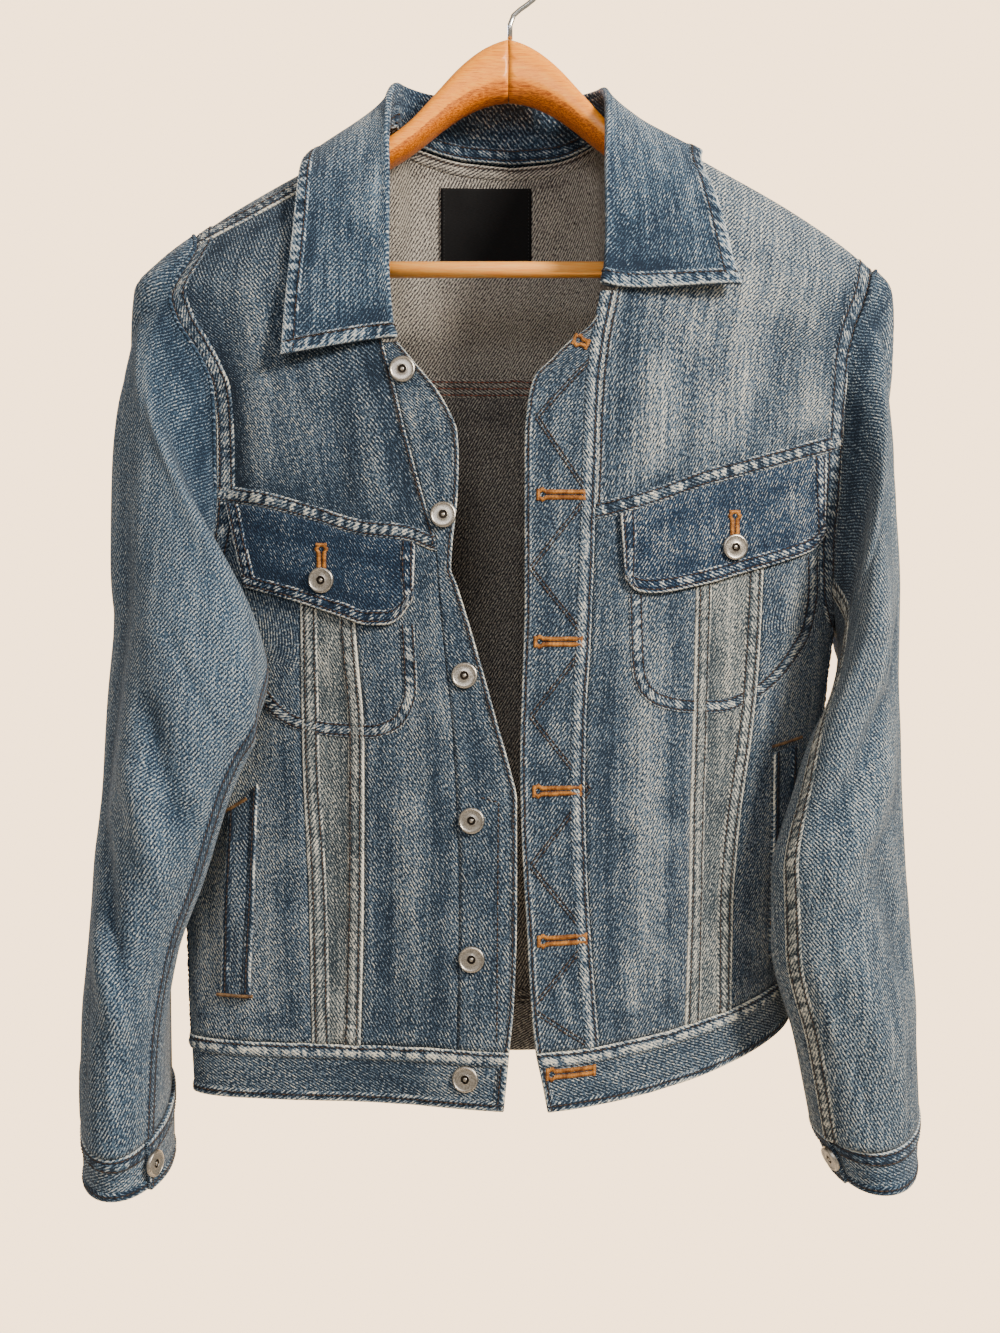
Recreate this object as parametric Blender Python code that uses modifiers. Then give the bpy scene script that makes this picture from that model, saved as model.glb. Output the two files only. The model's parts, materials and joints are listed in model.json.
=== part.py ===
"""Denim jacket on a wooden hanger, as cut and sewn, with every panel as a thin wall.

Sizes are in millimetres in the tables and in metres in the meshes. X points to the viewer's
right, Y away from the viewer and Z up. The origin is the inner top of the hanger's hook.
A table gives one row for each level, section or seam point; left is the viewer's left.
"""
import math

import bpy
import bmesh
import numpy as np
from mathutils import Vector

OBJECT = "denim_jacket"
MM = 0.001
LEFT, RIGHT = -1, 1
SIDES = ((LEFT, "left"), (RIGHT, "right"))
QUARTER = math.pi / 2

# cloth thickness: one layer of denim, two layers, and faced strips
DENIM = 1.5
DOUBLE = 2.4
SEAM_GAP = 0.3
BAND_TRIMS = (1, 1, 3, 0)
LAID_GAP = 0.55

YOKE_BACK = -306
BAND_TOP = -750
BAND_LOW = -787
UNDERARM = -475

BUTTON_DIAMETER = 17.0
BUTTON_HEIGHT = 3.4
BUTTON_SIDES = 12
SEAT_STEP = 4.0

WIRE_DIAMETER = 3.6
BAR_DIAMETER = 11.0

# shares of the collar's width taken by its stand and its roll, and of its length by the back
STAND_SHARE = 0.26
ROLL_SHARE = 0.46
NECK_SIDE = 0.32
LEAF_CLEARANCE = 3.6
SHOULDER_CLEARANCE = 4.6
COLLAR_ABOVE_YOKE = (0, 0, 1.6)
COLLAR_INSIDE_YOKE = (-2.4, -1.2, 0)

# where the shoulder seams meet the neck along the top of the back yoke
YOKE_NECK_SHARE = {-1: 9 / 28, 1: 19 / 28}
YOKE_COLUMNS = 9
YOKE_ROWS = 12

# rows of a side panel from the yoke to the underarm, and in all
FRONT_ROWS_ABOVE = 4
FRONT_ROWS = 14
BACK_ROWS_ABOVE = 6
BACK_ROWS = 16

# a place 20 mm across the shoulder line is 20 mm below it
OVER_SCALE = 20.0

# rounds of stepping towards the place where two seams meet
MEETING_STEPS = 30
SEAM_STEPS = 12
ACROSS_STEPS = 8

# how much of a fold's height is left at its two ends
FOLD_END = 0.25

# the hem starts to ride up at this height, over this length
LIFT_FROM = -450
LIFT_OVER = 340.0

SLEEVE_LENGTH = 620.0
MM_PER_DEGREE = 1.15
UPPER_TRIMS = (8, 3, 0, 1)
UNDER_TRIMS = (3, 8, 0, 1)
CUFF_TRIMS = (0, 0, 0, 0)
START_CLEARANCE = 2.4
RIDGE_CLEARANCE = 1.6
TOP_EASE = 0.8
UNDERARM_EASE = 0.5
CLEARING_STEPS = 4
CLEAR_BELOW = 0.05
CUFF_STEP = 2.1
CUFF_BUTTON_AT = 0.015
CUFF_BUTTON_STEP = 0.02
LABEL_WALL = 1.0
LABEL_GAP = 0.8

DENIM_BLUE = (0.09, 0.16, 0.26)
WORN_BLUE = (0.18, 0.26, 0.33)
STRIP_GREY = (0.19, 0.24, 0.26)
DARK_BLUE = (0.03, 0.07, 0.14)
WOOD = (0.62, 0.33, 0.11)
STEEL = (0.62, 0.62, 0.60)
PEWTER = (0.30, 0.29, 0.27)
LABEL_BLACK = (0.01, 0.01, 0.01)


class Table:
    """Rows of sizes under named columns, read smoothly between the rows of the first column."""

    def __init__(self, columns, *rows):
        self.columns = columns.split()
        data = np.array(sorted(rows), float)
        self.at = data[:, 0]
        self.data = data

    def __call__(self, name, place):
        return smooth(self.at, self.data[:, self.columns.index(name)], place)


def smooth(at, values, place):
    """Piecewise cubic that never overshoots its rows."""
    at = np.asarray(at, float)
    values = np.asarray(values, float)
    place = np.clip(np.asarray(place, float), at[0], at[-1])
    step = np.diff(at)
    slope = np.diff(values) / step
    tangent = np.zeros_like(values)
    tangent[0] = slope[0]
    tangent[-1] = slope[-1]
    for k in range(1, len(at) - 1):
        if slope[k - 1] * slope[k] > 0:
            before = 2 * step[k] + step[k - 1]
            after = step[k] + 2 * step[k - 1]
            tangent[k] = (before + after) / (before / slope[k - 1] + after / slope[k])
    k = np.clip(np.searchsorted(at, place, side="right") - 1, 0, len(step) - 1)
    t = (place - at[k]) / step[k]
    return ((2 * t ** 3 - 3 * t ** 2 + 1) * values[k]
            + (t ** 3 - 2 * t ** 2 + t) * step[k] * tangent[k]
            + (3 * t ** 2 - 2 * t ** 3) * values[k + 1]
            + (t ** 3 - t ** 2) * step[k] * tangent[k + 1])


def ease(t):
    t = np.clip(t, 0.0, 1.0)
    return t * t * (3 - 2 * t)


def unit(vectors):
    return vectors / np.maximum(np.linalg.norm(vectors, axis=-1, keepdims=True), 1e-9)


# The body of the jacket: a rounded section for each level, with the shoulder line as its
# half width above the armholes. round 2 is an ellipse and 3 is squarer.
SHOULDERS = (
    (-84, 0, 0, -4, 10, 2.5),
    (-104, 40, -2, -16, 22, 2.5),
    (-128, 83, -6, -27, 30, 2.5),
    (-162, 140, -13, -41, 37, 2.5),
    (-200, 199, -22, -51, 43, 2.5),
    (-230, 236, -28, -56, 47, 2.4),
    (-249, 251, -30, -59, 49, 2.3))
BODY = {
    LEFT: Table("z half side front back round", *SHOULDERS,
                (-300, 255, -22, -62, 50, 2.1),
                (-360, 249, -10, -65, 53, 2.0),
                (-420, 238, 0, -66, 54, 2.0),
                (-475, 228, 10, -67, 55, 2.0),
                (-550, 227, 8, -68, 55, 2.0),
                (-650, 224, -8, -68, 56, 2.2),
                (-745, 217, -28, -66, 58, 2.8),
                (-795, 213, -34, -66, 60, 3.0)),
    RIGHT: Table("z half side front back round", *SHOULDERS,
                 (-300, 254, -20, -62, 50, 2.1),
                 (-360, 246, -12, -66, 53, 2.0),
                 (-420, 234, -2, -68, 54, 2.0),
                 (-475, 224, 5, -69, 55, 2.0),
                 (-550, 216, 8, -71, 55, 2.0),
                 (-650, 206, 15, -75, 56, 2.0),
                 (-745, 198, 24, -80, 58, 2.0),
                 (-800, 195, 28, -82, 60, 2.0)),
}
# The opening edges swing forward towards the hem, and the right side seam rides up.
FLARE = {LEFT: Table("z out", (-500, 0), (-650, -8), (-800, -24)),
         RIGHT: Table("z out", (-500, 0), (-650, -3), (-800, -12))}
FLARE_REACH = 60.0
SIDE_LIFT = {LEFT: 0.0, RIGHT: 37.0}

def level_row(z):
    """A seam that runs level at height z."""
    return Table("x z", (-300, z), (300, z))


# Seams of the fronts, as the distance from the middle at each height.
PLACKET_TOP = {LEFT: -290, RIGHT: -256}
PLACKET_SEAM = {
    LEFT: Table("z x", (-290, 86), (-315, 79), (-348, 71), (-399, 57), (-421, 51), (-460, 48),
                (-502, 44), (-539, 40), (-588, 37), (-640, 35), (-750, 36), (-790, 39)),
    RIGHT: Table("z x", (-256, 67), (-290, 60), (-329, 56), (-381, 54), (-434, 52), (-486, 50),
                 (-535, 47), (-590, 46), (-635, 47), (-674, 49), (-719, 52), (-790, 58)),
}
OPENING = {
    LEFT: Table("z x", (-290, 76), (-302, 66), (-322, 50), (-336, 42), (-349, 37), (-369, 36),
                (-395, 37), (-422, 40), (-439, 41), (-450, 37), (-503, 21), (-539, 11),
                (-571, 2), (-590, -2), (-655, -2), (-720, 0), (-750, 3), (-790, 7)),
    RIGHT: Table("z x", (-256, 58), (-266, 57), (-279, 50), (-289, 37), (-302, 24), (-312, 14),
                 (-325, 10), (-355, 7), (-403, 7), (-459, 7), (-525, 5), (-563, 4), (-612, 5),
                 (-667, 8), (-722, 11), (-750, 14), (-769, 18), (-790, 22)),
}
NECK_EDGE = {
    LEFT: Table("z x", (-129, 86), (-145, 91), (-165, 95), (-200, 97), (-245, 96), (-290, 86)),
    RIGHT: Table("z x", (-121, 72), (-134, 75), (-160, 77), (-200, 76), (-245, 70), (-256, 67)),
}
STRIP_OUTER = {
    LEFT: Table("z x", (-400, 142), (-556, 140), (-650, 135), (-750, 132)),
    RIGHT: Table("z x", (-370, 168), (-475, 165), (-522, 162), (-559, 158), (-611, 151),
                 (-672, 146), (-760, 144)),
}
STRIP_INNER = {
    LEFT: Table("z x", (-400, 107), (-477, 104), (-555, 98), (-649, 98), (-750, 100)),
    RIGHT: Table("z x", (-370, 121), (-451, 120), (-538, 118), (-602, 116), (-659, 115),
                 (-750, 112)),
}
ARMHOLE_TOP = {LEFT: -211.5, RIGHT: -236}
ARMHOLE_FRONT = {
    LEFT: Table("z x", (-211, 214), (-222, 213), (-232, 217), (-243, 223), (-258, 229),
                (-272, 225), (-288, 215), (-302, 207), (-317, 201), (-346, 199), (-380, 199),
                (-409, 201), (-440, 209), (-462, 219), (-475, 228)),
    RIGHT: Table("z x", (-236, 242), (-259, 236), (-279, 229), (-302, 224), (-348, 222),
                 (-383, 221), (-420, 219), (-450, 220), (-475, 224)),
}
ARMHOLE_BACK = {
    LEFT: Table("z x", (-211, 214), (-225, 214), (-240, 217), (-262, 219), (-288, 216),
                (-317, 211), (-346, 209), (-380, 209), (-409, 210), (-440, 214), (-462, 221),
                (-475, 228)),
    RIGHT: Table("z x", (-236, 242), (-259, 233), (-279, 225), (-302, 219), (-348, 214),
                 (-383, 212), (-420, 213), (-450, 217), (-475, 224)),
}

# Seams that run across, as the height at each distance from the middle.
YOKE_SEAM = {
    LEFT: Table("x z", (30, -431), (53, -427), (68, -421), (100, -417), (132, -407),
                (172, -396), (205, -391)),
    RIGHT: Table("x z", (0, -420), (31, -412), (66, -404), (97, -395), (127, -384),
                 (166, -373), (206, -361), (225, -355)),
}
# The shoulder seam, as the distance over the shoulder line: negative in front, positive behind.
# The two panels part a little more under the collar, where the seam bends over the shoulder.
SHOULDER_SEAM = {
    LEFT: Table("x back front", (86, -3, -4.6), (110, -15, -16.4), (130, -19, -20),
                (147, -20, -20.4), (169, -19.5, -19.5), (190, -18, -18), (216, -15, -15)),
    RIGHT: Table("x back front", (72, 5, 5), (110, 9, 9), (170, 10, 10), (242, 10, 10)),
}
RIDGE = Table("x z", *((row[1], row[0]) for row in SHOULDERS), (257, -300))
NECK_POINT = {LEFT: 86.0, RIGHT: 72.0}
BACK_NECK = {LEFT: Table("x z", (0, -143), (35, -140), (64, -134), (86, -129)),
             RIGHT: Table("x z", (0, -143), (30, -140), (54, -132), (72, -121))}
BACK_SEAM = Table("z x", (-300, 124), (-450, 110), (-600, 97), (-760, 92))
# the neck edge of the back yoke bends into the shoulder seam over this length, and its low
# edge is spread between these places on each side of the middle
NECK_BEND = 14.0
YOKE_LOW_SPREAD = {LEFT: -88.0, RIGHT: 80.0}

# The collar: neck seam, top of the roll and edge of the leaf, from the middle of the back
# (along 0) over the shoulder to the front end (along 1).
COLLAR = {
    LEFT: Table("along neck_x neck_z roll_x roll_y roll_z leaf_x leaf_y leaf_z",
                (0.00, 0, -142, 0, 27, -97, 0, 52, -160),
                (0.12, 32, -140, 30, 26, -97, 44, 50, -158),
                (0.22, 62, -134, 58, 20, -96, 90, 40, -152),
                (0.32, 85, -128, 79, 2, -95, 131, 6, -146),
                (0.40, 91, -143, 84, -18, -112, 142, -30, -160),
                (0.50, 95, -165, 84, -38, -145, 144, -48, -185),
                (0.62, 97, -195, 83, -50, -187, 146, -55, -215),
                (0.75, 97, -232, 83, -57, -232, 149, -60, -250),
                (0.88, 93, -262, 81, -61, -265, 151, -65, -280),
                (1.00, 87, -288, 78, -64, -288, 152, -68, -300)),
    RIGHT: Table("along neck_x neck_z roll_x roll_y roll_z leaf_x leaf_y leaf_z",
                 (0.00, 0, -142, 0, 27, -97, 0, 52, -160),
                 (0.12, 28, -140, 26, 26, -97, 40, 50, -156),
                 (0.22, 52, -133, 46, 20, -97, 74, 42, -148),
                 (0.32, 72, -121, 61, 2, -99, 104, 10, -138),
                 (0.40, 75, -135, 63, -18, -112, 121, -26, -158),
                 (0.50, 77, -160, 62, -40, -142, 130, -45, -178),
                 (0.62, 77, -185, 61, -51, -178, 136, -54, -198),
                 (0.75, 75, -212, 61, -57, -210, 141, -59, -220),
                 (0.88, 71, -238, 60, -61, -236, 145, -63, -240),
                 (1.00, 68, -254, 58, -63, -252, 149, -66, -253)),
}
ROLL_RADIUS = 4.2
# the leaf's bend below the roll, as shares of its width: straight down, then in, and out
LEAF_DROP = 0.25
LEAF_IN = 0.35
LEAF_OUT = 0.05
# the leaf stands off the shoulders above this height, over this length, from this share down
LEAF_OFF_FROM = -240
LEAF_OFF_OVER = 60.0
LEAF_FREE_SHARE = 0.12
COLLAR_STEP = 0.02

# The sleeves: each section goes through its outermost and innermost point; y is its middle,
# deep its half depth, skew how far its inner side comes forward, dip how far its front hangs,
# swing how far its front folds in over the body and back_x where the inner side of its back is.
SLEEVE_COLUMNS = "down outer_x outer_z inner_x inner_z y deep skew dip swing back_x"
BACK_BLEND = 0.35
BACK_ROUND = 0.62
SLEEVE = {
    LEFT: Table(SLEEVE_COLUMNS,
                (0.10, 257, -264, 210, -490, -4, 58, -0.30, 0, 30, 234),
                (0.18, 266, -320, 182, -506, -16, 63, 0.10, 0, 44, 239),
                (0.28, 270, -385, 170, -528, -26, 67, 0.35, 0, 30, 241),
                (0.38, 270, -450, 172, -556, -34, 70, 0.45, 0, 12, 241),
                (0.50, 274, -520, 184, -596, -37, 70, 0.45, 0, 2, 239),
                (0.62, 277, -595, 198, -640, -39, 68, 0.40, 0, 0, 236),
                (0.74, 281, -668, 218, -690, -42, 64, 0.30, 4, 0, 234),
                (0.86, 285, -735, 228, -742, -45, 58, 0.20, 10, 0, 233),
                (1.00, 284, -792, 232, -798, -46, 54, 0.10, 18, 0, 232)),
    RIGHT: Table(SLEEVE_COLUMNS,
                 (0.10, 250, -272, 225, -498, -4, 58, -0.30, 0, 4, 231),
                 (0.18, 256, -325, 221, -512, -9, 63, 0.10, 0, 8, 233),
                 (0.28, 261, -385, 214, -530, -14, 67, 0.30, 0, 12, 234),
                 (0.38, 265, -450, 200, -552, -18, 70, 0.45, 0, 14, 233),
                 (0.50, 265, -520, 184, -590, -19, 70, 0.50, 0, 10, 231),
                 (0.62, 268, -598, 168, -640, -20, 69, 0.48, 0, 6, 227),
                 (0.74, 272, -668, 167, -686, -21, 66, 0.42, 4, 2, 222),
                 (0.86, 275, -735, 183, -744, -22, 61, 0.32, 10, 0, 215),
                 (1.00, 276, -798, 197, -802, -22, 56, 0.20, 16, 0, 208)),
}
CUFF = {
    LEFT: Table(SLEEVE_COLUMNS,
                (0.0, 284, -792.6, 232, -798.6, -46, 53, 0.10, 18, 0, 232),
                (1.0, 284, -835, 231, -836, -45, 46, 0.10, 8, 0, 231)),
    RIGHT: Table(SLEEVE_COLUMNS,
                 (0.0, 276, -798.6, 200, -802.6, -22, 55, 0.20, 16, 0, 208),
                 (1.0, 273, -836, 215, -837, -22, 50, 0.15, 10, 0, 218)),
}
SLEEVE_CLEARANCE = 7.0
# The two seams of a sleeve, in the turn round it: 0 is outermost and a quarter is the front.
INNER_SEAM = {LEFT: 0.86 * math.pi, RIGHT: 0.80 * math.pi}
OUTER_SEAM = 1.70 * math.pi
CUFF_OPENING = {LEFT: 0.93 * math.pi, RIGHT: 0.93 * math.pi}
CUFF_OVERLAP = 0.14 * math.pi

# The largest folds of the sleeves: from and to, as (down, turn in degrees), with width and
# height in millimetres; a negative height is a trough.
SLEEVE_FOLDS = {
    LEFT: ((0.10, 60, 0.22, 110, 16, 5),
           (0.16, 20, 0.40, 30, 14, 5),
           (0.30, 50, 0.62, 40, 15, -5),
           (0.26, 110, 0.40, 160, 16, 6),
           (0.44, 75, 0.56, 130, 15, -6),
           (0.52, 70, 0.66, 120, 16, 6),
           (0.62, 45, 0.76, 100, 14, -5),
           (0.72, 60, 0.84, 110, 14, 5),
           (0.45, 200, 0.60, 250, 16, 5),
           (0.60, 230, 0.72, 290, 15, -5),
           (0.30, 318, 0.46, 345, 15, 5)),
    RIGHT: ((0.08, 60, 0.20, 110, 15, 5),
            (0.20, 95, 0.44, 70, 15, 6),
            (0.24, 35, 0.50, 45, 15, -5),
            (0.46, 60, 0.58, 115, 15, -6),
            (0.54, 50, 0.68, 110, 16, 6),
            (0.66, 70, 0.80, 40, 14, -5),
            (0.74, 95, 0.90, 75, 14, 5),
            (0.46, 205, 0.60, 250, 16, 5),
            (0.58, 235, 0.72, 290, 15, -5),
            (0.28, 318, 0.44, 345, 15, 5)),
}
# Soft folds of the body, by side and face: from and to as (x, z), width and height.
BODY_FOLDS = {
    LEFT: ((196, -300, 186, -420, 12, -5),
           (175, -245, 168, -380, 13, 4),
           (120, -320, 110, -400, 14, -3),
           (196, -520, 188, -680, 13, 4),
           (118, -500, 116, -700, 15, -3)),
    RIGHT: ((215, -290, 205, -350, 12, 4),
            (180, -270, 168, -350, 13, -4),
            (100, -290, 84, -380, 14, 3),
            (185, -440, 176, -560, 13, 4),
            (132, -480, 128, -700, 14, -3),
            (84, -500, 82, -700, 14, 3)),
}

# Flaps, welts and label
FLAP_INNER = {LEFT: Table("z x", (-480, 66), (-415, 64)),
              RIGHT: Table("z x", (-460, 73), (-400, 69))}
FLAP_OUTER = {LEFT: Table("z x", (-460, 176), (-385, 195)),
              RIGHT: Table("z x", (-440, 209), (-355, 208))}
FLAP_LOW = {
    LEFT: Table("x z", (60, -450), (67, -462), (76, -473), (84, -476), (95, -476), (113, -470),
                (146, -459), (180, -449)),
    RIGHT: Table("x z", (66, -436), (73, -447), (80, -454), (90, -455), (120, -450),
                 (151, -441), (184, -431), (200, -424), (210, -412)),
}
WELT_INNER = {LEFT: Table("z x", (-722, 173), (-580, 169)),
              RIGHT: Table("z x", (-727, 172), (-560, 173))}
WELT_OUTER = {LEFT: Table("z x", (-722, 193), (-580, 189)),
              RIGHT: Table("z x", (-727, 188), (-560, 191))}
WELT_TOP = {LEFT: Table("x z", (165, -578), (195, -604)),
            RIGHT: Table("x z", (165, -569), (195, -562))}
WELT_LOW = {LEFT: level_row(-722), RIGHT: level_row(-724)}
LABEL_BOX = (-52, 14, -157, -210)
TAB_BOX = (-25, -12, -211.2, -217)

# Buttons on the left opening edge, as (x, z) and how far the flat facets of the cloth lie in
# from its true curve there, and then on the flaps
FRONT_BUTTONS = ((73, -308, 0), (46, -404, 0), (32, -509, 0), (27, -603, 0), (27, -692, 0),
                 (31, -768, 1.1))
FLAP_BUTTON = {LEFT: (126, -446), RIGHT: (145, -424)}

# The hanger: sections of one arm, as x, the middle in y, top and underside, and thickness
ARM = Table("x y top low thick",
            (0.3, 0, -65, -108, 26), (15, 0, -70, -110, 28), (32, -1, -83, -118, 28),
            (46, -2, -99, -128, 28), (66, -4, -123, -145, 28), (82, -6, -137, -156, 28),
            (140, -13, -171, -190, 26), (188, -20, -204, -223, 24), (205, -23, -216, -241, 22),
            (219, -25, -228, -245, 15))
HANGER_X = -3.0
ARM_SIDES = 14
ARM_SQUARE = 0.75
BAR_HEIGHT = -231.5
BAR_Y = -22
BAR_HALF = 190.0
HOOK_RADIUS = 20.0
WOOD_TOP = -64.5
# the wire's way up out of the wood as (x, z), then its turn round the hook in degrees
HOOK_STEM = ((-2, WOOD_TOP), (-2, -54), (0.5, -47.5), (5, -43.5), (10, -40))
HOOK_START = -48
HOOK_STOP = 205
HOOK_STEPS = 12


def body_point(side, turn, z):
    """A point of the body's cloth. turn 0 is the front middle, a quarter is the side seam
    or the shoulder line, and a half turn is the middle of the back."""
    rows = BODY[side]
    turn = np.asarray(turn, float)
    z = np.asarray(z, float)
    power = 2.0 / rows("round", z)
    sine = np.sin(turn)
    across = np.abs(sine) ** power * np.sign(sine)
    deep = np.abs(np.cos(turn)) ** power
    front = turn <= QUARTER
    x = rows("half", z) * across
    seam = rows("side", z)
    face = np.where(front, rows("front", z), rows("back", z))
    swing = np.where(front, FLARE[side]("out", z) * np.exp(-(x / FLARE_REACH) ** 2), 0)
    fold = np.where(front, body_folds(side, x, z), 0)
    y = seam + (face - seam) * deep + swing - fold * deep
    return np.stack([side * x, y, z + side_lift(side, x, z)], axis=-1)


def side_lift(side, x, z):
    """How far the hem side rides up towards the side seam."""
    share = np.clip(np.abs(x) / BODY[side]("half", z), 0, 1)
    return SIDE_LIFT[side] * share ** 2 * ease((LIFT_FROM - z) / LIFT_OVER)


def body_folds(side, x, z):
    total = np.zeros_like(x)
    for x0, z0, x1, z1, width, height in BODY_FOLDS[side]:
        total = total + height * beside_line(x, z, x0, z0, x1, z1, width)
    return total


def beside_line(a, b, a0, b0, a1, b1, width):
    """1 on a line from (a0, b0) to (a1, b1), and less beside it and past its ends."""
    da, db = a1 - a0, b1 - b0
    t = np.clip(((a - a0) * da + (b - b0) * db) / (da * da + db * db), 0, 1)
    away = np.hypot(a - a0 - t * da, b - b0 - t * db)
    taper = 1 - (2 * t - 1) ** 4
    return np.exp(-(away / width) ** 2) * (FOLD_END + (1 - FOLD_END) * taper)


def turn_at(side, x, z, back=False):
    """The turn at which the body's section at height z is x wide."""
    rows = BODY[side]
    share = np.clip(np.abs(x) / np.maximum(rows("half", z), 1.0), 0.0, 1.0)
    turn = np.arcsin(share ** (rows("round", z) / 2.0)) * np.sign(x)
    return np.pi - turn if back else turn


def width_at(side, turn, z):
    rows = BODY[side]
    sine = np.sin(turn)
    return rows("half", z) * np.abs(sine) ** (2.0 / rows("round", z)) * np.sign(sine)


def upright(side, seam, top, low, back=False):
    """A seam given by its distance from the middle, from top to low, as (turn, z)."""
    def line(t):
        z = top + (low - top) * np.asarray(t, float)
        return np.stack([turn_at(side, seam("x", z), z, back), z], axis=-1)
    return line


def across(side, seam, first, last):
    """A seam given by its height, between two (turn, z) ends, evenly in the turn."""
    def line(t):
        t = np.asarray(t, float)
        turn = first[0] + (last[0] - first[0]) * t
        z = first[1] + (last[1] - first[1]) * t
        for _ in range(ACROSS_STEPS):
            z = seam("z", width_at(side, turn, z))
        return np.stack([turn, z], axis=-1)
    return line


def meeting(seam, crossing):
    """The height at which an upright seam meets one that runs across."""
    z = -450.0
    for _ in range(MEETING_STEPS):
        z = float(crossing("z", seam("x", z)))
    return z


def smooth_steps(t, top, share):
    """Heights down a side edge, with the underarm at that share of its rows."""
    return np.interp(t, [0, share, 1], [top, UNDERARM, BAND_TOP])


def over_point(x, over):
    """A point near the shoulders: x is signed, and over is the place across the ridge."""
    span = np.abs(x)
    z = RIDGE("z", span) - over ** 2 / OVER_SCALE
    back = over > 0
    picked = []
    for side in (LEFT, RIGHT):
        turn = turn_at(side, span, z)
        picked.append(body_point(side, np.where(back, np.pi - turn, turn), z))
    return np.where((np.asarray(x) < 0)[..., None], picked[0], picked[1])


def over_at(side, x, z, sign):
    """The place over the ridge of a height on the front (sign -1) or the back (sign 1)."""
    return sign * np.sqrt(OVER_SCALE * np.maximum(RIDGE("z", x) - z, 0))


def armhole_over(side, start, stop):
    """The armhole seam in (x, over), from one place across the ridge to another."""
    def line(t):
        over = start + (stop - start) * np.asarray(t, float)
        x = np.full_like(over, ARMHOLE_FRONT[side]("x", ARMHOLE_TOP[side]))
        for _ in range(SEAM_STEPS):
            z = RIDGE("z", x) - over ** 2 / OVER_SCALE
            x = np.where(over < 0, ARMHOLE_FRONT[side]("x", z), ARMHOLE_BACK[side]("x", z))
        return np.stack([side * x, over], axis=-1)
    return line


def seam_over(side, panel, start, stop):
    """The shoulder seam of one panel in (x, over), from the neck outwards or the other way."""
    def line(t):
        x = start + (stop - start) * np.asarray(t, float)
        return np.stack([side * x, SHOULDER_SEAM[side](panel, x)], axis=-1)
    return line


def shoulder_end(side):
    """The x at which the shoulder seam meets the armhole."""
    x = float(ARMHOLE_FRONT[side]("x", ARMHOLE_TOP[side]))
    for _ in range(SEAM_STEPS):
        over = float(SHOULDER_SEAM[side]("back", x))
        arm = ARMHOLE_FRONT[side] if over < 0 else ARMHOLE_BACK[side]
        x = float(arm("x", RIDGE("z", x) - over ** 2 / OVER_SCALE))
    return x


def end(line, t):
    return line(np.array([float(t)]))[0]


def patch(point, top, low, inner, outer):
    """A panel between four seams: u runs outwards and v runs down."""
    a, b, c, d = end(top, 0), end(top, 1), end(low, 0), end(low, 1)

    def surface(u, v):
        uu = np.asarray(u, float)[..., None]
        vv = np.asarray(v, float)[..., None]
        where = ((1 - vv) * top(u) + vv * low(u) + (1 - uu) * inner(v) + uu * outer(v)
                 - (1 - uu) * (1 - vv) * a - uu * (1 - vv) * b - (1 - uu) * vv * c - uu * vv * d)
        return point(where[..., 0], where[..., 1])
    return surface


def on_side(side):
    return lambda turn, z: body_point(side, turn, z)


def around(w, z):
    """A point of the whole body: w is 0 at the middle of the back, negative on the left."""
    turn = np.pi - np.abs(w)
    left = body_point(LEFT, turn, z)
    right = body_point(RIGHT, turn, z)
    return np.where((np.asarray(w) < 0)[..., None], left, right)


def grid_points(surface, columns, rows, lift=0.0, trims=(1, 1, 1, 1), crowd=1.0):
    """Points of a surface on a grid, moved out by lift. Each edge (first and last column,
    first and last row) is drawn in by half the seam gap times its trim. A crowd over 1 sets
    the columns closer at the far side."""
    u, v = np.meshgrid(np.linspace(0, 1, columns + 1), np.linspace(0, 1, rows + 1))
    u = 1 - (1 - u) ** crowd
    points = surface(u, v)
    half = SEAM_GAP / 2
    width = np.linalg.norm(np.diff(points, axis=1), axis=-1).sum(axis=1)[:, None]
    height = np.linalg.norm(np.diff(points, axis=0), axis=-1).sum(axis=0)[None, :]
    width = half / np.maximum(width, 1.0)
    height = half / np.maximum(height, 1.0)
    u = width * trims[0] + (1 - width * (trims[0] + trims[1])) * u
    v = height * trims[2] + (1 - height * (trims[2] + trims[3])) * v
    points = surface(u, v)
    if lift:
        points = points + lift * outward(surface, u, v)
    return points


def outward(surface, u, v):
    """Unit normals of a surface, away from the middle of the body."""
    step = 1e-3
    u0, u1 = np.clip(u - step, 0, 1), np.clip(u + step, 0, 1)
    v0, v1 = np.clip(v - step, 0, 1), np.clip(v + step, 0, 1)
    normal = unit(np.cross(surface(u1, v) - surface(u0, v), surface(u, v1) - surface(u, v0)))
    middle = surface(u, v)
    middle[..., 2] = 0
    facing = np.sign((normal * middle).sum(axis=-1, keepdims=True))
    return normal * np.where(facing == 0, 1, facing)


def clear_of_body(points, clearance):
    """Moves points straight out of the body's cloth until they are clear of it."""
    z = points[..., 2]
    moved = points.copy()
    for side in (LEFT, RIGHT):
        rows = BODY[side]
        height = z - side_lift(side, points[..., 0], z)
        seam, power = rows("side", height), rows("round", height)
        half = rows("half", height) + clearance
        here = np.sign(points[..., 0]) == side
        for _ in range(CLEARING_STEPS):
            x, y = np.abs(moved[..., 0]), moved[..., 1]
            face = np.where(y < seam, rows("front", height), rows("back", height))
            deep = np.abs(face - seam) + clearance
            a, b = x / half, np.abs(y - seam) / deep
            size = np.maximum((a ** power + b ** power) ** (1 / power), 0.2)
            along_x = (a / size) ** (power - 1) / half
            along_y = (b / size) ** (power - 1) / deep * np.sign(y - seam)
            step = np.where(here, np.maximum(1 - size, 0), 0) / (along_x ** 2 + along_y ** 2)
            moved[..., 0] += side * step * along_x
            moved[..., 1] += step * along_y
    return moved


# Making the solids
def collection(name):
    made = bpy.data.collections.new(name)
    bpy.context.scene.collection.children.link(made)
    return made


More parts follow.
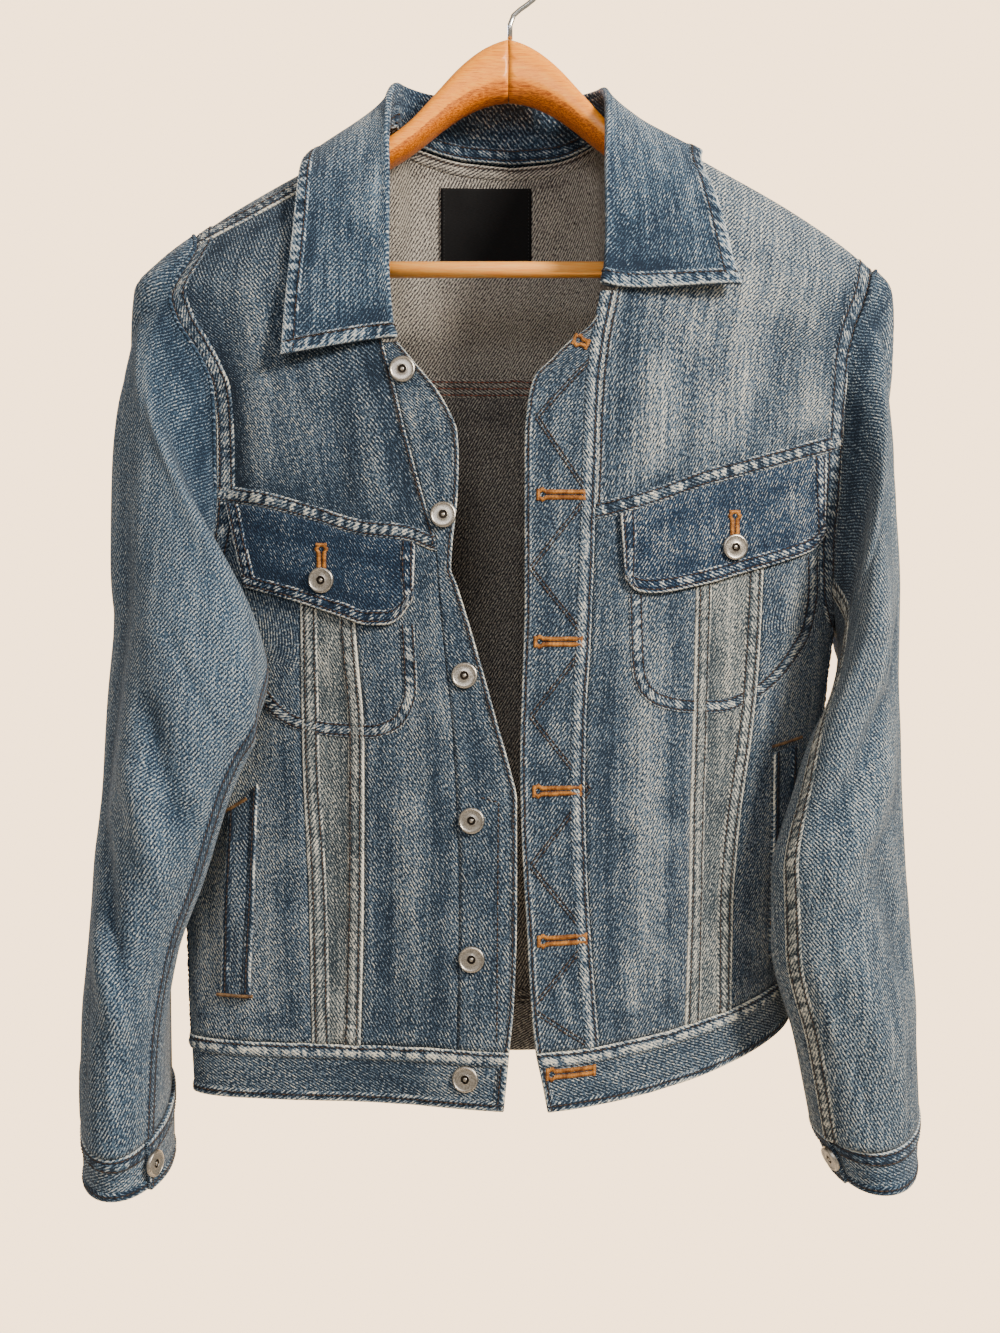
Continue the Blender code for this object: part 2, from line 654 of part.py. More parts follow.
def material(name, colour, roughness, metallic):
    mat = bpy.data.materials.new(name)
    mat.use_nodes = True
    shader = mat.node_tree.nodes["Principled BSDF"]
    shader.inputs["Base Color"].default_value = (*colour, 1)
    shader.inputs["Roughness"].default_value = roughness
    shader.inputs["Metallic"].default_value = metallic
    return mat


def place(name, mesh, colour, roughness=0.85, metallic=0.0):
    obj = bpy.data.objects.new(name, mesh)
    bpy.data.collections[OBJECT].objects.link(obj)
    mesh.materials.append(material(name + "_finish", colour, roughness, metallic))
    mesh.shade_smooth()
    return obj


def grid_mesh(name, points):
    """A quad mesh from a grid of points in millimetres."""
    rows, columns = points.shape[:2]
    bm = bmesh.new()
    verts = [[bm.verts.new(points[r, c] * MM) for c in range(columns)] for r in range(rows)]
    for r in range(rows - 1):
        for c in range(columns - 1):
            bm.faces.new((verts[r][c], verts[r][c + 1], verts[r + 1][c + 1], verts[r + 1][c]))
    mesh = bpy.data.meshes.new(name)
    bm.to_mesh(mesh)
    bm.free()
    return mesh


def cloth(name, points, wall, colour):
    """A panel: its middle surface, thickened evenly to both sides."""
    obj = place(name, grid_mesh(name, points), colour)
    thick = obj.modifiers.new("wall", "SOLIDIFY")
    thick.thickness = wall * MM
    thick.offset = 0.0
    return obj


# Fronts
def front_seams(side):
    """The corner heights and edge lines that the panels of one front share."""
    yoke, band = YOKE_SEAM[side], level_row(BAND_TOP)
    placket, arm = PLACKET_SEAM[side], ARMHOLE_FRONT[side]
    inner_v, outer_v = STRIP_INNER[side], STRIP_OUTER[side]
    top = PLACKET_TOP[side]
    z = {"placket": meeting(placket, yoke), "inner": meeting(inner_v, yoke),
         "outer": meeting(outer_v, yoke), "arm": meeting(arm, yoke)}

    def neck_and_placket(t):
        """From the shoulder seam down the neck edge and the placket seam, in (x, over)."""
        start = float(SHOULDER_SEAM[side]("front", NECK_POINT[side]))
        stop = float(over_at(side, placket("x", z["placket"]), z["placket"], -1))
        over = start + (stop - start) * np.asarray(t, float)
        x = np.full_like(over, NECK_POINT[side])
        for _ in range(SEAM_STEPS):
            height = RIDGE("z", x) - over ** 2 / OVER_SCALE
            x = np.where(height > top, NECK_EDGE[side]("x", height), placket("x", height))
        return np.stack([side * x, over], axis=-1)

    def yoke_low(t):
        x = placket("x", z["placket"]) + (arm("x", z["arm"]) - placket("x", z["placket"])) * t
        return np.stack([side * x, over_at(side, x, yoke("z", x), -1)], axis=-1)

    def armhole_and_side(t):
        height = smooth_steps(t, z["arm"], FRONT_ROWS_ABOVE / FRONT_ROWS)
        turn = np.where(height > UNDERARM, turn_at(side, arm("x", height), height), QUARTER)
        return np.stack([turn, height], axis=-1)

    lines = {
        "neck": neck_and_placket,
        "armhole": armhole_over(side, float(SHOULDER_SEAM[side]("back", shoulder_end(side))),
                                float(over_at(side, arm("x", z["arm"]), z["arm"], -1))),
        "shoulder": seam_over(side, "front", NECK_POINT[side], shoulder_end(side)),
        "yoke": yoke_low,
        "placket": upright(side, placket, z["placket"], BAND_TOP),
        "inner_v": upright(side, inner_v, z["inner"], BAND_TOP),
        "outer_v": upright(side, outer_v, z["outer"], BAND_TOP),
        "side": armhole_and_side,
        "opening": upright(side, OPENING[side], top, BAND_TOP),
        "placket_all": upright(side, placket, top, BAND_TOP),
    }

    def run(seam, first, last):
        return across(side, seam, end(lines[first[0]], first[1]), end(lines[last[0]], last[1]))

    lines["inner_top"] = run(yoke, ("placket", 0), ("inner_v", 0))
    lines["strip_top"] = run(yoke, ("inner_v", 0), ("outer_v", 0))
    lines["side_top"] = run(yoke, ("outer_v", 0), ("side", 0))
    lines["inner_low"] = run(band, ("placket", 1), ("inner_v", 1))
    lines["strip_low"] = run(band, ("inner_v", 1), ("outer_v", 1))
    lines["side_low"] = run(band, ("outer_v", 1), ("side", 1))
    lines["placket_top"] = run(level_row(top), ("opening", 0), ("placket_all", 0))
    lines["placket_low"] = run(band, ("opening", 1), ("placket_all", 1))
    return lines


def front_surfaces(side):
    s = front_seams(side)
    point = on_side(side)
    return {
        "yoke": patch(over_point, s["shoulder"], s["yoke"], s["neck"], s["armhole"]),
        "inner": patch(point, s["inner_top"], s["inner_low"], s["placket"], s["inner_v"]),
        "strip": patch(point, s["strip_top"], s["strip_low"], s["inner_v"], s["outer_v"]),
        "side": patch(point, s["side_top"], s["side_low"], s["outer_v"], s["side"]),
        "placket": patch(point, s["placket_top"], s["placket_low"], s["opening"],
                         s["placket_all"]),
    }


# key, node, columns, rows, wall, colour, trims of the four edges, crowding at the side
FRONT_PANELS = (
    ("yoke", "front_yoke", YOKE_COLUMNS, YOKE_ROWS, DENIM, WORN_BLUE, (2, 1, 4, 1), 1.0),
    ("inner", "front_inner", 4, 14, DENIM, WORN_BLUE, (2, 1, 1, 1), 1.0),
    ("strip", "front_strip", 3, 14, DENIM, STRIP_GREY, (1, 1, 1, 1), 1.0),
    ("side", "front_side", 9, FRONT_ROWS, DENIM, WORN_BLUE, (1, 4, 1, 1), 1.5),
    ("placket", "placket", 3, 26, DOUBLE, WORN_BLUE, (1, 2, 1, 1), 1.0),
)


def make_fronts():
    for side, word in SIDES:
        surfaces = front_surfaces(side)
        for key, name, columns, rows, wall, colour, trims, crowd in FRONT_PANELS:
            points = grid_points(surfaces[key], columns, rows, trims=trims, crowd=crowd)
            cloth(name + "_" + word, points, wall, colour)


# Back
def stretches(t, *parts):
    """Joins lines end to end: each part is (start, stop, line)."""
    t = np.asarray(t, float)
    joined = np.zeros(t.shape + (2,))
    for start, stop, line in parts:
        inside = (t >= start - 1e-9) & (t <= stop + 1e-9)
        local = np.clip((t - start) / (stop - start), 0, 1)
        joined = np.where(inside[..., None], line(local), joined)
    return joined


def back_yoke_surface():
    """The back yoke in (x, over), from the left armhole to the right one."""
    left, right = YOKE_NECK_SHARE[LEFT], YOKE_NECK_SHARE[RIGHT]

    def neck(side, start, stop):
        def line(t):
            x = start + (stop - start) * np.asarray(t, float)
            over = over_at(side, x, BACK_NECK[side]("z", x), 1)
            seam = float(SHOULDER_SEAM[side]("back", NECK_POINT[side]))
            near = ease((x - NECK_POINT[side] + NECK_BEND) / NECK_BEND)
            return np.stack([side * x, over + (seam - over) * near], axis=-1)
        return line

    def top(t):
        ends = {side: (NECK_POINT[side], shoulder_end(side)) for side in (LEFT, RIGHT)}
        return stretches(t, (right, 1, seam_over(RIGHT, "back", *ends[RIGHT])),
                         (0.5, right, neck(RIGHT, 0, NECK_POINT[RIGHT])),
                         (left, 0.5, neck(LEFT, NECK_POINT[LEFT], 0)),
                         (0, left, seam_over(LEFT, "back", *reversed(ends[LEFT]))))

    reach = {side: float(ARMHOLE_BACK[side]("x", YOKE_BACK)) for side in (LEFT, RIGHT)}

    def low(t):
        places = [-reach[LEFT], YOKE_LOW_SPREAD[LEFT], 0, YOKE_LOW_SPREAD[RIGHT], reach[RIGHT]]
        x = smooth([0, left, 0.5, right, 1], places, t)
        return np.stack([x, over_at(LEFT, np.abs(x), YOKE_BACK, 1)], axis=-1)

    def arm(side):
        return armhole_over(side, float(SHOULDER_SEAM[side]("back", shoulder_end(side))),
                            float(over_at(side, reach[side], YOKE_BACK, 1)))
    return patch(over_point, top, low, arm(LEFT), arm(RIGHT))


def back_surfaces():
    surfaces = {"yoke": back_yoke_surface()}

    def seam_w(side):
        line = upright(side, BACK_SEAM, YOKE_BACK, BAND_TOP, back=True)

        def turned(t):
            p = line(t)
            return np.stack([side * (np.pi - p[..., 0]), p[..., 1]], axis=-1)
        return turned

    def straight(first, last):
        return lambda t: first + (last - first) * np.asarray(t, float)[..., None]

    left, right = seam_w(LEFT), seam_w(RIGHT)
    surfaces["centre"] = patch(around, straight(end(left, 0), end(right, 0)),
                               straight(end(left, 1), end(right, 1)), left, right)
    for side in (LEFT, RIGHT):
        inner = seam_w(side)
        arm = ARMHOLE_BACK[side]

        def outer(t, side=side, arm=arm):
            z = smooth_steps(t, YOKE_BACK, BACK_ROWS_ABOVE / BACK_ROWS)
            turn = np.where(z > UNDERARM, turn_at(side, arm("x", z), z, back=True), QUARTER)
            return np.stack([side * (np.pi - turn), z], axis=-1)

        surfaces[side] = patch(around, straight(end(inner, 0), end(outer, 0)),
                               straight(end(inner, 1), end(outer, 1)), inner, outer)
    return surfaces


def make_back():
    surfaces = back_surfaces()
    cloth("back_yoke", grid_points(surfaces["yoke"], 28, 9, trims=(1, 1, 3, 1)), DENIM, WORN_BLUE)
    cloth("back_centre", grid_points(surfaces["centre"], 9, 13), DENIM, WORN_BLUE)
    for side, word in SIDES:
        cloth("back_side_" + word,
              grid_points(surfaces[side], 8, BACK_ROWS, trims=(1, 4, 1, 1), crowd=1.5),
              DENIM, WORN_BLUE)


# Waistband
def band_surface():
    """One strip from the left opening edge round the back to the right one."""
    def surface(u, v):
        z = BAND_TOP + (BAND_LOW - BAND_TOP) * np.asarray(v, float)
        start = -np.pi + turn_at(LEFT, OPENING[LEFT]("x", z), z)
        stop = np.pi - turn_at(RIGHT, OPENING[RIGHT]("x", z), z)
        left_flip = OPENING[LEFT]("x", z) < 0
        start = np.where(left_flip, -np.pi, start)
        return around(start + (stop - start) * u, z)
    return surface


def make_waistband():
    cloth("waistband", grid_points(band_surface(), 52, 2, trims=BAND_TRIMS), DOUBLE, WORN_BLUE)


# Flaps, welts and labels lie on the panels, moved out from the same points
def flap_surface(side):
    inner, outer, low = FLAP_INNER[side], FLAP_OUTER[side], FLAP_LOW[side]
    yoke = YOKE_SEAM[side]
    point = on_side(side)
    z_in, z_out = meeting(inner, yoke), meeting(outer, yoke)
    z_low_in, z_low_out = meeting(inner, low), meeting(outer, low)
    left_line = upright(side, inner, z_in, z_low_in)
    right_line = upright(side, outer, z_out, z_low_out)
    top = across(side, yoke, end(left_line, 0), end(right_line, 0))
    bottom = across(side, low, end(left_line, 1), end(right_line, 1))
    return patch(point, top, bottom, left_line, right_line)


def welt_surface(side):
    inner, outer = WELT_INNER[side], WELT_OUTER[side]
    top, low = WELT_TOP[side], WELT_LOW[side]
    line_in = upright(side, inner, meeting(inner, top), meeting(inner, low))
    line_out = upright(side, outer, meeting(outer, top), meeting(outer, low))
    return patch(on_side(side), across(side, top, end(line_in, 0), end(line_out, 0)),
                 across(side, low, end(line_in, 1), end(line_out, 1)), line_in, line_out)


def box_surface(x0, x1, top, low):
    """A rectangle seen from the front, on the back of the body."""
    def surface(u, v):
        x = x0 + (x1 - x0) * np.asarray(u, float)
        z = top + (low - top) * np.asarray(v, float)
        turn = np.where(x < 0, turn_at(LEFT, -x, z, True), turn_at(RIGHT, x, z, True))
        return around(np.sign(x) * (np.pi - turn), z)
    return surface


def make_pockets():
    on_panel = (DENIM + DOUBLE) / 2 + LAID_GAP
    for side, word in SIDES:
        cloth("pocket_flap_" + word,
              grid_points(flap_surface(side), 12, 5, lift=on_panel), DOUBLE, DARK_BLUE)
        cloth("pocket_welt_" + word,
              grid_points(welt_surface(side), 2, 14, lift=on_panel), DOUBLE, WORN_BLUE)


def make_labels():
    under = -((DENIM + LABEL_WALL) / 2 + LABEL_GAP)
    x0, x1, top, low = LABEL_BOX
    cloth("neck_label", grid_points(box_surface(x0, x1, top, low), 6, 4, lift=under),
          LABEL_WALL, LABEL_BLACK)
    x0, x1, top, low = TAB_BOX
    cloth("size_tab", grid_points(box_surface(x0, x1, top, low), 2, 2, lift=under),
          LABEL_WALL, LABEL_BLACK)


# Collar
def collar_lines(u):
    """Neck seam, top of the roll and leaf edge; u runs from the left front to the right."""
    found = []
    for side, along in ((LEFT, np.clip(1 - 2 * u, 0, 1)), (RIGHT, np.clip(2 * u - 1, 0, 1))):
        rows = COLLAR[side]
        back = along < NECK_SIDE
        turn = turn_at(side, rows("neck_x", along), rows("neck_z", along))
        neck = body_point(side, np.where(back, np.pi - turn, turn), rows("neck_z", along))
        shift = np.where(back[..., None], COLLAR_ABOVE_YOKE, COLLAR_INSIDE_YOKE)
        neck = neck + shift * np.array([side, 1, 1])
        roll = np.stack([side * rows("roll_x", along), rows("roll_y", along),
                         rows("roll_z", along)], axis=-1)
        leaf = np.stack([side * rows("leaf_x", along), rows("leaf_y", along),
                         rows("leaf_z", along)], axis=-1)
        found.append((neck, roll, leaf))
    left = (u < 0.5)[..., None]
    return [np.where(left, a, b) for a, b in zip(*found)]


def collar_surface(u, v):
    """v runs from the neck seam up the stand, round the roll and down the leaf."""
    u = np.asarray(u, float)
    v = np.asarray(v, float)[..., None]
    neck, roll, leaf = collar_lines(u)
    ahead = (collar_lines(np.clip(u + COLLAR_STEP, 0, 1))[1]
             - collar_lines(np.clip(u - COLLAR_STEP, 0, 1))[1])
    up = unit(roll - neck)
    out = unit(np.cross(up, ahead))
    stand_top = roll - ROLL_RADIUS * up
    centre = stand_top + ROLL_RADIUS * out
    leaf_top = stand_top + 2 * ROLL_RADIUS * out
    stand = neck + (stand_top - neck) * np.clip(v / STAND_SHARE, 0, 1)
    turn = np.clip((v - STAND_SHARE) / (ROLL_SHARE - STAND_SHARE), 0, 1) * np.pi
    bend = centre - ROLL_RADIUS * out * np.cos(turn) + ROLL_RADIUS * up * np.sin(turn)
    t = np.clip((v - ROLL_SHARE) / (1 - ROLL_SHARE), 0, 1)
    span = np.linalg.norm(leaf - leaf_top, axis=-1, keepdims=True)
    fall = (leaf_top * (1 - t) ** 3
            + 3 * (leaf_top - up * span * LEAF_DROP) * (1 - t) ** 2 * t
            + 3 * (leaf + (leaf_top - leaf) * LEAF_IN + out * span * LEAF_OUT) * (1 - t) * t ** 2
            + leaf * t ** 3)
    off = ease((fall[..., 2] - LEAF_OFF_FROM) / LEAF_OFF_OVER)
    fall_clear = clear_of_body(fall, LEAF_CLEARANCE + SHOULDER_CLEARANCE * off)
    fall = np.where(t > LEAF_FREE_SHARE, fall_clear, fall)
    return np.where(v < STAND_SHARE, stand, np.where(v < ROLL_SHARE, bend, fall))


def make_collar():
    cloth("collar", grid_points(collar_surface, 36, 11, trims=(0, 0, 0, 0)), DOUBLE, DENIM_BLUE)


# Sleeves
def armhole_point(side, turn):
    """The armhole seam at a turn round the sleeve, on the body's cloth."""
    top, low = ARMHOLE_TOP[side], UNDERARM
    z = top + (low - top) * (1 - np.cos(turn)) / 2
    front = np.sin(turn) >= 0
    turn_front = turn_at(side, ARMHOLE_FRONT[side]("x", z), z)
    turn_back = turn_at(side, ARMHOLE_BACK[side]("x", z), z, back=True)
    return body_point(side, np.where(front, turn_front, turn_back), z)


def section_point(side, rows, down, turn):
    ox, oz, ix, iz = (rows(n, down) for n in ("outer_x", "outer_z", "inner_x", "inner_z"))
    c, s = np.cos(turn), np.sin(turn)
    squared = np.where(s < 0, np.abs(c) ** BACK_ROUND * np.sign(c), c)
    inward = (1 - squared) / 2
    to_back = ease((BACK_BLEND - s) / (2 * BACK_BLEND))
    x = (ox + (ix - ox) * inward + (rows("back_x", down) - ix) * inward * to_back
         - rows("swing", down) * np.maximum(s, 0) * inward)
    z = (oz + iz) / 2 + (oz - iz) / 2 * c - rows("dip", down) * s
    y = rows("y", down) - rows("deep", down) * s + rows("skew", down) * (ox - ix) / 2 * c
    return np.stack([side * x, y, z], axis=-1)


def sleeve_point(side, down, turn):
    """A point of the sleeve's cloth: down is 0 at the armhole and 1 at the cuff."""
    down = np.asarray(down, float)
    turn = np.mod(turn, 2 * np.pi)
    rows = SLEEVE[side]
    first = float(rows.at[0])
    lower = section_point(side, rows, np.maximum(down, first), turn)
    start = armhole_point(side, turn)
    # below the armhole the cloth runs out of the seam and bends smoothly into the first section
    slope = (section_point(side, rows, np.full_like(down, first + 0.01), turn)
             - section_point(side, rows, np.full_like(down, first), turn)) / 0.01
    t = np.clip(down / first, 0, 1)[..., None]
    finish = section_point(side, rows, np.full_like(down, first), turn)
    out = unit(finish - start) * np.linalg.norm(finish - start, axis=-1, keepdims=True)
    head = ((2 * t ** 3 - 3 * t ** 2 + 1) * start + (t ** 3 - 2 * t ** 2 + t) * out
            + (3 * t ** 2 - 2 * t ** 3) * finish + (t ** 3 - t ** 2) * slope * first)
    points = np.where((down < first)[..., None], head, lower)
    points = points + sleeve_relief(side, down, turn)[..., None] * around_sleeve(side, down, turn)
    top, under = np.maximum(np.cos(turn), 0), np.maximum(-np.cos(turn), 0)
    start = START_CLEARANCE + RIDGE_CLEARANCE * top ** 2 - UNDERARM_EASE * under
    more = (SLEEVE_CLEARANCE - START_CLEARANCE) * ease(down / CLEAR_BELOW) * (1 - TOP_EASE * top)
    return clear_of_body(points, start + more)


def around_sleeve(side, down, turn):
    """Roughly the direction out of the sleeve."""
    rows = SLEEVE[side]
    place = np.maximum(down, float(rows.at[0]))
    half = (rows("outer_x", place) - rows("inner_x", place)) / 2
    c, s = np.cos(turn), np.sin(turn)
    return unit(np.stack([side * c / half, -s / rows("deep", place), np.zeros_like(c)], axis=-1))


def sleeve_relief(side, down, turn):
    degrees = np.degrees(turn)
    total = np.zeros(np.broadcast(down, turn).shape)
    for d0, a0, d1, a1, width, height in SLEEVE_FOLDS[side]:
        total = total + height * beside_line(down * SLEEVE_LENGTH, degrees * MM_PER_DEGREE,
                                             d0 * SLEEVE_LENGTH, a0 * MM_PER_DEGREE,
                                             d1 * SLEEVE_LENGTH, a1 * MM_PER_DEGREE, width)
    return total


def sleeve_surface(side, start, stop):
    return lambda u, v: sleeve_point(side, v, start + (stop - start) * np.asarray(u, float))


def cuff_surface(side):
    """The cuff is one strip whose outer end laps over the inner one."""
    rows = CUFF[side]

    def surface(u, v):
        u = np.asarray(u, float)
        turn = CUFF_OPENING[side] - CUFF_OVERLAP + (2 * np.pi + CUFF_OVERLAP) * u
        points = section_point(side, rows, v, turn)
        centre = (rows("outer_x", v) + rows("inner_x", v)) / 2
        away = points - np.stack([side * centre, rows("y", v), points[..., 2]], axis=-1)
        return points + unit(away) * ((1 - u) * 2 - 1)[..., None] * CUFF_STEP
    return surface


def make_sleeves():
    for side, word in SIDES:
        inner, outer = INNER_SEAM[side], OUTER_SEAM
        cloth("sleeve_upper_" + word,
              grid_points(sleeve_surface(side, outer - 2 * np.pi, inner), 16, 18,
                          trims=UPPER_TRIMS),
              DENIM, DENIM_BLUE)
        cloth("sleeve_under_" + word,
              grid_points(sleeve_surface(side, inner, outer), 9, 18, trims=UNDER_TRIMS),
              DENIM, DENIM_BLUE)
        cloth("cuff_" + word, grid_points(cuff_surface(side), 26, 2, trims=CUFF_TRIMS),
              DOUBLE, DENIM_BLUE)


# Buttons: a pewter ring with a dished middle, turned on its axis
BUTTON_PROFILE = ((0, 0.25), (0.30, 0.25), (0.45, 0.60), (0.80, 0.95), (1.0, 0.45), (0.90, 0.0))


def make_button(name, centre, direction):
    radius = BUTTON_DIAMETER / 2
    profile = bpy.data.meshes.new(name)
    verts = [(r * radius * MM, 0, h * BUTTON_HEIGHT * MM) for r, h in BUTTON_PROFILE]
    verts.append((0, 0, 0))
    edges = [(k, k + 1) for k in range(len(verts) - 1)]
    profile.from_pydata(verts, edges, [])
    obj = place(name, profile, PEWTER, 0.35, 1.0)
    turn = obj.modifiers.new("turned", "SCREW")
    turn.axis = "Z"
    turn.steps = BUTTON_SIDES
    turn.render_steps = BUTTON_SIDES
    turn.use_merge_vertices = True
    turn.merge_threshold = 1e-5
    turn.use_smooth_shade = True
    obj.rotation_mode = "QUATERNION"
    obj.rotation_quaternion = Vector(direction).to_track_quat("Z", "Y")
    obj.location = Vector([c * MM for c in centre])
    return obj


def seat(point, x, z, lift):
    """A place on the front's cloth and the direction out of it."""
    here = point(x, z)
    du = point(x + SEAT_STEP, z) - point(x - SEAT_STEP, z)
    dv = point(x, z - SEAT_STEP) - point(x, z + SEAT_STEP)
    out = unit(np.cross(du, dv))
    out = out * (-1 if out[1] > 0 else 1)
    return here + out * lift, out


def make_buttons():
    for side, word in SIDES:
        def point(x, z, side=side):
            return body_point(side, turn_at(side, x, z), np.asarray(z, float))

        on_placket = DOUBLE / 2 + LAID_GAP
        if side == LEFT:
            for k, (x, z, sunk) in enumerate(FRONT_BUTTONS):
                centre, out = seat(point, x, z, on_placket - sunk)
                make_button("button_front_%d" % (k + 1), centre, out)
        x, z = FLAP_BUTTON[side]
        centre, out = seat(point, x, z, DENIM / 2 + DOUBLE + 2 * LAID_GAP)
        make_button("button_flap_" + word, centre, out)

        surface = cuff_surface(side)
        u, v, step = CUFF_BUTTON_AT, 0.5, CUFF_BUTTON_STEP
        here = surface(u, v)
        out = unit(np.cross(surface(u + step, v) - surface(u - step, v),
                            surface(u, v + step) - surface(u, v - step)))
        middle = section_point(side, CUFF[side], v, 0.0) + section_point(side, CUFF[side], v, np.pi)
        out = out * np.sign(np.dot(out, here - middle / 2))
        make_button("button_cuff_" + word, here + out * on_placket, out)


# Hanger
def make_arm(side, word):
    """A shaped wooden arm, lofted through its sections, with a closed face at each end."""
    rows = ARM.data
    name = "hanger_arm_" + word
    bm = bmesh.new()
    rings = []
    for x, y, top, low, thick in rows:
        ring = []
        for k in range(ARM_SIDES):
            turn = 2 * math.pi * (k + 0.5) / ARM_SIDES
            c, s = math.cos(turn), math.sin(turn)
            across_y = y + thick / 2 * math.copysign(abs(c) ** ARM_SQUARE, c)
            up = (top + low) / 2 + (top - low) / 2 * math.copysign(abs(s) ** ARM_SQUARE, s)
            ring.append(bm.verts.new(Vector((HANGER_X + side * x, across_y, up)) * MM))
        rings.append(ring)
    for near, far in zip(rings, rings[1:]):
        for k in range(ARM_SIDES):
            n = (k + 1) % ARM_SIDES
            bm.faces.new((near[k], near[n], far[n], far[k]))
    bm.faces.new(rings[0])
    bm.faces.new(rings[-1])
    bmesh.ops.recalc_face_normals(bm, faces=bm.faces)
    mesh = bpy.data.meshes.new(name)
    bm.to_mesh(mesh)
    bm.free()
    return place(name, mesh, WOOD, 0.35)


def make_wire(name, points, diameter, resolution, colour, roughness, metallic):
    """A rod or wire along points, with filled ends."""
    curve = bpy.data.curves.new(name, "CURVE")
    curve.dimensions = "3D"
    curve.bevel_depth = diameter / 2 * MM
    curve.bevel_resolution = resolution
    curve.use_fill_caps = True
    spline = curve.splines.new("POLY")
    spline.points.add(len(points) - 1)
    for target, point in zip(spline.points, points):
        target.co = (*(c * MM for c in point), 1)
    obj = bpy.data.objects.new(name, curve)
    bpy.data.collections[OBJECT].objects.link(obj)
    curve.materials.append(material(name + "_finish", colour, roughness, metallic))
    return obj


def hook_path():
    """Up out of the wood, round the right side and over, to a free end on the left."""
    centre_z = -HOOK_RADIUS
    wire = HOOK_RADIUS + WIRE_DIAMETER / 2
    path = [(x, 0, z) for x, z in HOOK_STEM]
    for k in range(HOOK_STEPS + 1):
        turn = math.radians(HOOK_START + (HOOK_STOP - HOOK_START) * k / HOOK_STEPS)
        path.append((wire * math.cos(turn), 0, centre_z + wire * math.sin(turn)))
    return path


def make_hanger():
    for side, word in SIDES:
        make_arm(side, word)
    make_wire("hanger_bar", [(HANGER_X + share * BAR_HALF, BAR_Y, BAR_HEIGHT)
                             for share in (-1, 0, 1)], BAR_DIAMETER, 3, WOOD, 0.35, 0.0)
    make_wire("hanger_hook", hook_path(), WIRE_DIAMETER, 2, STEEL, 0.25, 1.0)


def clear_scene():
    for obj in list(bpy.data.objects):
        bpy.data.objects.remove(obj, do_unlink=True)


def main():
    clear_scene()
    collection(OBJECT)
    make_fronts()
    make_back()
    make_waistband()
    make_pockets()
    make_labels()
    make_collar()
    make_sleeves()
    make_buttons()
    make_hanger()


main()
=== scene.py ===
"""Looks of a washed denim jacket on a varnished wooden hanger.

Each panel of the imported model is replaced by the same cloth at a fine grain, with its creases,
its turned and topstitched seams, and the thread in them. Sizes are in millimetres in the tables
and in metres in the meshes. X points to the viewer's right, Y away from the viewer and Z up, and
the origin is the inner top of the hanger's hook. Left is the viewer's left.
"""
import json
import math

import bpy
import numpy as np
from mathutils import Matrix, Vector

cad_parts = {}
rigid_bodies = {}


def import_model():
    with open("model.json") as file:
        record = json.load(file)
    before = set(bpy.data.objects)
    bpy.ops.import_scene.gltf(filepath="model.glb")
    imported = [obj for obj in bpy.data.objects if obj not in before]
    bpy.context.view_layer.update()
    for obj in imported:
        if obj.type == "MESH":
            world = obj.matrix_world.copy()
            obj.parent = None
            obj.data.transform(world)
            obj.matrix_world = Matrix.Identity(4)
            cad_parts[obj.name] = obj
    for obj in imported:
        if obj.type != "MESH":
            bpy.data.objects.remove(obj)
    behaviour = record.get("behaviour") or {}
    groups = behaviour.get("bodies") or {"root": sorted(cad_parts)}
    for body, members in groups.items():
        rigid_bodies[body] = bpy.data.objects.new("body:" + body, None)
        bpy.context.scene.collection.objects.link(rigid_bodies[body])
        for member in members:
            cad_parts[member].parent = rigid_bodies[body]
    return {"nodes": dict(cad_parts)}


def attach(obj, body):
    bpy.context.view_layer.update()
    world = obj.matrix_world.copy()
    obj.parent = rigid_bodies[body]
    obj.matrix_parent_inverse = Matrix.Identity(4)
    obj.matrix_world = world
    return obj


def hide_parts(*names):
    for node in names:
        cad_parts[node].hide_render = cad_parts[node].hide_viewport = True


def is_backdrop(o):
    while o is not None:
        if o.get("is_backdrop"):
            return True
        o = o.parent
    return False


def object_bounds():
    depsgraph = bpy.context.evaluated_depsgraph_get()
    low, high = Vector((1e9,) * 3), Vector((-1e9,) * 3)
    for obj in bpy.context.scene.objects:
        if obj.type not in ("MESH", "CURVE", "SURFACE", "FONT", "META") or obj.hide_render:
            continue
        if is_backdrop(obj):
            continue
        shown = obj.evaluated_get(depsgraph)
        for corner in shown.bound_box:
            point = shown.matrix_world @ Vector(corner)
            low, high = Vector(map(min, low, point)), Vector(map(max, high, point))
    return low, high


MM = 0.001
LEFT, RIGHT = -1, 1
SIDES = ((LEFT, "left"), (RIGHT, "right"))
QUARTER = math.pi / 2

# The sizes from here to the hanger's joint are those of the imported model, apart from the fold.
DENIM = 1.5
DOUBLE = 2.4
LAID_GAP = 0.55

YOKE_BACK = -306
BAND_TOP = -750
BAND_LOW = -787
UNDERARM = -475

BUTTON_DIAMETER = 17.0
SEAT_STEP = 4.0

# shares of the collar's width taken by its stand and its roll, and of its length by the back
STAND_SHARE = 0.26
ROLL_SHARE = 0.46
NECK_SIDE = 0.32
LEAF_CLEARANCE = 3.6
SHOULDER_CLEARANCE = 4.6
COLLAR_ABOVE_YOKE = (0, 0, 1.6)
COLLAR_INSIDE_YOKE = (-2.4, -1.2, 0)

# where the shoulder seams meet the neck along the top of the back yoke
YOKE_NECK_SHARE = {LEFT: 9 / 28, RIGHT: 19 / 28}

# rows of a side panel from the yoke to the underarm, and in all
FRONT_ROWS_ABOVE = 4
FRONT_ROWS = 14
BACK_ROWS_ABOVE = 6
BACK_ROWS = 16

# a place 20 mm across the shoulder line is 20 mm below it
OVER_SCALE = 20.0

# rounds of stepping towards the place where two seams meet
MEETING_STEPS = 30
SEAM_STEPS = 12
ACROSS_STEPS = 8

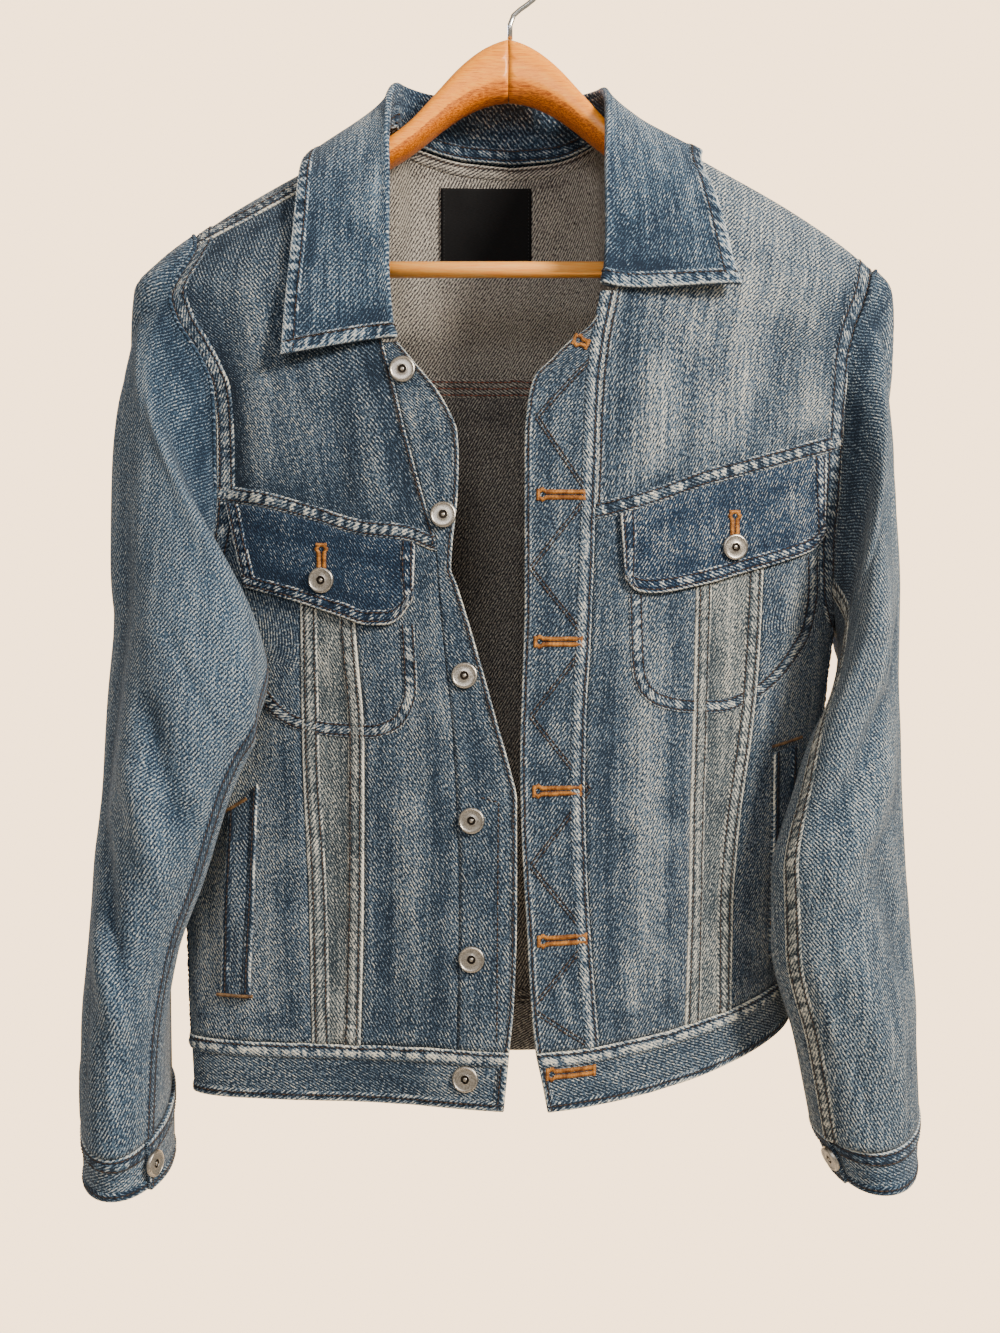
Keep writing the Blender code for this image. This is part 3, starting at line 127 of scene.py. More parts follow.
# how much of a fold's height is left at its two ends
FOLD_END = 0.25

# the hem starts to ride up at this height, over this length
LIFT_FROM = -450
LIFT_OVER = 340.0

SLEEVE_LENGTH = 620.0
MM_PER_DEGREE = 1.15
SLOPE_STEP = 0.01
START_CLEARANCE = 2.4
RIDGE_CLEARANCE = 1.6
TOP_EASE = 0.8
UNDERARM_EASE = 0.5
CLEARING_STEPS = 4
CLEAR_BELOW = 0.05
CUFF_STEP = 2.1
CUFF_BUTTON_AT = 0.015
CUFF_BUTTON_STEP = 0.02
LABEL_WALL = 1.0
LABEL_GAP = 0.8


class Table:
    """Rows of sizes under named columns, read smoothly between the rows of the first column."""

    def __init__(self, columns, *rows):
        self.columns = columns.split()
        data = np.array(sorted(rows), float)
        self.at = data[:, 0]
        self.data = data

    def __call__(self, name, place):
        return smooth(self.at, self.data[:, self.columns.index(name)], place)


def smooth(at, values, place):
    """Piecewise cubic that never overshoots its rows."""
    at = np.asarray(at, float)
    values = np.asarray(values, float)
    place = np.clip(np.asarray(place, float), at[0], at[-1])
    step = np.diff(at)
    slope = np.diff(values) / step
    tangent = np.zeros_like(values)
    tangent[0] = slope[0]
    tangent[-1] = slope[-1]
    for k in range(1, len(at) - 1):
        if slope[k - 1] * slope[k] > 0:
            before = 2 * step[k] + step[k - 1]
            after = step[k] + 2 * step[k - 1]
            tangent[k] = (before + after) / (before / slope[k - 1] + after / slope[k])
    k = np.clip(np.searchsorted(at, place, side="right") - 1, 0, len(step) - 1)
    t = (place - at[k]) / step[k]
    return ((2 * t ** 3 - 3 * t ** 2 + 1) * values[k]
            + (t ** 3 - 2 * t ** 2 + t) * step[k] * tangent[k]
            + (3 * t ** 2 - 2 * t ** 3) * values[k + 1]
            + (t ** 3 - t ** 2) * step[k] * tangent[k + 1])


def ease(t):
    t = np.clip(t, 0.0, 1.0)
    return t * t * (3 - 2 * t)


def unit(vectors):
    return vectors / np.maximum(np.linalg.norm(vectors, axis=-1, keepdims=True), 1e-9)


# The body of the jacket: a rounded section for each level, with the shoulder line as its
# half width above the armholes. round 2 is an ellipse and 3 is squarer.
SHOULDERS = (
    (-84, 0, 0, -4, 10, 2.5),
    (-104, 40, -2, -16, 22, 2.5),
    (-128, 83, -6, -27, 30, 2.5),
    (-162, 140, -13, -41, 37, 2.5),
    (-200, 199, -22, -51, 43, 2.5),
    (-230, 236, -28, -56, 47, 2.4),
    (-249, 251, -30, -59, 49, 2.3))
BODY = {
    LEFT: Table("z half side front back round", *SHOULDERS,
        (-300, 255, -22, -62, 50, 2.1),
        (-360, 249, -10, -65, 53, 2.0),
        (-420, 238, 0, -66, 54, 2.0),
        (-475, 228, 10, -67, 55, 2.0),
        (-550, 227, 8, -68, 55, 2.0),
        (-650, 224, -8, -68, 56, 2.2),
        (-745, 217, -28, -66, 58, 2.8),
        (-795, 213, -34, -66, 60, 3.0)),
    RIGHT: Table("z half side front back round", *SHOULDERS,
        (-300, 254, -20, -62, 50, 2.1),
        (-360, 246, -12, -66, 53, 2.0),
        (-420, 234, -2, -68, 54, 2.0),
        (-475, 224, 5, -69, 55, 2.0),
        (-550, 216, 8, -71, 55, 2.0),
        (-650, 206, 15, -75, 56, 2.0),
        (-745, 198, 24, -80, 58, 2.0),
        (-800, 195, 28, -82, 60, 2.0))}
# The opening edges swing forward towards the hem, and the right side seam rides up.
FLARE = {LEFT: Table("z out", (-500, 0), (-650, -8), (-800, -24)),
         RIGHT: Table("z out", (-500, 0), (-650, -3), (-800, -12))}
FLARE_REACH = 60.0
SIDE_LIFT = {LEFT: 0.0, RIGHT: 37.0}


def level_row(z):
    """A seam that runs level at height z."""
    return Table("x z", (-300, z), (300, z))


# Seams of the fronts, as the distance from the middle at each height.
PLACKET_TOP = {LEFT: -290, RIGHT: -256}
PLACKET_SEAM = {
    LEFT: Table("z x", (-290, 86), (-315, 79), (-348, 71), (-399, 57), (-421, 51), (-460, 48),
        (-502, 44), (-539, 40), (-588, 37), (-640, 35), (-750, 36), (-790, 39)),
    RIGHT: Table("z x", (-256, 67), (-290, 60), (-329, 56), (-381, 54), (-434, 52), (-486, 50),
        (-535, 47), (-590, 46), (-635, 47), (-674, 49), (-719, 52), (-790, 58))}
OPENING = {
    LEFT: Table("z x", (-290, 76), (-302, 66), (-322, 50), (-336, 42), (-349, 37), (-369, 36),
        (-395, 37), (-422, 40), (-439, 41), (-450, 37), (-503, 21), (-539, 11), (-571, 2), (-590, -2),
        (-655, -2), (-720, 0), (-750, 3), (-790, 7)),
    RIGHT: Table("z x", (-256, 58), (-266, 57), (-279, 50), (-289, 37), (-302, 24), (-312, 14),
        (-325, 10), (-355, 7), (-403, 7), (-459, 7), (-525, 5), (-563, 4), (-612, 5), (-667, 8),
        (-722, 11), (-750, 14), (-769, 18), (-790, 22))}
NECK_EDGE = {
    LEFT: Table("z x", (-129, 86), (-145, 91), (-165, 95), (-200, 97), (-245, 96), (-290, 86)),
    RIGHT: Table("z x", (-121, 72), (-134, 75), (-160, 77), (-200, 76), (-245, 70), (-256, 67))}
STRIP_OUTER = {
    LEFT: Table("z x", (-400, 142), (-556, 140), (-650, 135), (-750, 132)),
    RIGHT: Table("z x", (-370, 168), (-475, 165), (-522, 162), (-559, 158), (-611, 151), (-672, 146),
        (-760, 144))}
STRIP_INNER = {
    LEFT: Table("z x", (-400, 107), (-477, 104), (-555, 98), (-649, 98), (-750, 100)),
    RIGHT: Table("z x", (-370, 121), (-451, 120), (-538, 118), (-602, 116), (-659, 115), (-750, 112))}
ARMHOLE_TOP = {LEFT: -211.5, RIGHT: -236}
ARMHOLE_FRONT = {
    LEFT: Table("z x", (-211, 214), (-222, 213), (-232, 217), (-243, 223), (-258, 229), (-272, 225),
        (-288, 215), (-302, 207), (-317, 201), (-346, 199), (-380, 199), (-409, 201), (-440, 209),
        (-462, 219), (-475, 228)),
    RIGHT: Table("z x", (-236, 242), (-259, 236), (-279, 229), (-302, 224), (-348, 222), (-383, 221),
        (-420, 219), (-450, 220), (-475, 224))}
ARMHOLE_BACK = {
    LEFT: Table("z x", (-211, 214), (-225, 214), (-240, 217), (-262, 219), (-288, 216), (-317, 211),
        (-346, 209), (-380, 209), (-409, 210), (-440, 214), (-462, 221), (-475, 228)),
    RIGHT: Table("z x", (-236, 242), (-259, 233), (-279, 225), (-302, 219), (-348, 214), (-383, 212),
        (-420, 213), (-450, 217), (-475, 224))}

# Seams that run across, as the height at each distance from the middle.
YOKE_SEAM = {
    LEFT: Table("x z", (30, -431), (53, -427), (68, -421), (100, -417), (132, -407), (172, -396),
        (205, -391)),
    RIGHT: Table("x z", (0, -420), (31, -412), (66, -404), (97, -395), (127, -384), (166, -373),
        (206, -361), (225, -355))}
# The shoulder seam, as the distance over the shoulder line: negative in front, positive behind.
# The two panels part a little more under the collar, where the seam bends over the shoulder.
SHOULDER_SEAM = {
    LEFT: Table("x back front", (86, -3, -4.6), (110, -15, -16.4), (130, -19, -20), (147, -20, -20.4),
        (169, -19.5, -19.5), (190, -18, -18), (216, -15, -15)),
    RIGHT: Table("x back front", (72, 5, 5), (110, 9, 9), (170, 10, 10), (242, 10, 10))}
RIDGE = Table("x z", *((row[1], row[0]) for row in SHOULDERS), (257, -300))
NECK_POINT = {LEFT: 86.0, RIGHT: 72.0}
BACK_NECK = {
    LEFT: Table("x z", (0, -143), (35, -140), (64, -134), (86, -129)),
    RIGHT: Table("x z", (0, -143), (30, -140), (54, -132), (72, -121))}
BACK_SEAM = Table("z x", (-300, 124), (-450, 110), (-600, 97), (-760, 92))
# the neck edge of the back yoke bends into the shoulder seam over this length, and its low
# edge is spread between these places on each side of the middle
NECK_BEND = 14.0
YOKE_LOW_SPREAD = {LEFT: -88.0, RIGHT: 80.0}

# The collar: neck seam, top of the roll and edge of the leaf, from the middle of the back
# (along 0) over the shoulder to the front end (along 1).
COLLAR = {
    LEFT: Table("along neck_x neck_z roll_x roll_y roll_z leaf_x leaf_y leaf_z",
        (0.00, 0, -142, 0, 27, -97, 0, 52, -160),
        (0.12, 32, -140, 30, 26, -97, 44, 50, -158),
        (0.22, 62, -134, 58, 20, -96, 90, 40, -152),
        (0.32, 85, -128, 79, 2, -95, 131, 6, -146),
        (0.40, 91, -143, 84, -18, -112, 142, -30, -160),
        (0.50, 95, -165, 84, -38, -145, 144, -48, -185),
        (0.62, 97, -195, 83, -50, -187, 146, -55, -215),
        (0.75, 97, -232, 83, -57, -232, 149, -60, -250),
        (0.88, 93, -262, 81, -61, -265, 151, -65, -280),
        (1.00, 87, -288, 78, -64, -288, 152, -68, -300)),
    RIGHT: Table("along neck_x neck_z roll_x roll_y roll_z leaf_x leaf_y leaf_z",
        (0.00, 0, -142, 0, 27, -97, 0, 52, -160),
        (0.12, 28, -140, 26, 26, -97, 40, 50, -156),
        (0.22, 52, -133, 46, 20, -97, 74, 42, -148),
        (0.32, 72, -121, 61, 2, -99, 104, 10, -138),
        (0.40, 75, -135, 63, -18, -112, 121, -26, -158),
        (0.50, 77, -160, 62, -40, -142, 130, -45, -178),
        (0.62, 77, -185, 61, -51, -178, 136, -54, -198),
        (0.75, 75, -212, 61, -57, -210, 141, -59, -220),
        (0.88, 71, -238, 60, -61, -236, 145, -63, -240),
        (1.00, 68, -254, 58, -63, -252, 149, -66, -253))}
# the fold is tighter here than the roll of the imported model, whose radius is 4.2
FOLD_RADIUS = 1.35
# the leaf's bend below the roll, as shares of its width: straight down, then in, and out
LEAF_DROP = 0.25
LEAF_IN = 0.35
LEAF_OUT = 0.05
# the leaf stands off the shoulders above this height, over this length, from this share down
LEAF_OFF_FROM = -240
LEAF_OFF_OVER = 60.0
LEAF_FREE_SHARE = 0.12
COLLAR_STEP = 0.02

# The sleeves: each section goes through its outermost and innermost point; y is its middle,
# deep its half depth, skew how far its inner side comes forward, dip how far its front hangs,
# swing how far its front folds in over the body and back_x where the inner side of its back is.
SLEEVE_COLUMNS = "down outer_x outer_z inner_x inner_z y deep skew dip swing back_x"
BACK_BLEND = 0.35
BACK_ROUND = 0.62
SLEEVE = {
    LEFT: Table(SLEEVE_COLUMNS,
        (0.10, 257, -264, 210, -490, -4, 58, -0.30, 0, 30, 234),
        (0.18, 266, -320, 182, -506, -16, 63, 0.10, 0, 44, 239),
        (0.28, 270, -385, 170, -528, -26, 67, 0.35, 0, 30, 241),
        (0.38, 270, -450, 172, -556, -34, 70, 0.45, 0, 12, 241),
        (0.50, 274, -520, 184, -596, -37, 70, 0.45, 0, 2, 239),
        (0.62, 277, -595, 198, -640, -39, 68, 0.40, 0, 0, 236),
        (0.74, 281, -668, 218, -690, -42, 64, 0.30, 4, 0, 234),
        (0.86, 285, -735, 228, -742, -45, 58, 0.20, 10, 0, 233),
        (1.00, 284, -792, 232, -798, -46, 54, 0.10, 18, 0, 232)),
    RIGHT: Table(SLEEVE_COLUMNS,
        (0.10, 250, -272, 225, -498, -4, 58, -0.30, 0, 4, 231),
        (0.18, 256, -325, 221, -512, -9, 63, 0.10, 0, 8, 233),
        (0.28, 261, -385, 214, -530, -14, 67, 0.30, 0, 12, 234),
        (0.38, 265, -450, 200, -552, -18, 70, 0.45, 0, 14, 233),
        (0.50, 265, -520, 184, -590, -19, 70, 0.50, 0, 10, 231),
        (0.62, 268, -598, 168, -640, -20, 69, 0.48, 0, 6, 227),
        (0.74, 272, -668, 167, -686, -21, 66, 0.42, 4, 2, 222),
        (0.86, 275, -735, 183, -744, -22, 61, 0.32, 10, 0, 215),
        (1.00, 276, -798, 197, -802, -22, 56, 0.20, 16, 0, 208))}
CUFF = {
    LEFT: Table(SLEEVE_COLUMNS,
        (0.0, 284, -792.6, 232, -798.6, -46, 53, 0.10, 18, 0, 232),
        (1.0, 284, -835, 231, -836, -45, 46, 0.10, 8, 0, 231)),
    RIGHT: Table(SLEEVE_COLUMNS,
        (0.0, 276, -798.6, 200, -802.6, -22, 55, 0.20, 16, 0, 208),
        (1.0, 273, -836, 215, -837, -22, 50, 0.15, 10, 0, 218))}
SLEEVE_CLEARANCE = 7.0
# The two seams of a sleeve, in the turn round it: 0 is outermost and a quarter is the front.
INNER_SEAM = {LEFT: 0.86 * math.pi, RIGHT: 0.80 * math.pi}
OUTER_SEAM = 1.70 * math.pi
CUFF_OPENING = {LEFT: 0.93 * math.pi, RIGHT: 0.93 * math.pi}
CUFF_OVERLAP = 0.14 * math.pi

# The largest folds of the sleeves: from and to, as (down, turn in degrees), with width and
# height in millimetres; a negative height is a trough.
SLEEVE_FOLDS = {
    LEFT: ((0.10, 60, 0.22, 110, 16, 5), (0.16, 20, 0.40, 30, 14, 5), (0.30, 50, 0.62, 40, 15, -5),
        (0.26, 110, 0.40, 160, 16, 6), (0.44, 75, 0.56, 130, 15, -6), (0.52, 70, 0.66, 120, 16, 6),
        (0.62, 45, 0.76, 100, 14, -5), (0.72, 60, 0.84, 110, 14, 5), (0.45, 200, 0.60, 250, 16, 5),
        (0.60, 230, 0.72, 290, 15, -5), (0.30, 318, 0.46, 345, 15, 5)),
    RIGHT: ((0.08, 60, 0.20, 110, 15, 5), (0.20, 95, 0.44, 70, 15, 6), (0.24, 35, 0.50, 45, 15, -5),
        (0.46, 60, 0.58, 115, 15, -6), (0.54, 50, 0.68, 110, 16, 6), (0.66, 70, 0.80, 40, 14, -5),
        (0.74, 95, 0.90, 75, 14, 5), (0.46, 205, 0.60, 250, 16, 5), (0.58, 235, 0.72, 290, 15, -5),
        (0.28, 318, 0.44, 345, 15, 5))}
# Soft folds of the body, by side and face: from and to as (x, z), width and height.
BODY_FOLDS = {
    LEFT: ((196, -300, 186, -420, 12, -5), (175, -245, 168, -380, 13, 4),
        (120, -320, 110, -400, 14, -3), (196, -520, 188, -680, 13, 4), (118, -500, 116, -700, 15, -3)),
    RIGHT: ((215, -290, 205, -350, 12, 4), (180, -270, 168, -350, 13, -4), (100, -290, 84, -380, 14, 3),
        (185, -440, 176, -560, 13, 4), (132, -480, 128, -700, 14, -3), (84, -500, 82, -700, 14, 3))}

# Flaps, welts and label
FLAP_INNER = {
    LEFT: Table("z x", (-480, 66), (-415, 64)),
    RIGHT: Table("z x", (-460, 73), (-400, 69))}
FLAP_OUTER = {
    LEFT: Table("z x", (-460, 176), (-385, 195)),
    RIGHT: Table("z x", (-440, 209), (-355, 208))}
FLAP_LOW = {
    LEFT: Table("x z", (60, -450), (67, -462), (76, -473), (84, -476), (95, -476), (113, -470),
        (146, -459), (180, -449)),
    RIGHT: Table("x z", (66, -436), (73, -447), (80, -454), (90, -455), (120, -450), (151, -441),
        (184, -431), (200, -424), (210, -412))}
WELT_INNER = {
    LEFT: Table("z x", (-722, 173), (-580, 169)),
    RIGHT: Table("z x", (-727, 172), (-560, 173))}
WELT_OUTER = {
    LEFT: Table("z x", (-722, 193), (-580, 189)),
    RIGHT: Table("z x", (-727, 188), (-560, 191))}
WELT_TOP = {
    LEFT: Table("x z", (165, -578), (195, -604)),
    RIGHT: Table("x z", (165, -569), (195, -562))}
WELT_LOW = {LEFT: level_row(-722), RIGHT: level_row(-724)}
LABEL_BOX = (-52, 14, -157, -210)
TAB_BOX = (-25, -12, -211.2, -217)

# Buttons on the left opening edge, as (x, z) and how far the flat facets of the cloth lie in
# from its true curve there, and then on the flaps
FRONT_BUTTONS = ((73, -308, 0), (46, -404, 0), (32, -509, 0), (27, -603, 0), (27, -692, 0),
    (31, -768, 1.1))
FLAP_BUTTON = {LEFT: (126, -446), RIGHT: (145, -424)}

# The joint of the hanger's two arms: its place, its height and how thick the wood is there
JOINT_X, JOINT_Y = -3.0, 0.0
JOINT_TOP, JOINT_LOW = -65.0, -108.0
JOINT_THICK = 26.0


def body_point(side, turn, z):
    """A point of the body's cloth. turn 0 is the front middle, a quarter is the side seam
    or the shoulder line, and a half turn is the middle of the back."""
    rows = BODY[side]
    turn = np.asarray(turn, float)
    z = np.asarray(z, float)
    power = 2.0 / rows("round", z)
    sine = np.sin(turn)
    across = np.abs(sine) ** power * np.sign(sine)
    deep = np.abs(np.cos(turn)) ** power
    front = turn <= QUARTER
    x = rows("half", z) * across
    seam = rows("side", z)
    face = np.where(front, rows("front", z), rows("back", z))
    swing = np.where(front, FLARE[side]("out", z) * np.exp(-(x / FLARE_REACH) ** 2), 0)
    folds = creases(BODY_FOLDS[side], x, z) + creases(FRONT_CREASES[side], x, z)
    fold = (np.where(front, folds, creases(BACK_CREASES[side], x, z))
            + unevenness(side * x, z, front))
    y = seam + (face - seam) * deep + swing - fold * deep
    return np.stack([side * x, y, z + side_lift(side, x, z)], axis=-1)


def side_lift(side, x, z):
    """How far the hem side rides up towards the side seam."""
    share = np.clip(np.abs(x) / BODY[side]("half", z), 0, 1)
    return SIDE_LIFT[side] * share ** 2 * ease((LIFT_FROM - z) / LIFT_OVER)


def creases(rows, x, z):
    """The height of all the creases of a list, at a place on the body's front or back."""
    total = np.zeros(np.broadcast(x, z).shape)
    for x0, z0, x1, z1, width, height in rows:
        total = total + height * beside_line(x, z, x0, z0, x1, z1, width)
    return total


def beside_line(a, b, a0, b0, a1, b1, width):
    """1 on a line from (a0, b0) to (a1, b1), and less beside it and past its ends."""
    da, db = a1 - a0, b1 - b0
    t = np.clip(((a - a0) * da + (b - b0) * db) / (da * da + db * db), 0, 1)
    away = np.hypot(a - a0 - t * da, b - b0 - t * db)
    taper = 1 - (2 * t - 1) ** 4
    return np.exp(-(away / width) ** 2) * (FOLD_END + (1 - FOLD_END) * taper)


def turn_at(side, x, z, back=False):
    """The turn at which the body's section at height z is x wide."""
    rows = BODY[side]
    share = np.clip(np.abs(x) / np.maximum(rows("half", z), 1.0), 0.0, 1.0)
    turn = np.arcsin(share ** (rows("round", z) / 2.0)) * np.sign(x)
    return np.pi - turn if back else turn


def width_at(side, turn, z):
    rows = BODY[side]
    sine = np.sin(turn)
    return rows("half", z) * np.abs(sine) ** (2.0 / rows("round", z)) * np.sign(sine)


def upright(side, seam, top, low, back=False):
    """A seam given by its distance from the middle, from top to low, as (turn, z)."""
    def line(t):
        z = top + (low - top) * t
        return np.stack([turn_at(side, seam("x", z), z, back), z], axis=-1)
    return line


def across(side, seam, first, last):
    """A seam given by its height, between two (turn, z) ends, evenly in the turn."""
    def line(t):
        turn = first[0] + (last[0] - first[0]) * t
        z = first[1] + (last[1] - first[1]) * t
        for _ in range(ACROSS_STEPS):
            z = seam("z", width_at(side, turn, z))
        return np.stack([turn, z], axis=-1)
    return line


def meeting(seam, crossing):
    """The height at which an upright seam meets one that runs across."""
    z = -450.0
    for _ in range(MEETING_STEPS):
        z = float(crossing("z", seam("x", z)))
    return z


def smooth_steps(t, top, share):
    """Heights down a side edge, with the underarm at that share of its rows."""
    return np.interp(t, [0, share, 1], [top, UNDERARM, BAND_TOP])


def over_point(x, over):
    """A point near the shoulders: x is signed, and over is the place across the ridge."""
    span = np.abs(x)
    z = RIDGE("z", span) - over ** 2 / OVER_SCALE
    back = over > 0
    picked = []
    for side in (LEFT, RIGHT):
        turn = turn_at(side, span, z)
        picked.append(body_point(side, np.where(back, np.pi - turn, turn), z))
    return np.where((np.asarray(x) < 0)[..., None], picked[0], picked[1])


def over_at(x, z, sign):
    """The place over the ridge of a height on the front (sign -1) or the back (sign 1)."""
    return sign * np.sqrt(OVER_SCALE * np.maximum(RIDGE("z", x) - z, 0))


def armhole_over(side, start, stop):
    """The armhole seam in (x, over), from one place across the ridge to another."""
    def line(t):
        over = start + (stop - start) * t
        x = np.full_like(over, ARMHOLE_FRONT[side]("x", ARMHOLE_TOP[side]))
        for _ in range(SEAM_STEPS):
            z = RIDGE("z", x) - over ** 2 / OVER_SCALE
            x = np.where(over < 0, ARMHOLE_FRONT[side]("x", z), ARMHOLE_BACK[side]("x", z))
        return np.stack([side * x, over], axis=-1)
    return line


def seam_over(side, panel, start, stop):
    """The shoulder seam of one panel in (x, over), from the neck outwards or the other way."""
    def line(t):
        x = start + (stop - start) * t
        return np.stack([side * x, SHOULDER_SEAM[side](panel, x)], axis=-1)
    return line


def shoulder_end(side):
    """The x at which the shoulder seam meets the armhole."""
    x = float(ARMHOLE_FRONT[side]("x", ARMHOLE_TOP[side]))
    for _ in range(SEAM_STEPS):
        over = float(SHOULDER_SEAM[side]("back", x))
        arm = ARMHOLE_FRONT[side] if over < 0 else ARMHOLE_BACK[side]
        x = float(arm("x", RIDGE("z", x) - over ** 2 / OVER_SCALE))
    return x


def end(line, t):
    return line(np.array([float(t)]))[0]


def patch(point, top, low, inner, outer):
    """A panel between four seams: u runs outwards and v runs down."""
    a, b, c, d = end(top, 0), end(top, 1), end(low, 0), end(low, 1)

    def surface(u, v):
        uu, vv = u[..., None], v[..., None]
        where = ((1 - vv) * top(u) + vv * low(u) + (1 - uu) * inner(v) + uu * outer(v)
                 - (1 - uu) * (1 - vv) * a - uu * (1 - vv) * b - (1 - uu) * vv * c - uu * vv * d)
        return point(where[..., 0], where[..., 1])
    return surface


def on_side(side):
    return lambda turn, z: body_point(side, turn, z)


def around(w, z):
    """A point of the whole body: w is 0 at the middle of the back, negative on the left."""
    turn = np.pi - np.abs(w)
    left = body_point(LEFT, turn, z)
    right = body_point(RIGHT, turn, z)
    return np.where((np.asarray(w) < 0)[..., None], left, right)


def outward(surface, u, v):
    """Unit normals of a surface, away from the middle of the body."""
    step = 1e-3
    u0, u1 = np.clip(u - step, 0, 1), np.clip(u + step, 0, 1)
    v0, v1 = np.clip(v - step, 0, 1), np.clip(v + step, 0, 1)
    normal = unit(np.cross(surface(u1, v) - surface(u0, v), surface(u, v1) - surface(u, v0)))
    middle = surface(u, v)
    middle[..., 2] = 0
    facing = np.sign((normal * middle).sum(axis=-1, keepdims=True))
    return normal * np.where(facing == 0, 1, facing)


def clear_of_body(points, clearance):
    """Moves points straight out of the body's cloth until they are clear of it."""
    z = points[..., 2]
    moved = points.copy()
    for side in (LEFT, RIGHT):
        rows = BODY[side]
        height = z - side_lift(side, points[..., 0], z)
        seam, power = rows("side", height), rows("round", height)
        half = rows("half", height) + clearance
        here = np.sign(points[..., 0]) == side
        for _ in range(CLEARING_STEPS):
            x, y = np.abs(moved[..., 0]), moved[..., 1]
            face = np.where(y < seam, rows("front", height), rows("back", height))
            deep = np.abs(face - seam) + clearance
            a, b = x / half, np.abs(y - seam) / deep
            size = np.maximum((a ** power + b ** power) ** (1 / power), 0.2)
            along_x = (a / size) ** (power - 1) / half
            along_y = (b / size) ** (power - 1) / deep * np.sign(y - seam)
            step = np.where(here, np.maximum(1 - size, 0), 0) / (along_x ** 2 + along_y ** 2)
            moved[..., 0] += side * step * along_x
            moved[..., 1] += step * along_y
    return moved


def front_seams(side):
    """The corner heights and edge lines that the panels of one front share."""
    yoke, band = YOKE_SEAM[side], level_row(BAND_TOP)
    placket, arm = PLACKET_SEAM[side], ARMHOLE_FRONT[side]
    inner_v, outer_v = STRIP_INNER[side], STRIP_OUTER[side]
    top = PLACKET_TOP[side]
    z = {"placket": meeting(placket, yoke), "inner": meeting(inner_v, yoke),
         "outer": meeting(outer_v, yoke), "arm": meeting(arm, yoke)}

    def neck_and_placket(t):
        """From the shoulder seam down the neck edge and the placket seam, in (x, over)."""
        start = float(SHOULDER_SEAM[side]("front", NECK_POINT[side]))
        stop = float(over_at(placket("x", z["placket"]), z["placket"], -1))
        over = start + (stop - start) * t
        x = np.full_like(over, NECK_POINT[side])
        for _ in range(SEAM_STEPS):
            height = RIDGE("z", x) - over ** 2 / OVER_SCALE
            x = np.where(height > top, NECK_EDGE[side]("x", height), placket("x", height))
        return np.stack([side * x, over], axis=-1)

    def yoke_low(t):
        x = placket("x", z["placket"]) + (arm("x", z["arm"]) - placket("x", z["placket"])) * t
        return np.stack([side * x, over_at(x, yoke("z", x), -1)], axis=-1)

    def armhole_and_side(t):
        height = smooth_steps(t, z["arm"], FRONT_ROWS_ABOVE / FRONT_ROWS)
        turn = np.where(height > UNDERARM, turn_at(side, arm("x", height), height), QUARTER)
        return np.stack([turn, height], axis=-1)

    lines = {
        "neck": neck_and_placket,
        "armhole": armhole_over(side, float(SHOULDER_SEAM[side]("back", shoulder_end(side))),
                                float(over_at(arm("x", z["arm"]), z["arm"], -1))),
        "shoulder": seam_over(side, "front", NECK_POINT[side], shoulder_end(side)),
        "yoke": yoke_low,
        "placket": upright(side, placket, z["placket"], BAND_TOP),
        "inner_v": upright(side, inner_v, z["inner"], BAND_TOP),
        "outer_v": upright(side, outer_v, z["outer"], BAND_TOP),
        "side": armhole_and_side,
        "opening": upright(side, OPENING[side], top, BAND_TOP),
        "placket_all": upright(side, placket, top, BAND_TOP),
    }

    for name, seam, first, last, at in (
            ("inner_top", yoke, "placket", "inner_v", 0), ("strip_top", yoke, "inner_v", "outer_v", 0),
            ("side_top", yoke, "outer_v", "side", 0), ("inner_low", band, "placket", "inner_v", 1),
            ("strip_low", band, "inner_v", "outer_v", 1), ("side_low", band, "outer_v", "side", 1),
            ("placket_top", level_row(top), "opening", "placket_all", 0),
            ("placket_low", band, "opening", "placket_all", 1)):
        lines[name] = across(side, seam, end(lines[first], at), end(lines[last], at))
    return lines


def front_surfaces(side):
    s = front_seams(side)
    point = on_side(side)
    return {
        "yoke": patch(over_point, s["shoulder"], s["yoke"], s["neck"], s["armhole"]),
        "inner": patch(point, s["inner_top"], s["inner_low"], s["placket"], s["inner_v"]),
        "strip": patch(point, s["strip_top"], s["strip_low"], s["inner_v"], s["outer_v"]),
        "side": patch(point, s["side_top"], s["side_low"], s["outer_v"], s["side"]),
        "placket": patch(point, s["placket_top"], s["placket_low"], s["opening"],
                         s["placket_all"]),
    }


def stretches(t, *parts):
    """Joins lines end to end: each part is (start, stop, line)."""
    joined = np.zeros(t.shape + (2,))
    for start, stop, line in parts:
        inside = (t >= start - 1e-9) & (t <= stop + 1e-9)
        local = np.clip((t - start) / (stop - start), 0, 1)
        joined = np.where(inside[..., None], line(local), joined)
    return joined


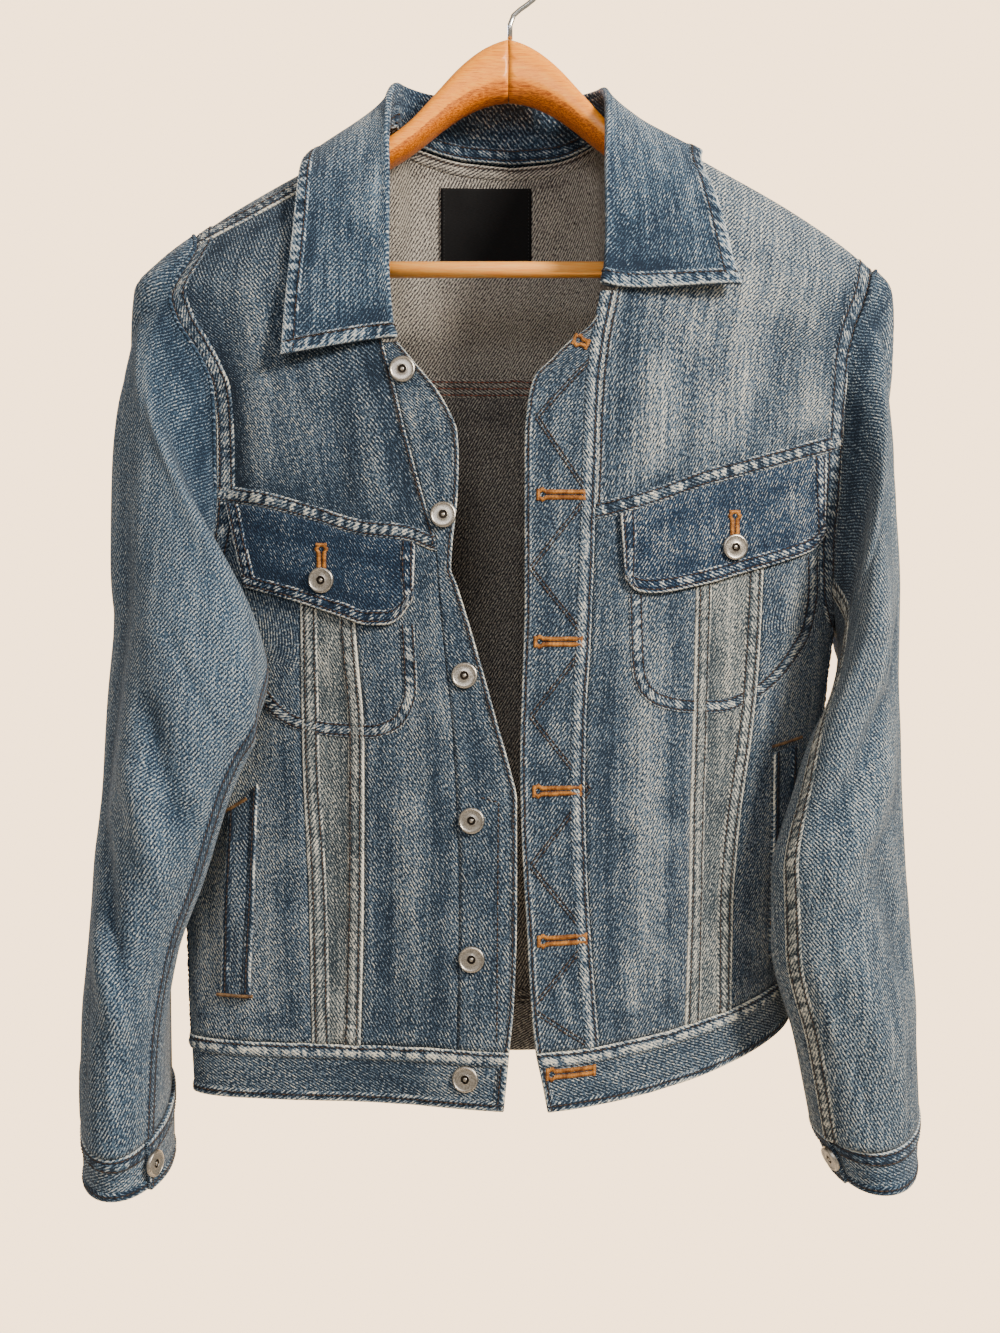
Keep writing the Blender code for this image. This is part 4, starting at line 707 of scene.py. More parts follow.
def back_yoke_surface():
    """The back yoke in (x, over), from the left armhole to the right one."""
    left, right = YOKE_NECK_SHARE[LEFT], YOKE_NECK_SHARE[RIGHT]

    def neck(side, start, stop):
        def line(t):
            x = start + (stop - start) * t
            over = over_at(x, BACK_NECK[side]("z", x), 1)
            seam = float(SHOULDER_SEAM[side]("back", NECK_POINT[side]))
            near = ease((x - NECK_POINT[side] + NECK_BEND) / NECK_BEND)
            return np.stack([side * x, over + (seam - over) * near], axis=-1)
        return line

    def top(t):
        ends = {side: (NECK_POINT[side], shoulder_end(side)) for side in (LEFT, RIGHT)}
        return stretches(t, (right, 1, seam_over(RIGHT, "back", *ends[RIGHT])),
                         (0.5, right, neck(RIGHT, 0, NECK_POINT[RIGHT])),
                         (left, 0.5, neck(LEFT, NECK_POINT[LEFT], 0)),
                         (0, left, seam_over(LEFT, "back", *reversed(ends[LEFT]))))

    reach = {side: float(ARMHOLE_BACK[side]("x", YOKE_BACK)) for side in (LEFT, RIGHT)}

    def low(t):
        places = [-reach[LEFT], YOKE_LOW_SPREAD[LEFT], 0, YOKE_LOW_SPREAD[RIGHT], reach[RIGHT]]
        x = smooth([0, left, 0.5, right, 1], places, t)
        return np.stack([x, over_at(np.abs(x), YOKE_BACK, 1)], axis=-1)

    def arm(side):
        return armhole_over(side, float(SHOULDER_SEAM[side]("back", shoulder_end(side))),
                            float(over_at(reach[side], YOKE_BACK, 1)))
    return patch(over_point, top, low, arm(LEFT), arm(RIGHT))


def back_surfaces():
    surfaces = {"yoke": back_yoke_surface()}

    def seam_w(side):
        line = upright(side, BACK_SEAM, YOKE_BACK, BAND_TOP, back=True)

        def turned(t):
            p = line(t)
            return np.stack([side * (np.pi - p[..., 0]), p[..., 1]], axis=-1)
        return turned

    def straight(first, last):
        return lambda t: first + (last - first) * t[..., None]

    left, right = seam_w(LEFT), seam_w(RIGHT)
    surfaces["centre"] = patch(around, straight(end(left, 0), end(right, 0)),
                               straight(end(left, 1), end(right, 1)), left, right)
    for side in (LEFT, RIGHT):
        inner = seam_w(side)
        arm = ARMHOLE_BACK[side]

        def outer(t, side=side, arm=arm):
            z = smooth_steps(t, YOKE_BACK, BACK_ROWS_ABOVE / BACK_ROWS)
            turn = np.where(z > UNDERARM, turn_at(side, arm("x", z), z, back=True), QUARTER)
            return np.stack([side * (np.pi - turn), z], axis=-1)

        surfaces[side] = patch(around, straight(end(inner, 0), end(outer, 0)),
                               straight(end(inner, 1), end(outer, 1)), inner, outer)
    return surfaces


def band_surface():
    """One strip from the left opening edge round the back to the right one."""
    def surface(u, v):
        z = BAND_TOP + (BAND_LOW - BAND_TOP) * v
        start = -np.pi + turn_at(LEFT, OPENING[LEFT]("x", z), z)
        stop = np.pi - turn_at(RIGHT, OPENING[RIGHT]("x", z), z)
        left_flip = OPENING[LEFT]("x", z) < 0
        start = np.where(left_flip, -np.pi, start)
        return around(start + (stop - start) * u, z)
    return surface


def four_sided(side, inner, outer, top, low):
    """A piece on a front, between two upright edges and two that run across."""
    edges = [upright(side, seam, meeting(seam, top), meeting(seam, low)) for seam in (inner, outer)]
    return patch(on_side(side), across(side, top, end(edges[0], 0), end(edges[1], 0)),
                 across(side, low, end(edges[0], 1), end(edges[1], 1)), *edges)


def box_surface(x0, x1, top, low):
    """A rectangle seen from the front, on the back of the body."""
    def surface(u, v):
        x = x0 + (x1 - x0) * u
        z = top + (low - top) * v
        turn = np.where(x < 0, turn_at(LEFT, -x, z, True), turn_at(RIGHT, x, z, True))
        return around(np.sign(x) * (np.pi - turn), z)
    return surface


def collar_lines(u):
    """Neck seam, top of the roll and leaf edge; u runs from the left front to the right."""
    found = []
    for side, along in ((LEFT, np.clip(1 - 2 * u, 0, 1)), (RIGHT, np.clip(2 * u - 1, 0, 1))):
        rows = COLLAR[side]
        back = along < NECK_SIDE
        turn = turn_at(side, rows("neck_x", along), rows("neck_z", along))
        neck = body_point(side, np.where(back, np.pi - turn, turn), rows("neck_z", along))
        shift = np.where(back[..., None], COLLAR_ABOVE_YOKE, COLLAR_INSIDE_YOKE)
        neck = neck + shift * np.array([side, 1, 1])
        roll = np.stack([side * rows("roll_x", along), rows("roll_y", along),
                         rows("roll_z", along)], axis=-1)
        leaf = np.stack([side * rows("leaf_x", along), rows("leaf_y", along),
                         rows("leaf_z", along)], axis=-1)
        found.append((neck, roll, leaf))
    left = (u < 0.5)[..., None]
    return [np.where(left, a, b) for a, b in zip(*found)]


def collar_surface(u, v):
    """v runs from the neck seam up the stand, round the roll and down the leaf."""
    v = v[..., None]
    neck, roll, leaf = collar_lines(u)
    ahead = (collar_lines(np.clip(u + COLLAR_STEP, 0, 1))[1]
             - collar_lines(np.clip(u - COLLAR_STEP, 0, 1))[1])
    up = unit(roll - neck)
    out = unit(np.cross(up, ahead))
    stand_top = roll - FOLD_RADIUS * up
    centre = stand_top + FOLD_RADIUS * out
    leaf_top = stand_top + 2 * FOLD_RADIUS * out
    stand = neck + (stand_top - neck) * np.clip(v / STAND_SHARE, 0, 1)
    turn = np.clip((v - STAND_SHARE) / (ROLL_SHARE - STAND_SHARE), 0, 1) * np.pi
    bend = centre - FOLD_RADIUS * out * np.cos(turn) + FOLD_RADIUS * up * np.sin(turn)
    t = np.clip((v - ROLL_SHARE) / (1 - ROLL_SHARE), 0, 1)
    span = np.linalg.norm(leaf - leaf_top, axis=-1, keepdims=True)
    fall = (leaf_top * (1 - t) ** 3
            + 3 * (leaf_top - up * span * LEAF_DROP) * (1 - t) ** 2 * t
            + 3 * (leaf + (leaf_top - leaf) * LEAF_IN + out * span * LEAF_OUT) * (1 - t) * t ** 2
            + leaf * t ** 3)
    off = ease((fall[..., 2] - LEAF_OFF_FROM) / LEAF_OFF_OVER)
    fall_clear = clear_of_body(fall, LEAF_CLEARANCE + SHOULDER_CLEARANCE * off)
    fall = np.where(t > LEAF_FREE_SHARE, fall_clear, fall)
    return np.where(v < STAND_SHARE, stand, np.where(v < ROLL_SHARE, bend, fall))


def armhole_point(side, turn):
    """The armhole seam at a turn round the sleeve, on the body's cloth."""
    top, low = ARMHOLE_TOP[side], UNDERARM
    z = top + (low - top) * (1 - np.cos(turn)) / 2
    front = np.sin(turn) >= 0
    turn_front = turn_at(side, ARMHOLE_FRONT[side]("x", z), z)
    turn_back = turn_at(side, ARMHOLE_BACK[side]("x", z), z, back=True)
    return body_point(side, np.where(front, turn_front, turn_back), z)


def section_point(side, rows, down, turn):
    ox, oz, ix, iz = (rows(n, down) for n in ("outer_x", "outer_z", "inner_x", "inner_z"))
    c, s = np.cos(turn), np.sin(turn)
    squared = np.where(s < 0, np.abs(c) ** BACK_ROUND * np.sign(c), c)
    inward = (1 - squared) / 2
    to_back = ease((BACK_BLEND - s) / (2 * BACK_BLEND))
    x = (ox + (ix - ox) * inward + (rows("back_x", down) - ix) * inward * to_back
         - rows("swing", down) * np.maximum(s, 0) * inward)
    z = (oz + iz) / 2 + (oz - iz) / 2 * c - rows("dip", down) * s
    y = rows("y", down) - rows("deep", down) * s + rows("skew", down) * (ox - ix) / 2 * c
    return np.stack([side * x, y, z], axis=-1)


def sleeve_point(side, down, turn):
    """A point of the sleeve's cloth: down is 0 at the armhole and 1 at the cuff."""
    turn = np.mod(turn, 2 * np.pi)
    rows = SLEEVE[side]
    first = float(rows.at[0])
    lower = section_point(side, rows, np.maximum(down, first), turn)
    start = armhole_point(side, turn)
    # below the armhole the cloth runs out of the seam and bends smoothly into the first section
    stop = section_point(side, rows, np.full_like(down, first), turn)
    slope = (section_point(side, rows, np.full_like(down, first + SLOPE_STEP), turn)
             - stop) / SLOPE_STEP
    t = np.clip(down / first, 0, 1)[..., None]
    head = ((2 * t ** 3 - 3 * t ** 2 + 1) * start + (t ** 3 - 2 * t ** 2 + t) * (stop - start)
            + (3 * t ** 2 - 2 * t ** 3) * stop + (t ** 3 - t ** 2) * slope * first)
    points = np.where((down < first)[..., None], head, lower)
    points = points + sleeve_relief(side, down, turn)[..., None] * around_sleeve(side, down, turn)
    top, under = np.maximum(np.cos(turn), 0), np.maximum(-np.cos(turn), 0)
    start = START_CLEARANCE + RIDGE_CLEARANCE * top ** 2 - UNDERARM_EASE * under
    more = (SLEEVE_CLEARANCE - START_CLEARANCE) * ease(down / CLEAR_BELOW) * (1 - TOP_EASE * top)
    return clear_of_body(points, start + more)


def around_sleeve(side, down, turn):
    """Roughly the direction out of the sleeve."""
    rows = SLEEVE[side]
    place = np.maximum(down, float(rows.at[0]))
    half = (rows("outer_x", place) - rows("inner_x", place)) / 2
    c, s = np.cos(turn), np.sin(turn)
    return unit(np.stack([side * c / half, -s / rows("deep", place), np.zeros_like(c)], axis=-1))


def sleeve_relief(side, down, turn):
    degrees = np.degrees(turn)
    total = np.zeros(np.broadcast(down, turn).shape)
    for d0, a0, d1, a1, width, height in SLEEVE_FOLDS[side] + SLEEVE_CREASES[side]:
        total = total + height * beside_line(down * SLEEVE_LENGTH, degrees * MM_PER_DEGREE,
                                             d0 * SLEEVE_LENGTH, a0 * MM_PER_DEGREE,
                                             d1 * SLEEVE_LENGTH, a1 * MM_PER_DEGREE, width)
    return total


def sleeve_surface(side, start, stop):
    return lambda u, v: sleeve_point(side, v, start + (stop - start) * u)


def cuff_surface(side):
    """The cuff is one strip whose outer end laps over the inner one."""
    rows = CUFF[side]

    def surface(u, v):
        u = np.asarray(u, float)
        turn = CUFF_OPENING[side] - CUFF_OVERLAP + (2 * np.pi + CUFF_OVERLAP) * u
        points = section_point(side, rows, v, turn)
        centre = (rows("outer_x", v) + rows("inner_x", v)) / 2
        away = points - np.stack([side * centre, rows("y", v), points[..., 2]], axis=-1)
        return points + unit(away) * ((1 - u) * 2 - 1)[..., None] * CUFF_STEP
    return surface


# Fine creases of the fronts and the back, as (x, z) to (x, z), width and height: the main folds are
# placed one by one, each in its own size.
FRONT_CREASES = {
    LEFT: ((152, -300, 148, -372, 6, 1.2), (118, -345, 112, -398, 6, -1.0),
        (92, -330, 84, -404, 7, 1.1), (136, -352, 150, -388, 5, 0.9), (160, -470, 157, -560, 7, 1.0),
        (122, -590, 120, -725, 8, -1.1), (72, -560, 66, -700, 8, 1.2), (86, -620, 80, -738, 6, -1.0),
        (182, -640, 176, -738, 7, 1.2), (58, -470, 52, -545, 7, 1.1), (205, -560, 201, -690, 8, -1.3),
        (118, -734, 100, -749, 6, 1.5), (150, -737, 136, -750, 5, -1.2), (60, -738, 77, -750, 5, 1.3),
        (178, -736, 166, -750, 5, 1.2)),
    RIGHT: ((150, -280, 146, -345, 7, 1.3), (118, -300, 110, -372, 6, -1.0),
        (196, -300, 188, -352, 6, 1.1), (84, -320, 80, -386, 6, -0.9), (96, -470, 92, -560, 7, 1.1),
        (176, -450, 170, -520, 6, -1.0), (100, -600, 94, -720, 8, 1.4), (76, -560, 72, -680, 7, -1.1),
        (168, -600, 164, -700, 7, 1.1), (70, -690, 80, -748, 6, 1.4), (96, -728, 112, -750, 5, -1.3),
        (128, -730, 146, -750, 5, 1.5), (160, -728, 178, -750, 5, -1.3),
        (186, -724, 194, -748, 5, 1.2))}
BACK_CREASES = {
    LEFT: ((84, -200, 66, -286, 13, 2.2), (150, -230, 132, -296, 11, -1.8),
        (42, -330, 34, -480, 15, 2.6), (152, -322, 140, -462, 13, -2.8), (64, -520, 54, -700, 15, 2.2),
        (176, -500, 168, -700, 13, -2.4), (30, -640, 24, -742, 9, -1.4),
        (120, -560, 132, -690, 12, 2.0), (196, -420, 178, -520, 11, 2.4),
        (112, -400, 96, -500, 10, -1.6)),
    RIGHT: ((70, -196, 84, -290, 12, 2.0), (156, -240, 150, -298, 12, -1.9),
        (50, -340, 60, -470, 14, -2.4), (140, -330, 152, -450, 12, 2.7), (48, -540, 40, -690, 14, 2.3),
        (150, -520, 158, -690, 13, -2.5), (92, -620, 86, -744, 10, 1.8),
        (184, -430, 170, -540, 11, 2.2), (112, -470, 120, -560, 11, -1.7))}
# Fine creases of the sleeves, as (down, turn) to (down, turn), width and height
SLEEVE_CREASES = {
    LEFT: ((0.06, 30, 0.15, 50, 6, 1.6), (0.05, 60, 0.13, 82, 6, -1.5), (0.07, 95, 0.16, 120, 7, 1.8),
        (0.20, 55, 0.46, 52, 8, 1.5), (0.34, 80, 0.40, 125, 7, -1.6), (0.48, 30, 0.70, 36, 8, 1.4),
        (0.50, 130, 0.56, 90, 6, 1.4), (0.58, 20, 0.80, 28, 7, -1.3), (0.66, 112, 0.74, 72, 7, 1.5),
        (0.80, 60, 0.95, 52, 8, -1.5), (0.84, 92, 0.96, 100, 7, 1.5), (0.90, 30, 0.99, 36, 6, 1.3),
        (0.10, 200, 0.24, 230, 9, 2.2), (0.30, 240, 0.40, 200, 9, -2.2), (0.48, 215, 0.54, 285, 8, 2.4),
        (0.55, 280, 0.62, 220, 8, -2.0), (0.70, 250, 0.92, 244, 9, 1.8),
        (0.10, 320, 0.30, 312, 9, 1.6)),
    RIGHT: ((0.05, 40, 0.15, 58, 6, 1.5), (0.06, 74, 0.16, 96, 7, -1.6), (0.08, 112, 0.18, 130, 6, 1.5),
        (0.22, 52, 0.42, 48, 8, 1.5), (0.36, 92, 0.42, 50, 7, -1.5), (0.50, 28, 0.72, 30, 8, 1.4),
        (0.50, 112, 0.56, 70, 6, 1.5), (0.62, 50, 0.66, 110, 7, -1.6), (0.70, 22, 0.88, 26, 8, 1.3),
        (0.82, 60, 0.97, 64, 8, 1.6), (0.86, 104, 0.98, 96, 6, -1.3), (0.74, 120, 0.86, 118, 7, 1.4),
        (0.12, 210, 0.26, 236, 9, 2.2), (0.32, 236, 0.42, 204, 9, -2.1), (0.48, 220, 0.55, 280, 8, 2.3),
        (0.60, 276, 0.66, 226, 8, -2.0), (0.74, 246, 0.94, 250, 9, 1.8),
        (0.12, 322, 0.30, 316, 9, 1.6))}

# The grain of the meshes, in millimetres: cloth, small pieces, collar and cuffs, labels, seams
CLOTH_CELL = 4.0
SMALL_CELL = 3.0
COLLAR_CELL = 3.2
LABEL_CELL = 2.0
SEAM_CELL = 1.7
# the slight lumps of worn cloth, as (height, size, seed); they fade at the back's middle
LUMPS = ((0.7, 24, 3), (0.35, 11, 4))
LUMPS_FADE = 30
LATTICE = 64
# a crest is a place this much over the mean of so many cells around it
CREST_REACH = 7
CREST_HEIGHT = 1.4
# crests are paler, as worn cloth, and hollows are darker down to DEEPEST, as painted shade; the body
# and the sleeves take these shares of both
DEEPEST = -0.6
CREST_WEAR_AND_SHADE = 0.55
SLEEVE_CREST_WEAR_AND_SHADE = 0.32
# the wrong side takes this share of the worn pale and of the painted shade
WRONG_SIDE_WEAR_AND_SHADE = 0.5
# the hollow beside a seam, darkened as painted shade, and the pale faded middle of a panel
HOLLOW_AT = 14.5
HOLLOW_WIDE = 5.0
HOLLOW_PAINTED_SHADE = 0.75
MIDDLE_AT = 60.0
MIDDLE_PALE = 0.42
# each piece's cloth comes from its own place on the bolt
BOLT_STEP = (37.0, 91.0)
SEAM_BOLT_STEP = 13.0
# an edge's distances are measured over this share of the panel, at so many places
EDGE_STEP = 0.02
EDGE_KNOTS = 41
SPREAD_KNOTS = 400
# thread: its radius, its share of that at the ends of a stitch, and a stitch's length and dip
THREAD = 0.55
THREAD_END = 0.62
THREAD_SIDES = 4
THREAD_SUNK = 0.12
STITCH = 3.3
STITCH_SHARE = 0.43
STITCH_DIP = 0.32
STITCH_REACH = 0.6
# how far worked thread and flat thread lie over the double cloth under them
WORKED_LIFT = 0.35
FLAT_LIFT = 0.1


def rumple(a, b, size, seed):
    """Soft unevenness from -1 to 1 over a surface, with lumps of about that size."""
    field = np.random.default_rng(seed).uniform(-1.0, 1.0, (LATTICE, LATTICE))
    a, b = np.broadcast_arrays(np.asarray(a, float) / size, np.asarray(b, float) / size)
    i, j = np.floor(a).astype(int), np.floor(b).astype(int)
    s, t = ease(a - i), ease(b - j)
    i0, j0, i1, j1 = i % LATTICE, j % LATTICE, (i + 1) % LATTICE, (j + 1) % LATTICE
    return ((field[i0, j0] * (1 - s) + field[i1, j0] * s) * (1 - t)
            + (field[i0, j1] * (1 - s) + field[i1, j1] * s) * t)


def unevenness(x, z, front):
    """The small unevenness of worn cloth, over and above its folds."""
    ends = ease((np.abs(x) + 2) / LUMPS_FADE)
    both = sum(height * rumple(x, z, size, seed) for height, size, seed in LUMPS)
    return both * np.where(front, 1.0, ends)


# Cloth as meshes
def grid_normals(points):
    return unit(np.cross(np.gradient(points, axis=1), np.gradient(points, axis=0)))


def facing(points, hub):
    """1 where the grid's own normals point away from hub, and otherwise -1."""
    away = points - hub
    away[..., 2] = 0
    return 1 if (grid_normals(points) * away).sum() > 0 else -1


def crests(points, normals):
    """How far each point stands over its surroundings, from -1 to 1."""
    level = points
    for axis in (0, 1):
        reach = min(CREST_REACH, points.shape[axis] - 2)
        pad = [(0, 0)] * 3
        pad[axis] = (reach + 1, reach)
        total = np.cumsum(np.pad(level, pad, mode="reflect", reflect_type="odd"), axis=axis)
        size = points.shape[axis]
        ahead = np.take(total, range(2 * reach + 1, 2 * reach + 1 + size), axis=axis)
        behind = np.take(total, range(size), axis=axis)
        level = (ahead - behind) / (2 * reach + 1)
    height = ((points - level) * normals).sum(axis=-1)
    return np.clip(height / CREST_HEIGHT, DEEPEST, 1)


def seam_shade_and_fade(points, edges):
    """How a panel's tone changes towards its seams: dark in the hollow beside a seam, which is painted
    shade, and pale in the faded middle of the panel."""
    across, down = steps_along(points, 1), steps_along(points, 0)
    gaps = {"left": across, "right": across[:, -1:] - across,
            "top": down, "low": down[-1:] - down}
    gap = np.min([gaps[edge] for edge in edges], axis=0)
    patchy = 0.6 + 0.6 * rumple(across, down, 13, 9)
    # painted shade in the hollow beside a seam
    hollow = np.exp(-((gap - HOLLOW_AT) / HOLLOW_WIDE) ** 2) * patchy
    return MIDDLE_PALE * (ease(gap / MIDDLE_AT) - 0.5) - HOLLOW_PAINTED_SHADE * hollow


def steps_along(points, axis):
    """How far along each point of a grid is, in millimetres from the first row or column."""
    step = np.linalg.norm(np.diff(points, axis=axis), axis=-1)
    start = np.zeros_like(np.take(step, [0], axis=axis))
    return np.concatenate([start, np.cumsum(step, axis=axis)], axis=axis)


def piece(name, verts, faces, finishes, slots, cloth, wear):
    """A mesh object from points in millimetres. cloth is each point's place on its cloth, and the last
    argument how worn it is, together with the shade painted in its hollows, from -1 (dark: unworn
    cloth, and painted shade) to 1 (pale)."""
    mesh = bpy.data.meshes.new(name)
    mesh.from_pydata((verts * MM).tolist(), [], faces)
    corner = np.zeros(len(mesh.loops), np.int32)
    mesh.loops.foreach_get("vertex_index", corner)
    layer = mesh.uv_layers.new(name="cloth")
    layer.uv.foreach_set("vector", (cloth[corner] * MM).astype(np.float32).ravel())
    shade = mesh.attributes.new("wear", "FLOAT", "POINT")
    shade.data.foreach_set("value", wear.astype(np.float32))
    for finish in finishes:
        mesh.materials.append(finish)
    if slots is not None:
        mesh.polygons.foreach_set("material_index", slots)
    mesh.update()
    mesh.shade_smooth()
    obj = bpy.data.objects.new(name, mesh)
    bpy.context.scene.collection.objects.link(obj)
    return obj


def shell_faces(rows, columns, sign):
    """Faces of a closed shell of two grids of points, outer first: outer, inner and rim."""
    index = np.arange(rows * columns).reshape(rows, columns)
    outer = np.stack([index[:-1, :-1], index[:-1, 1:], index[1:, 1:], index[1:, :-1]], -1)
    outer = outer.reshape(-1, 4)
    ring = np.concatenate([index[0, :-1], index[:-1, -1], index[-1, :0:-1], index[:0:-1, 0]])
    ahead = np.roll(ring, -1)
    count = rows * columns
    rim = np.stack([ahead, ring, ring + count, ahead + count], -1)
    inner = outer[:, ::-1] + count
    if sign < 0:
        outer, inner, rim = outer[:, ::-1], inner[:, ::-1], rim[:, ::-1]
    return outer, inner, rim


class Cloth:
    """One panel of cloth: a closed shell with a right and a wrong side, and what is sewn on it."""

    def __init__(self, name, surface, wall, finish, wrong, hub=None, lift=0.0, cell=CLOTH_CELL,
                 across_grain=False, seed=1, pale=0.0, seen_from=0.0,
                 washed=("left", "right", "top", "low"), crest=CREST_WEAR_AND_SHADE):
        self.name, self.surface, self.wall = name, surface, wall
        self.finish, self.wrong = finish, wrong
        self.hub = hub or (lambda t: np.zeros(3))
        self.lift = lift
        self.seed, self.seams = seed, 0
        self.ribbons, self.threads = {}, {}
        look = surface(*np.meshgrid(np.linspace(0, 1, 25), np.linspace(0, 1, 25)))
        width = steps_along(look, 1)[:, -1].max()
        height = steps_along(look, 0)[-1].max()
        columns, rows = max(3, round(width / cell)), max(3, round(height / cell))
        points = self.at(*np.meshgrid(np.linspace(0, 1, columns + 1), np.linspace(0, 1, rows + 1)))
        place = np.linspace(0, 1, rows + 1)
        first = int(seen_from * rows)
        self.sign = facing(points[first:].copy(), self.hub(place[first:]))
        normals = grid_normals(points) * self.sign
        # worn pale crests, and dark hollows of painted shade
        shade = crest * crests(points, normals) + pale
        # the painted shade of the hollow beside each seam, and the faded middle
        if washed:
            shade = shade + seam_shade_and_fade(points, washed)
        along = steps_along(points, 1)
        along = along - along[:, columns // 2, None]
        down = np.broadcast_to(steps_along(points, 0).mean(axis=1, keepdims=True), along.shape)
        self.flat = (width, height)
        beside, below = np.diff(points, axis=1)[:-1], np.diff(points, axis=0)[:, :-1]
        self.area = np.linalg.norm(np.cross(beside, below), axis=-1).sum()
        outer, inner, rim = shell_faces(rows + 1, columns + 1, self.sign)
        grain = np.stack([down, along] if across_grain else [along, down], -1).reshape(-1, 2)
        grain = grain + seed * np.array(BOLT_STEP)
        verts = np.concatenate([(points + normals * wall / 2).reshape(-1, 3),
                                (points - normals * wall / 2).reshape(-1, 3)])
        slots = np.repeat([0, 1, 0], [len(outer), len(inner), len(rim)]).astype(np.int32)
        self.obj = piece(name + "_cloth", verts, np.concatenate([outer, inner, rim]).tolist(),
                         (finish, wrong), slots, np.concatenate([grain, grain]),
                         np.concatenate([shade.ravel(), shade.ravel() * WRONG_SIDE_WEAR_AND_SHADE]))

    def at(self, u, v):
        points = self.surface(u, v)
        if self.lift:
            points = points + self.lift * outward(self.surface, u, v)
        return points

    def edge(self, side, start=0.0, stop=1.0):
        """Places along one edge: t runs along it, and d is how far in from it, in mm."""
        ways = {"left": lambda t, s: self.at(s, t), "right": lambda t, s: self.at(1 - s, t),
                "top": lambda t, s: self.at(t, s), "low": lambda t, s: self.at(t, 1 - s)}
        way = ways[side]
        knots = np.linspace(0, 1, EDGE_KNOTS)
        scale = np.linalg.norm(way(knots, 0 * knots + EDGE_STEP) - way(knots, 0 * knots),
                               axis=-1) / EDGE_STEP

        def place(t, d):
            t = start + (stop - start) * t
            return way(t, d / np.interp(t, knots, scale))

        def down(t):
            share = start + (stop - start) * t
            fixed = {"top": 0.0, "low": 1.0}
            return np.full_like(share, fixed[side]) if side in fixed else share
        place.down = down
        return place

    def finished(self, *held_on, on_it=()):
        parts = list(on_it)
        for finish, found in self.ribbons.items():
            parts.append(joined(self.name + "_seams_in_" + finish.name, found, finish))
        for thread, found in self.threads.items():
            parts.append(joined(self.name + "_" + thread.name, found, thread))
        for part in [self.obj, *parts]:
            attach(part, "root")
        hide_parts(self.name)
        width, height = (round(v * MM, 3) for v in self.flat)


def joined(name, found, finish):
    """One piece of many: each is (verts, faces, cloth, wear)."""
    verts, faces, cloth, wear, start = [], [], [], [], 0
    for v, f, c, w in found:
        verts.append(v)
        faces += [[i + start for i in face] for face in f]
        cloth.append(c)
        wear.append(w)
        start += len(v)
    return piece(name, np.concatenate(verts), faces, (finish,), None, np.concatenate(cloth),
                 np.concatenate(wear))


# Seams: the turned edge of a seam lies as a second thickness on the panel, with rows of stitches.
# Its outer edge rounds up over the first length, and its inner edge falls off over the second.
EDGE_ROUNDS = 0.9
EDGE_FALLS = 1.8
# the columns of its mesh beside its edges and its rows, and the widest steps between them
NEAR_EDGE = 0.3
NEAR_FALL = (1.6, 0.7)
NEAR_ROW = 0.7
WIDEST_STEP = 2.2
COLUMN_STEP = 1.6
# a row of stitches sinks in this deep and wide, and is this much darker over that width
ROW_DEEP = 0.3
ROW_SUNK = 0.6
ROW_DARK = 1.25
ROW_WIDE = 0.75
# the puckers lie between the rows, and a little past them
PUCKER_PAST = 0.5
PUCKER_ENDS = 1.2
PUCKER_SLANT = 0.45
PUCKER_EVERY = 6.0
PUCKER_HIGH = 0.5
PUCKER_PALE = 0.85
# the twisted ridge beside a heavy seam
ROPING_AT = 5.2
ROPING_WIDE = 2.3
ROPING_HIGH = 0.5
# the pale line inside the last row
INNER_AT = 1.6
INNER_WIDE = 1.1
INNER_PALE = 0.4
SEAM_CONTRAST = 1.95
DARKEST, PALEST = -2.0, 2.4
UNDER_SEAM = 0.3


def bell(away, wide):
    """1 at a line, and less beside it."""
    return np.exp(-(away / wide) ** 2)


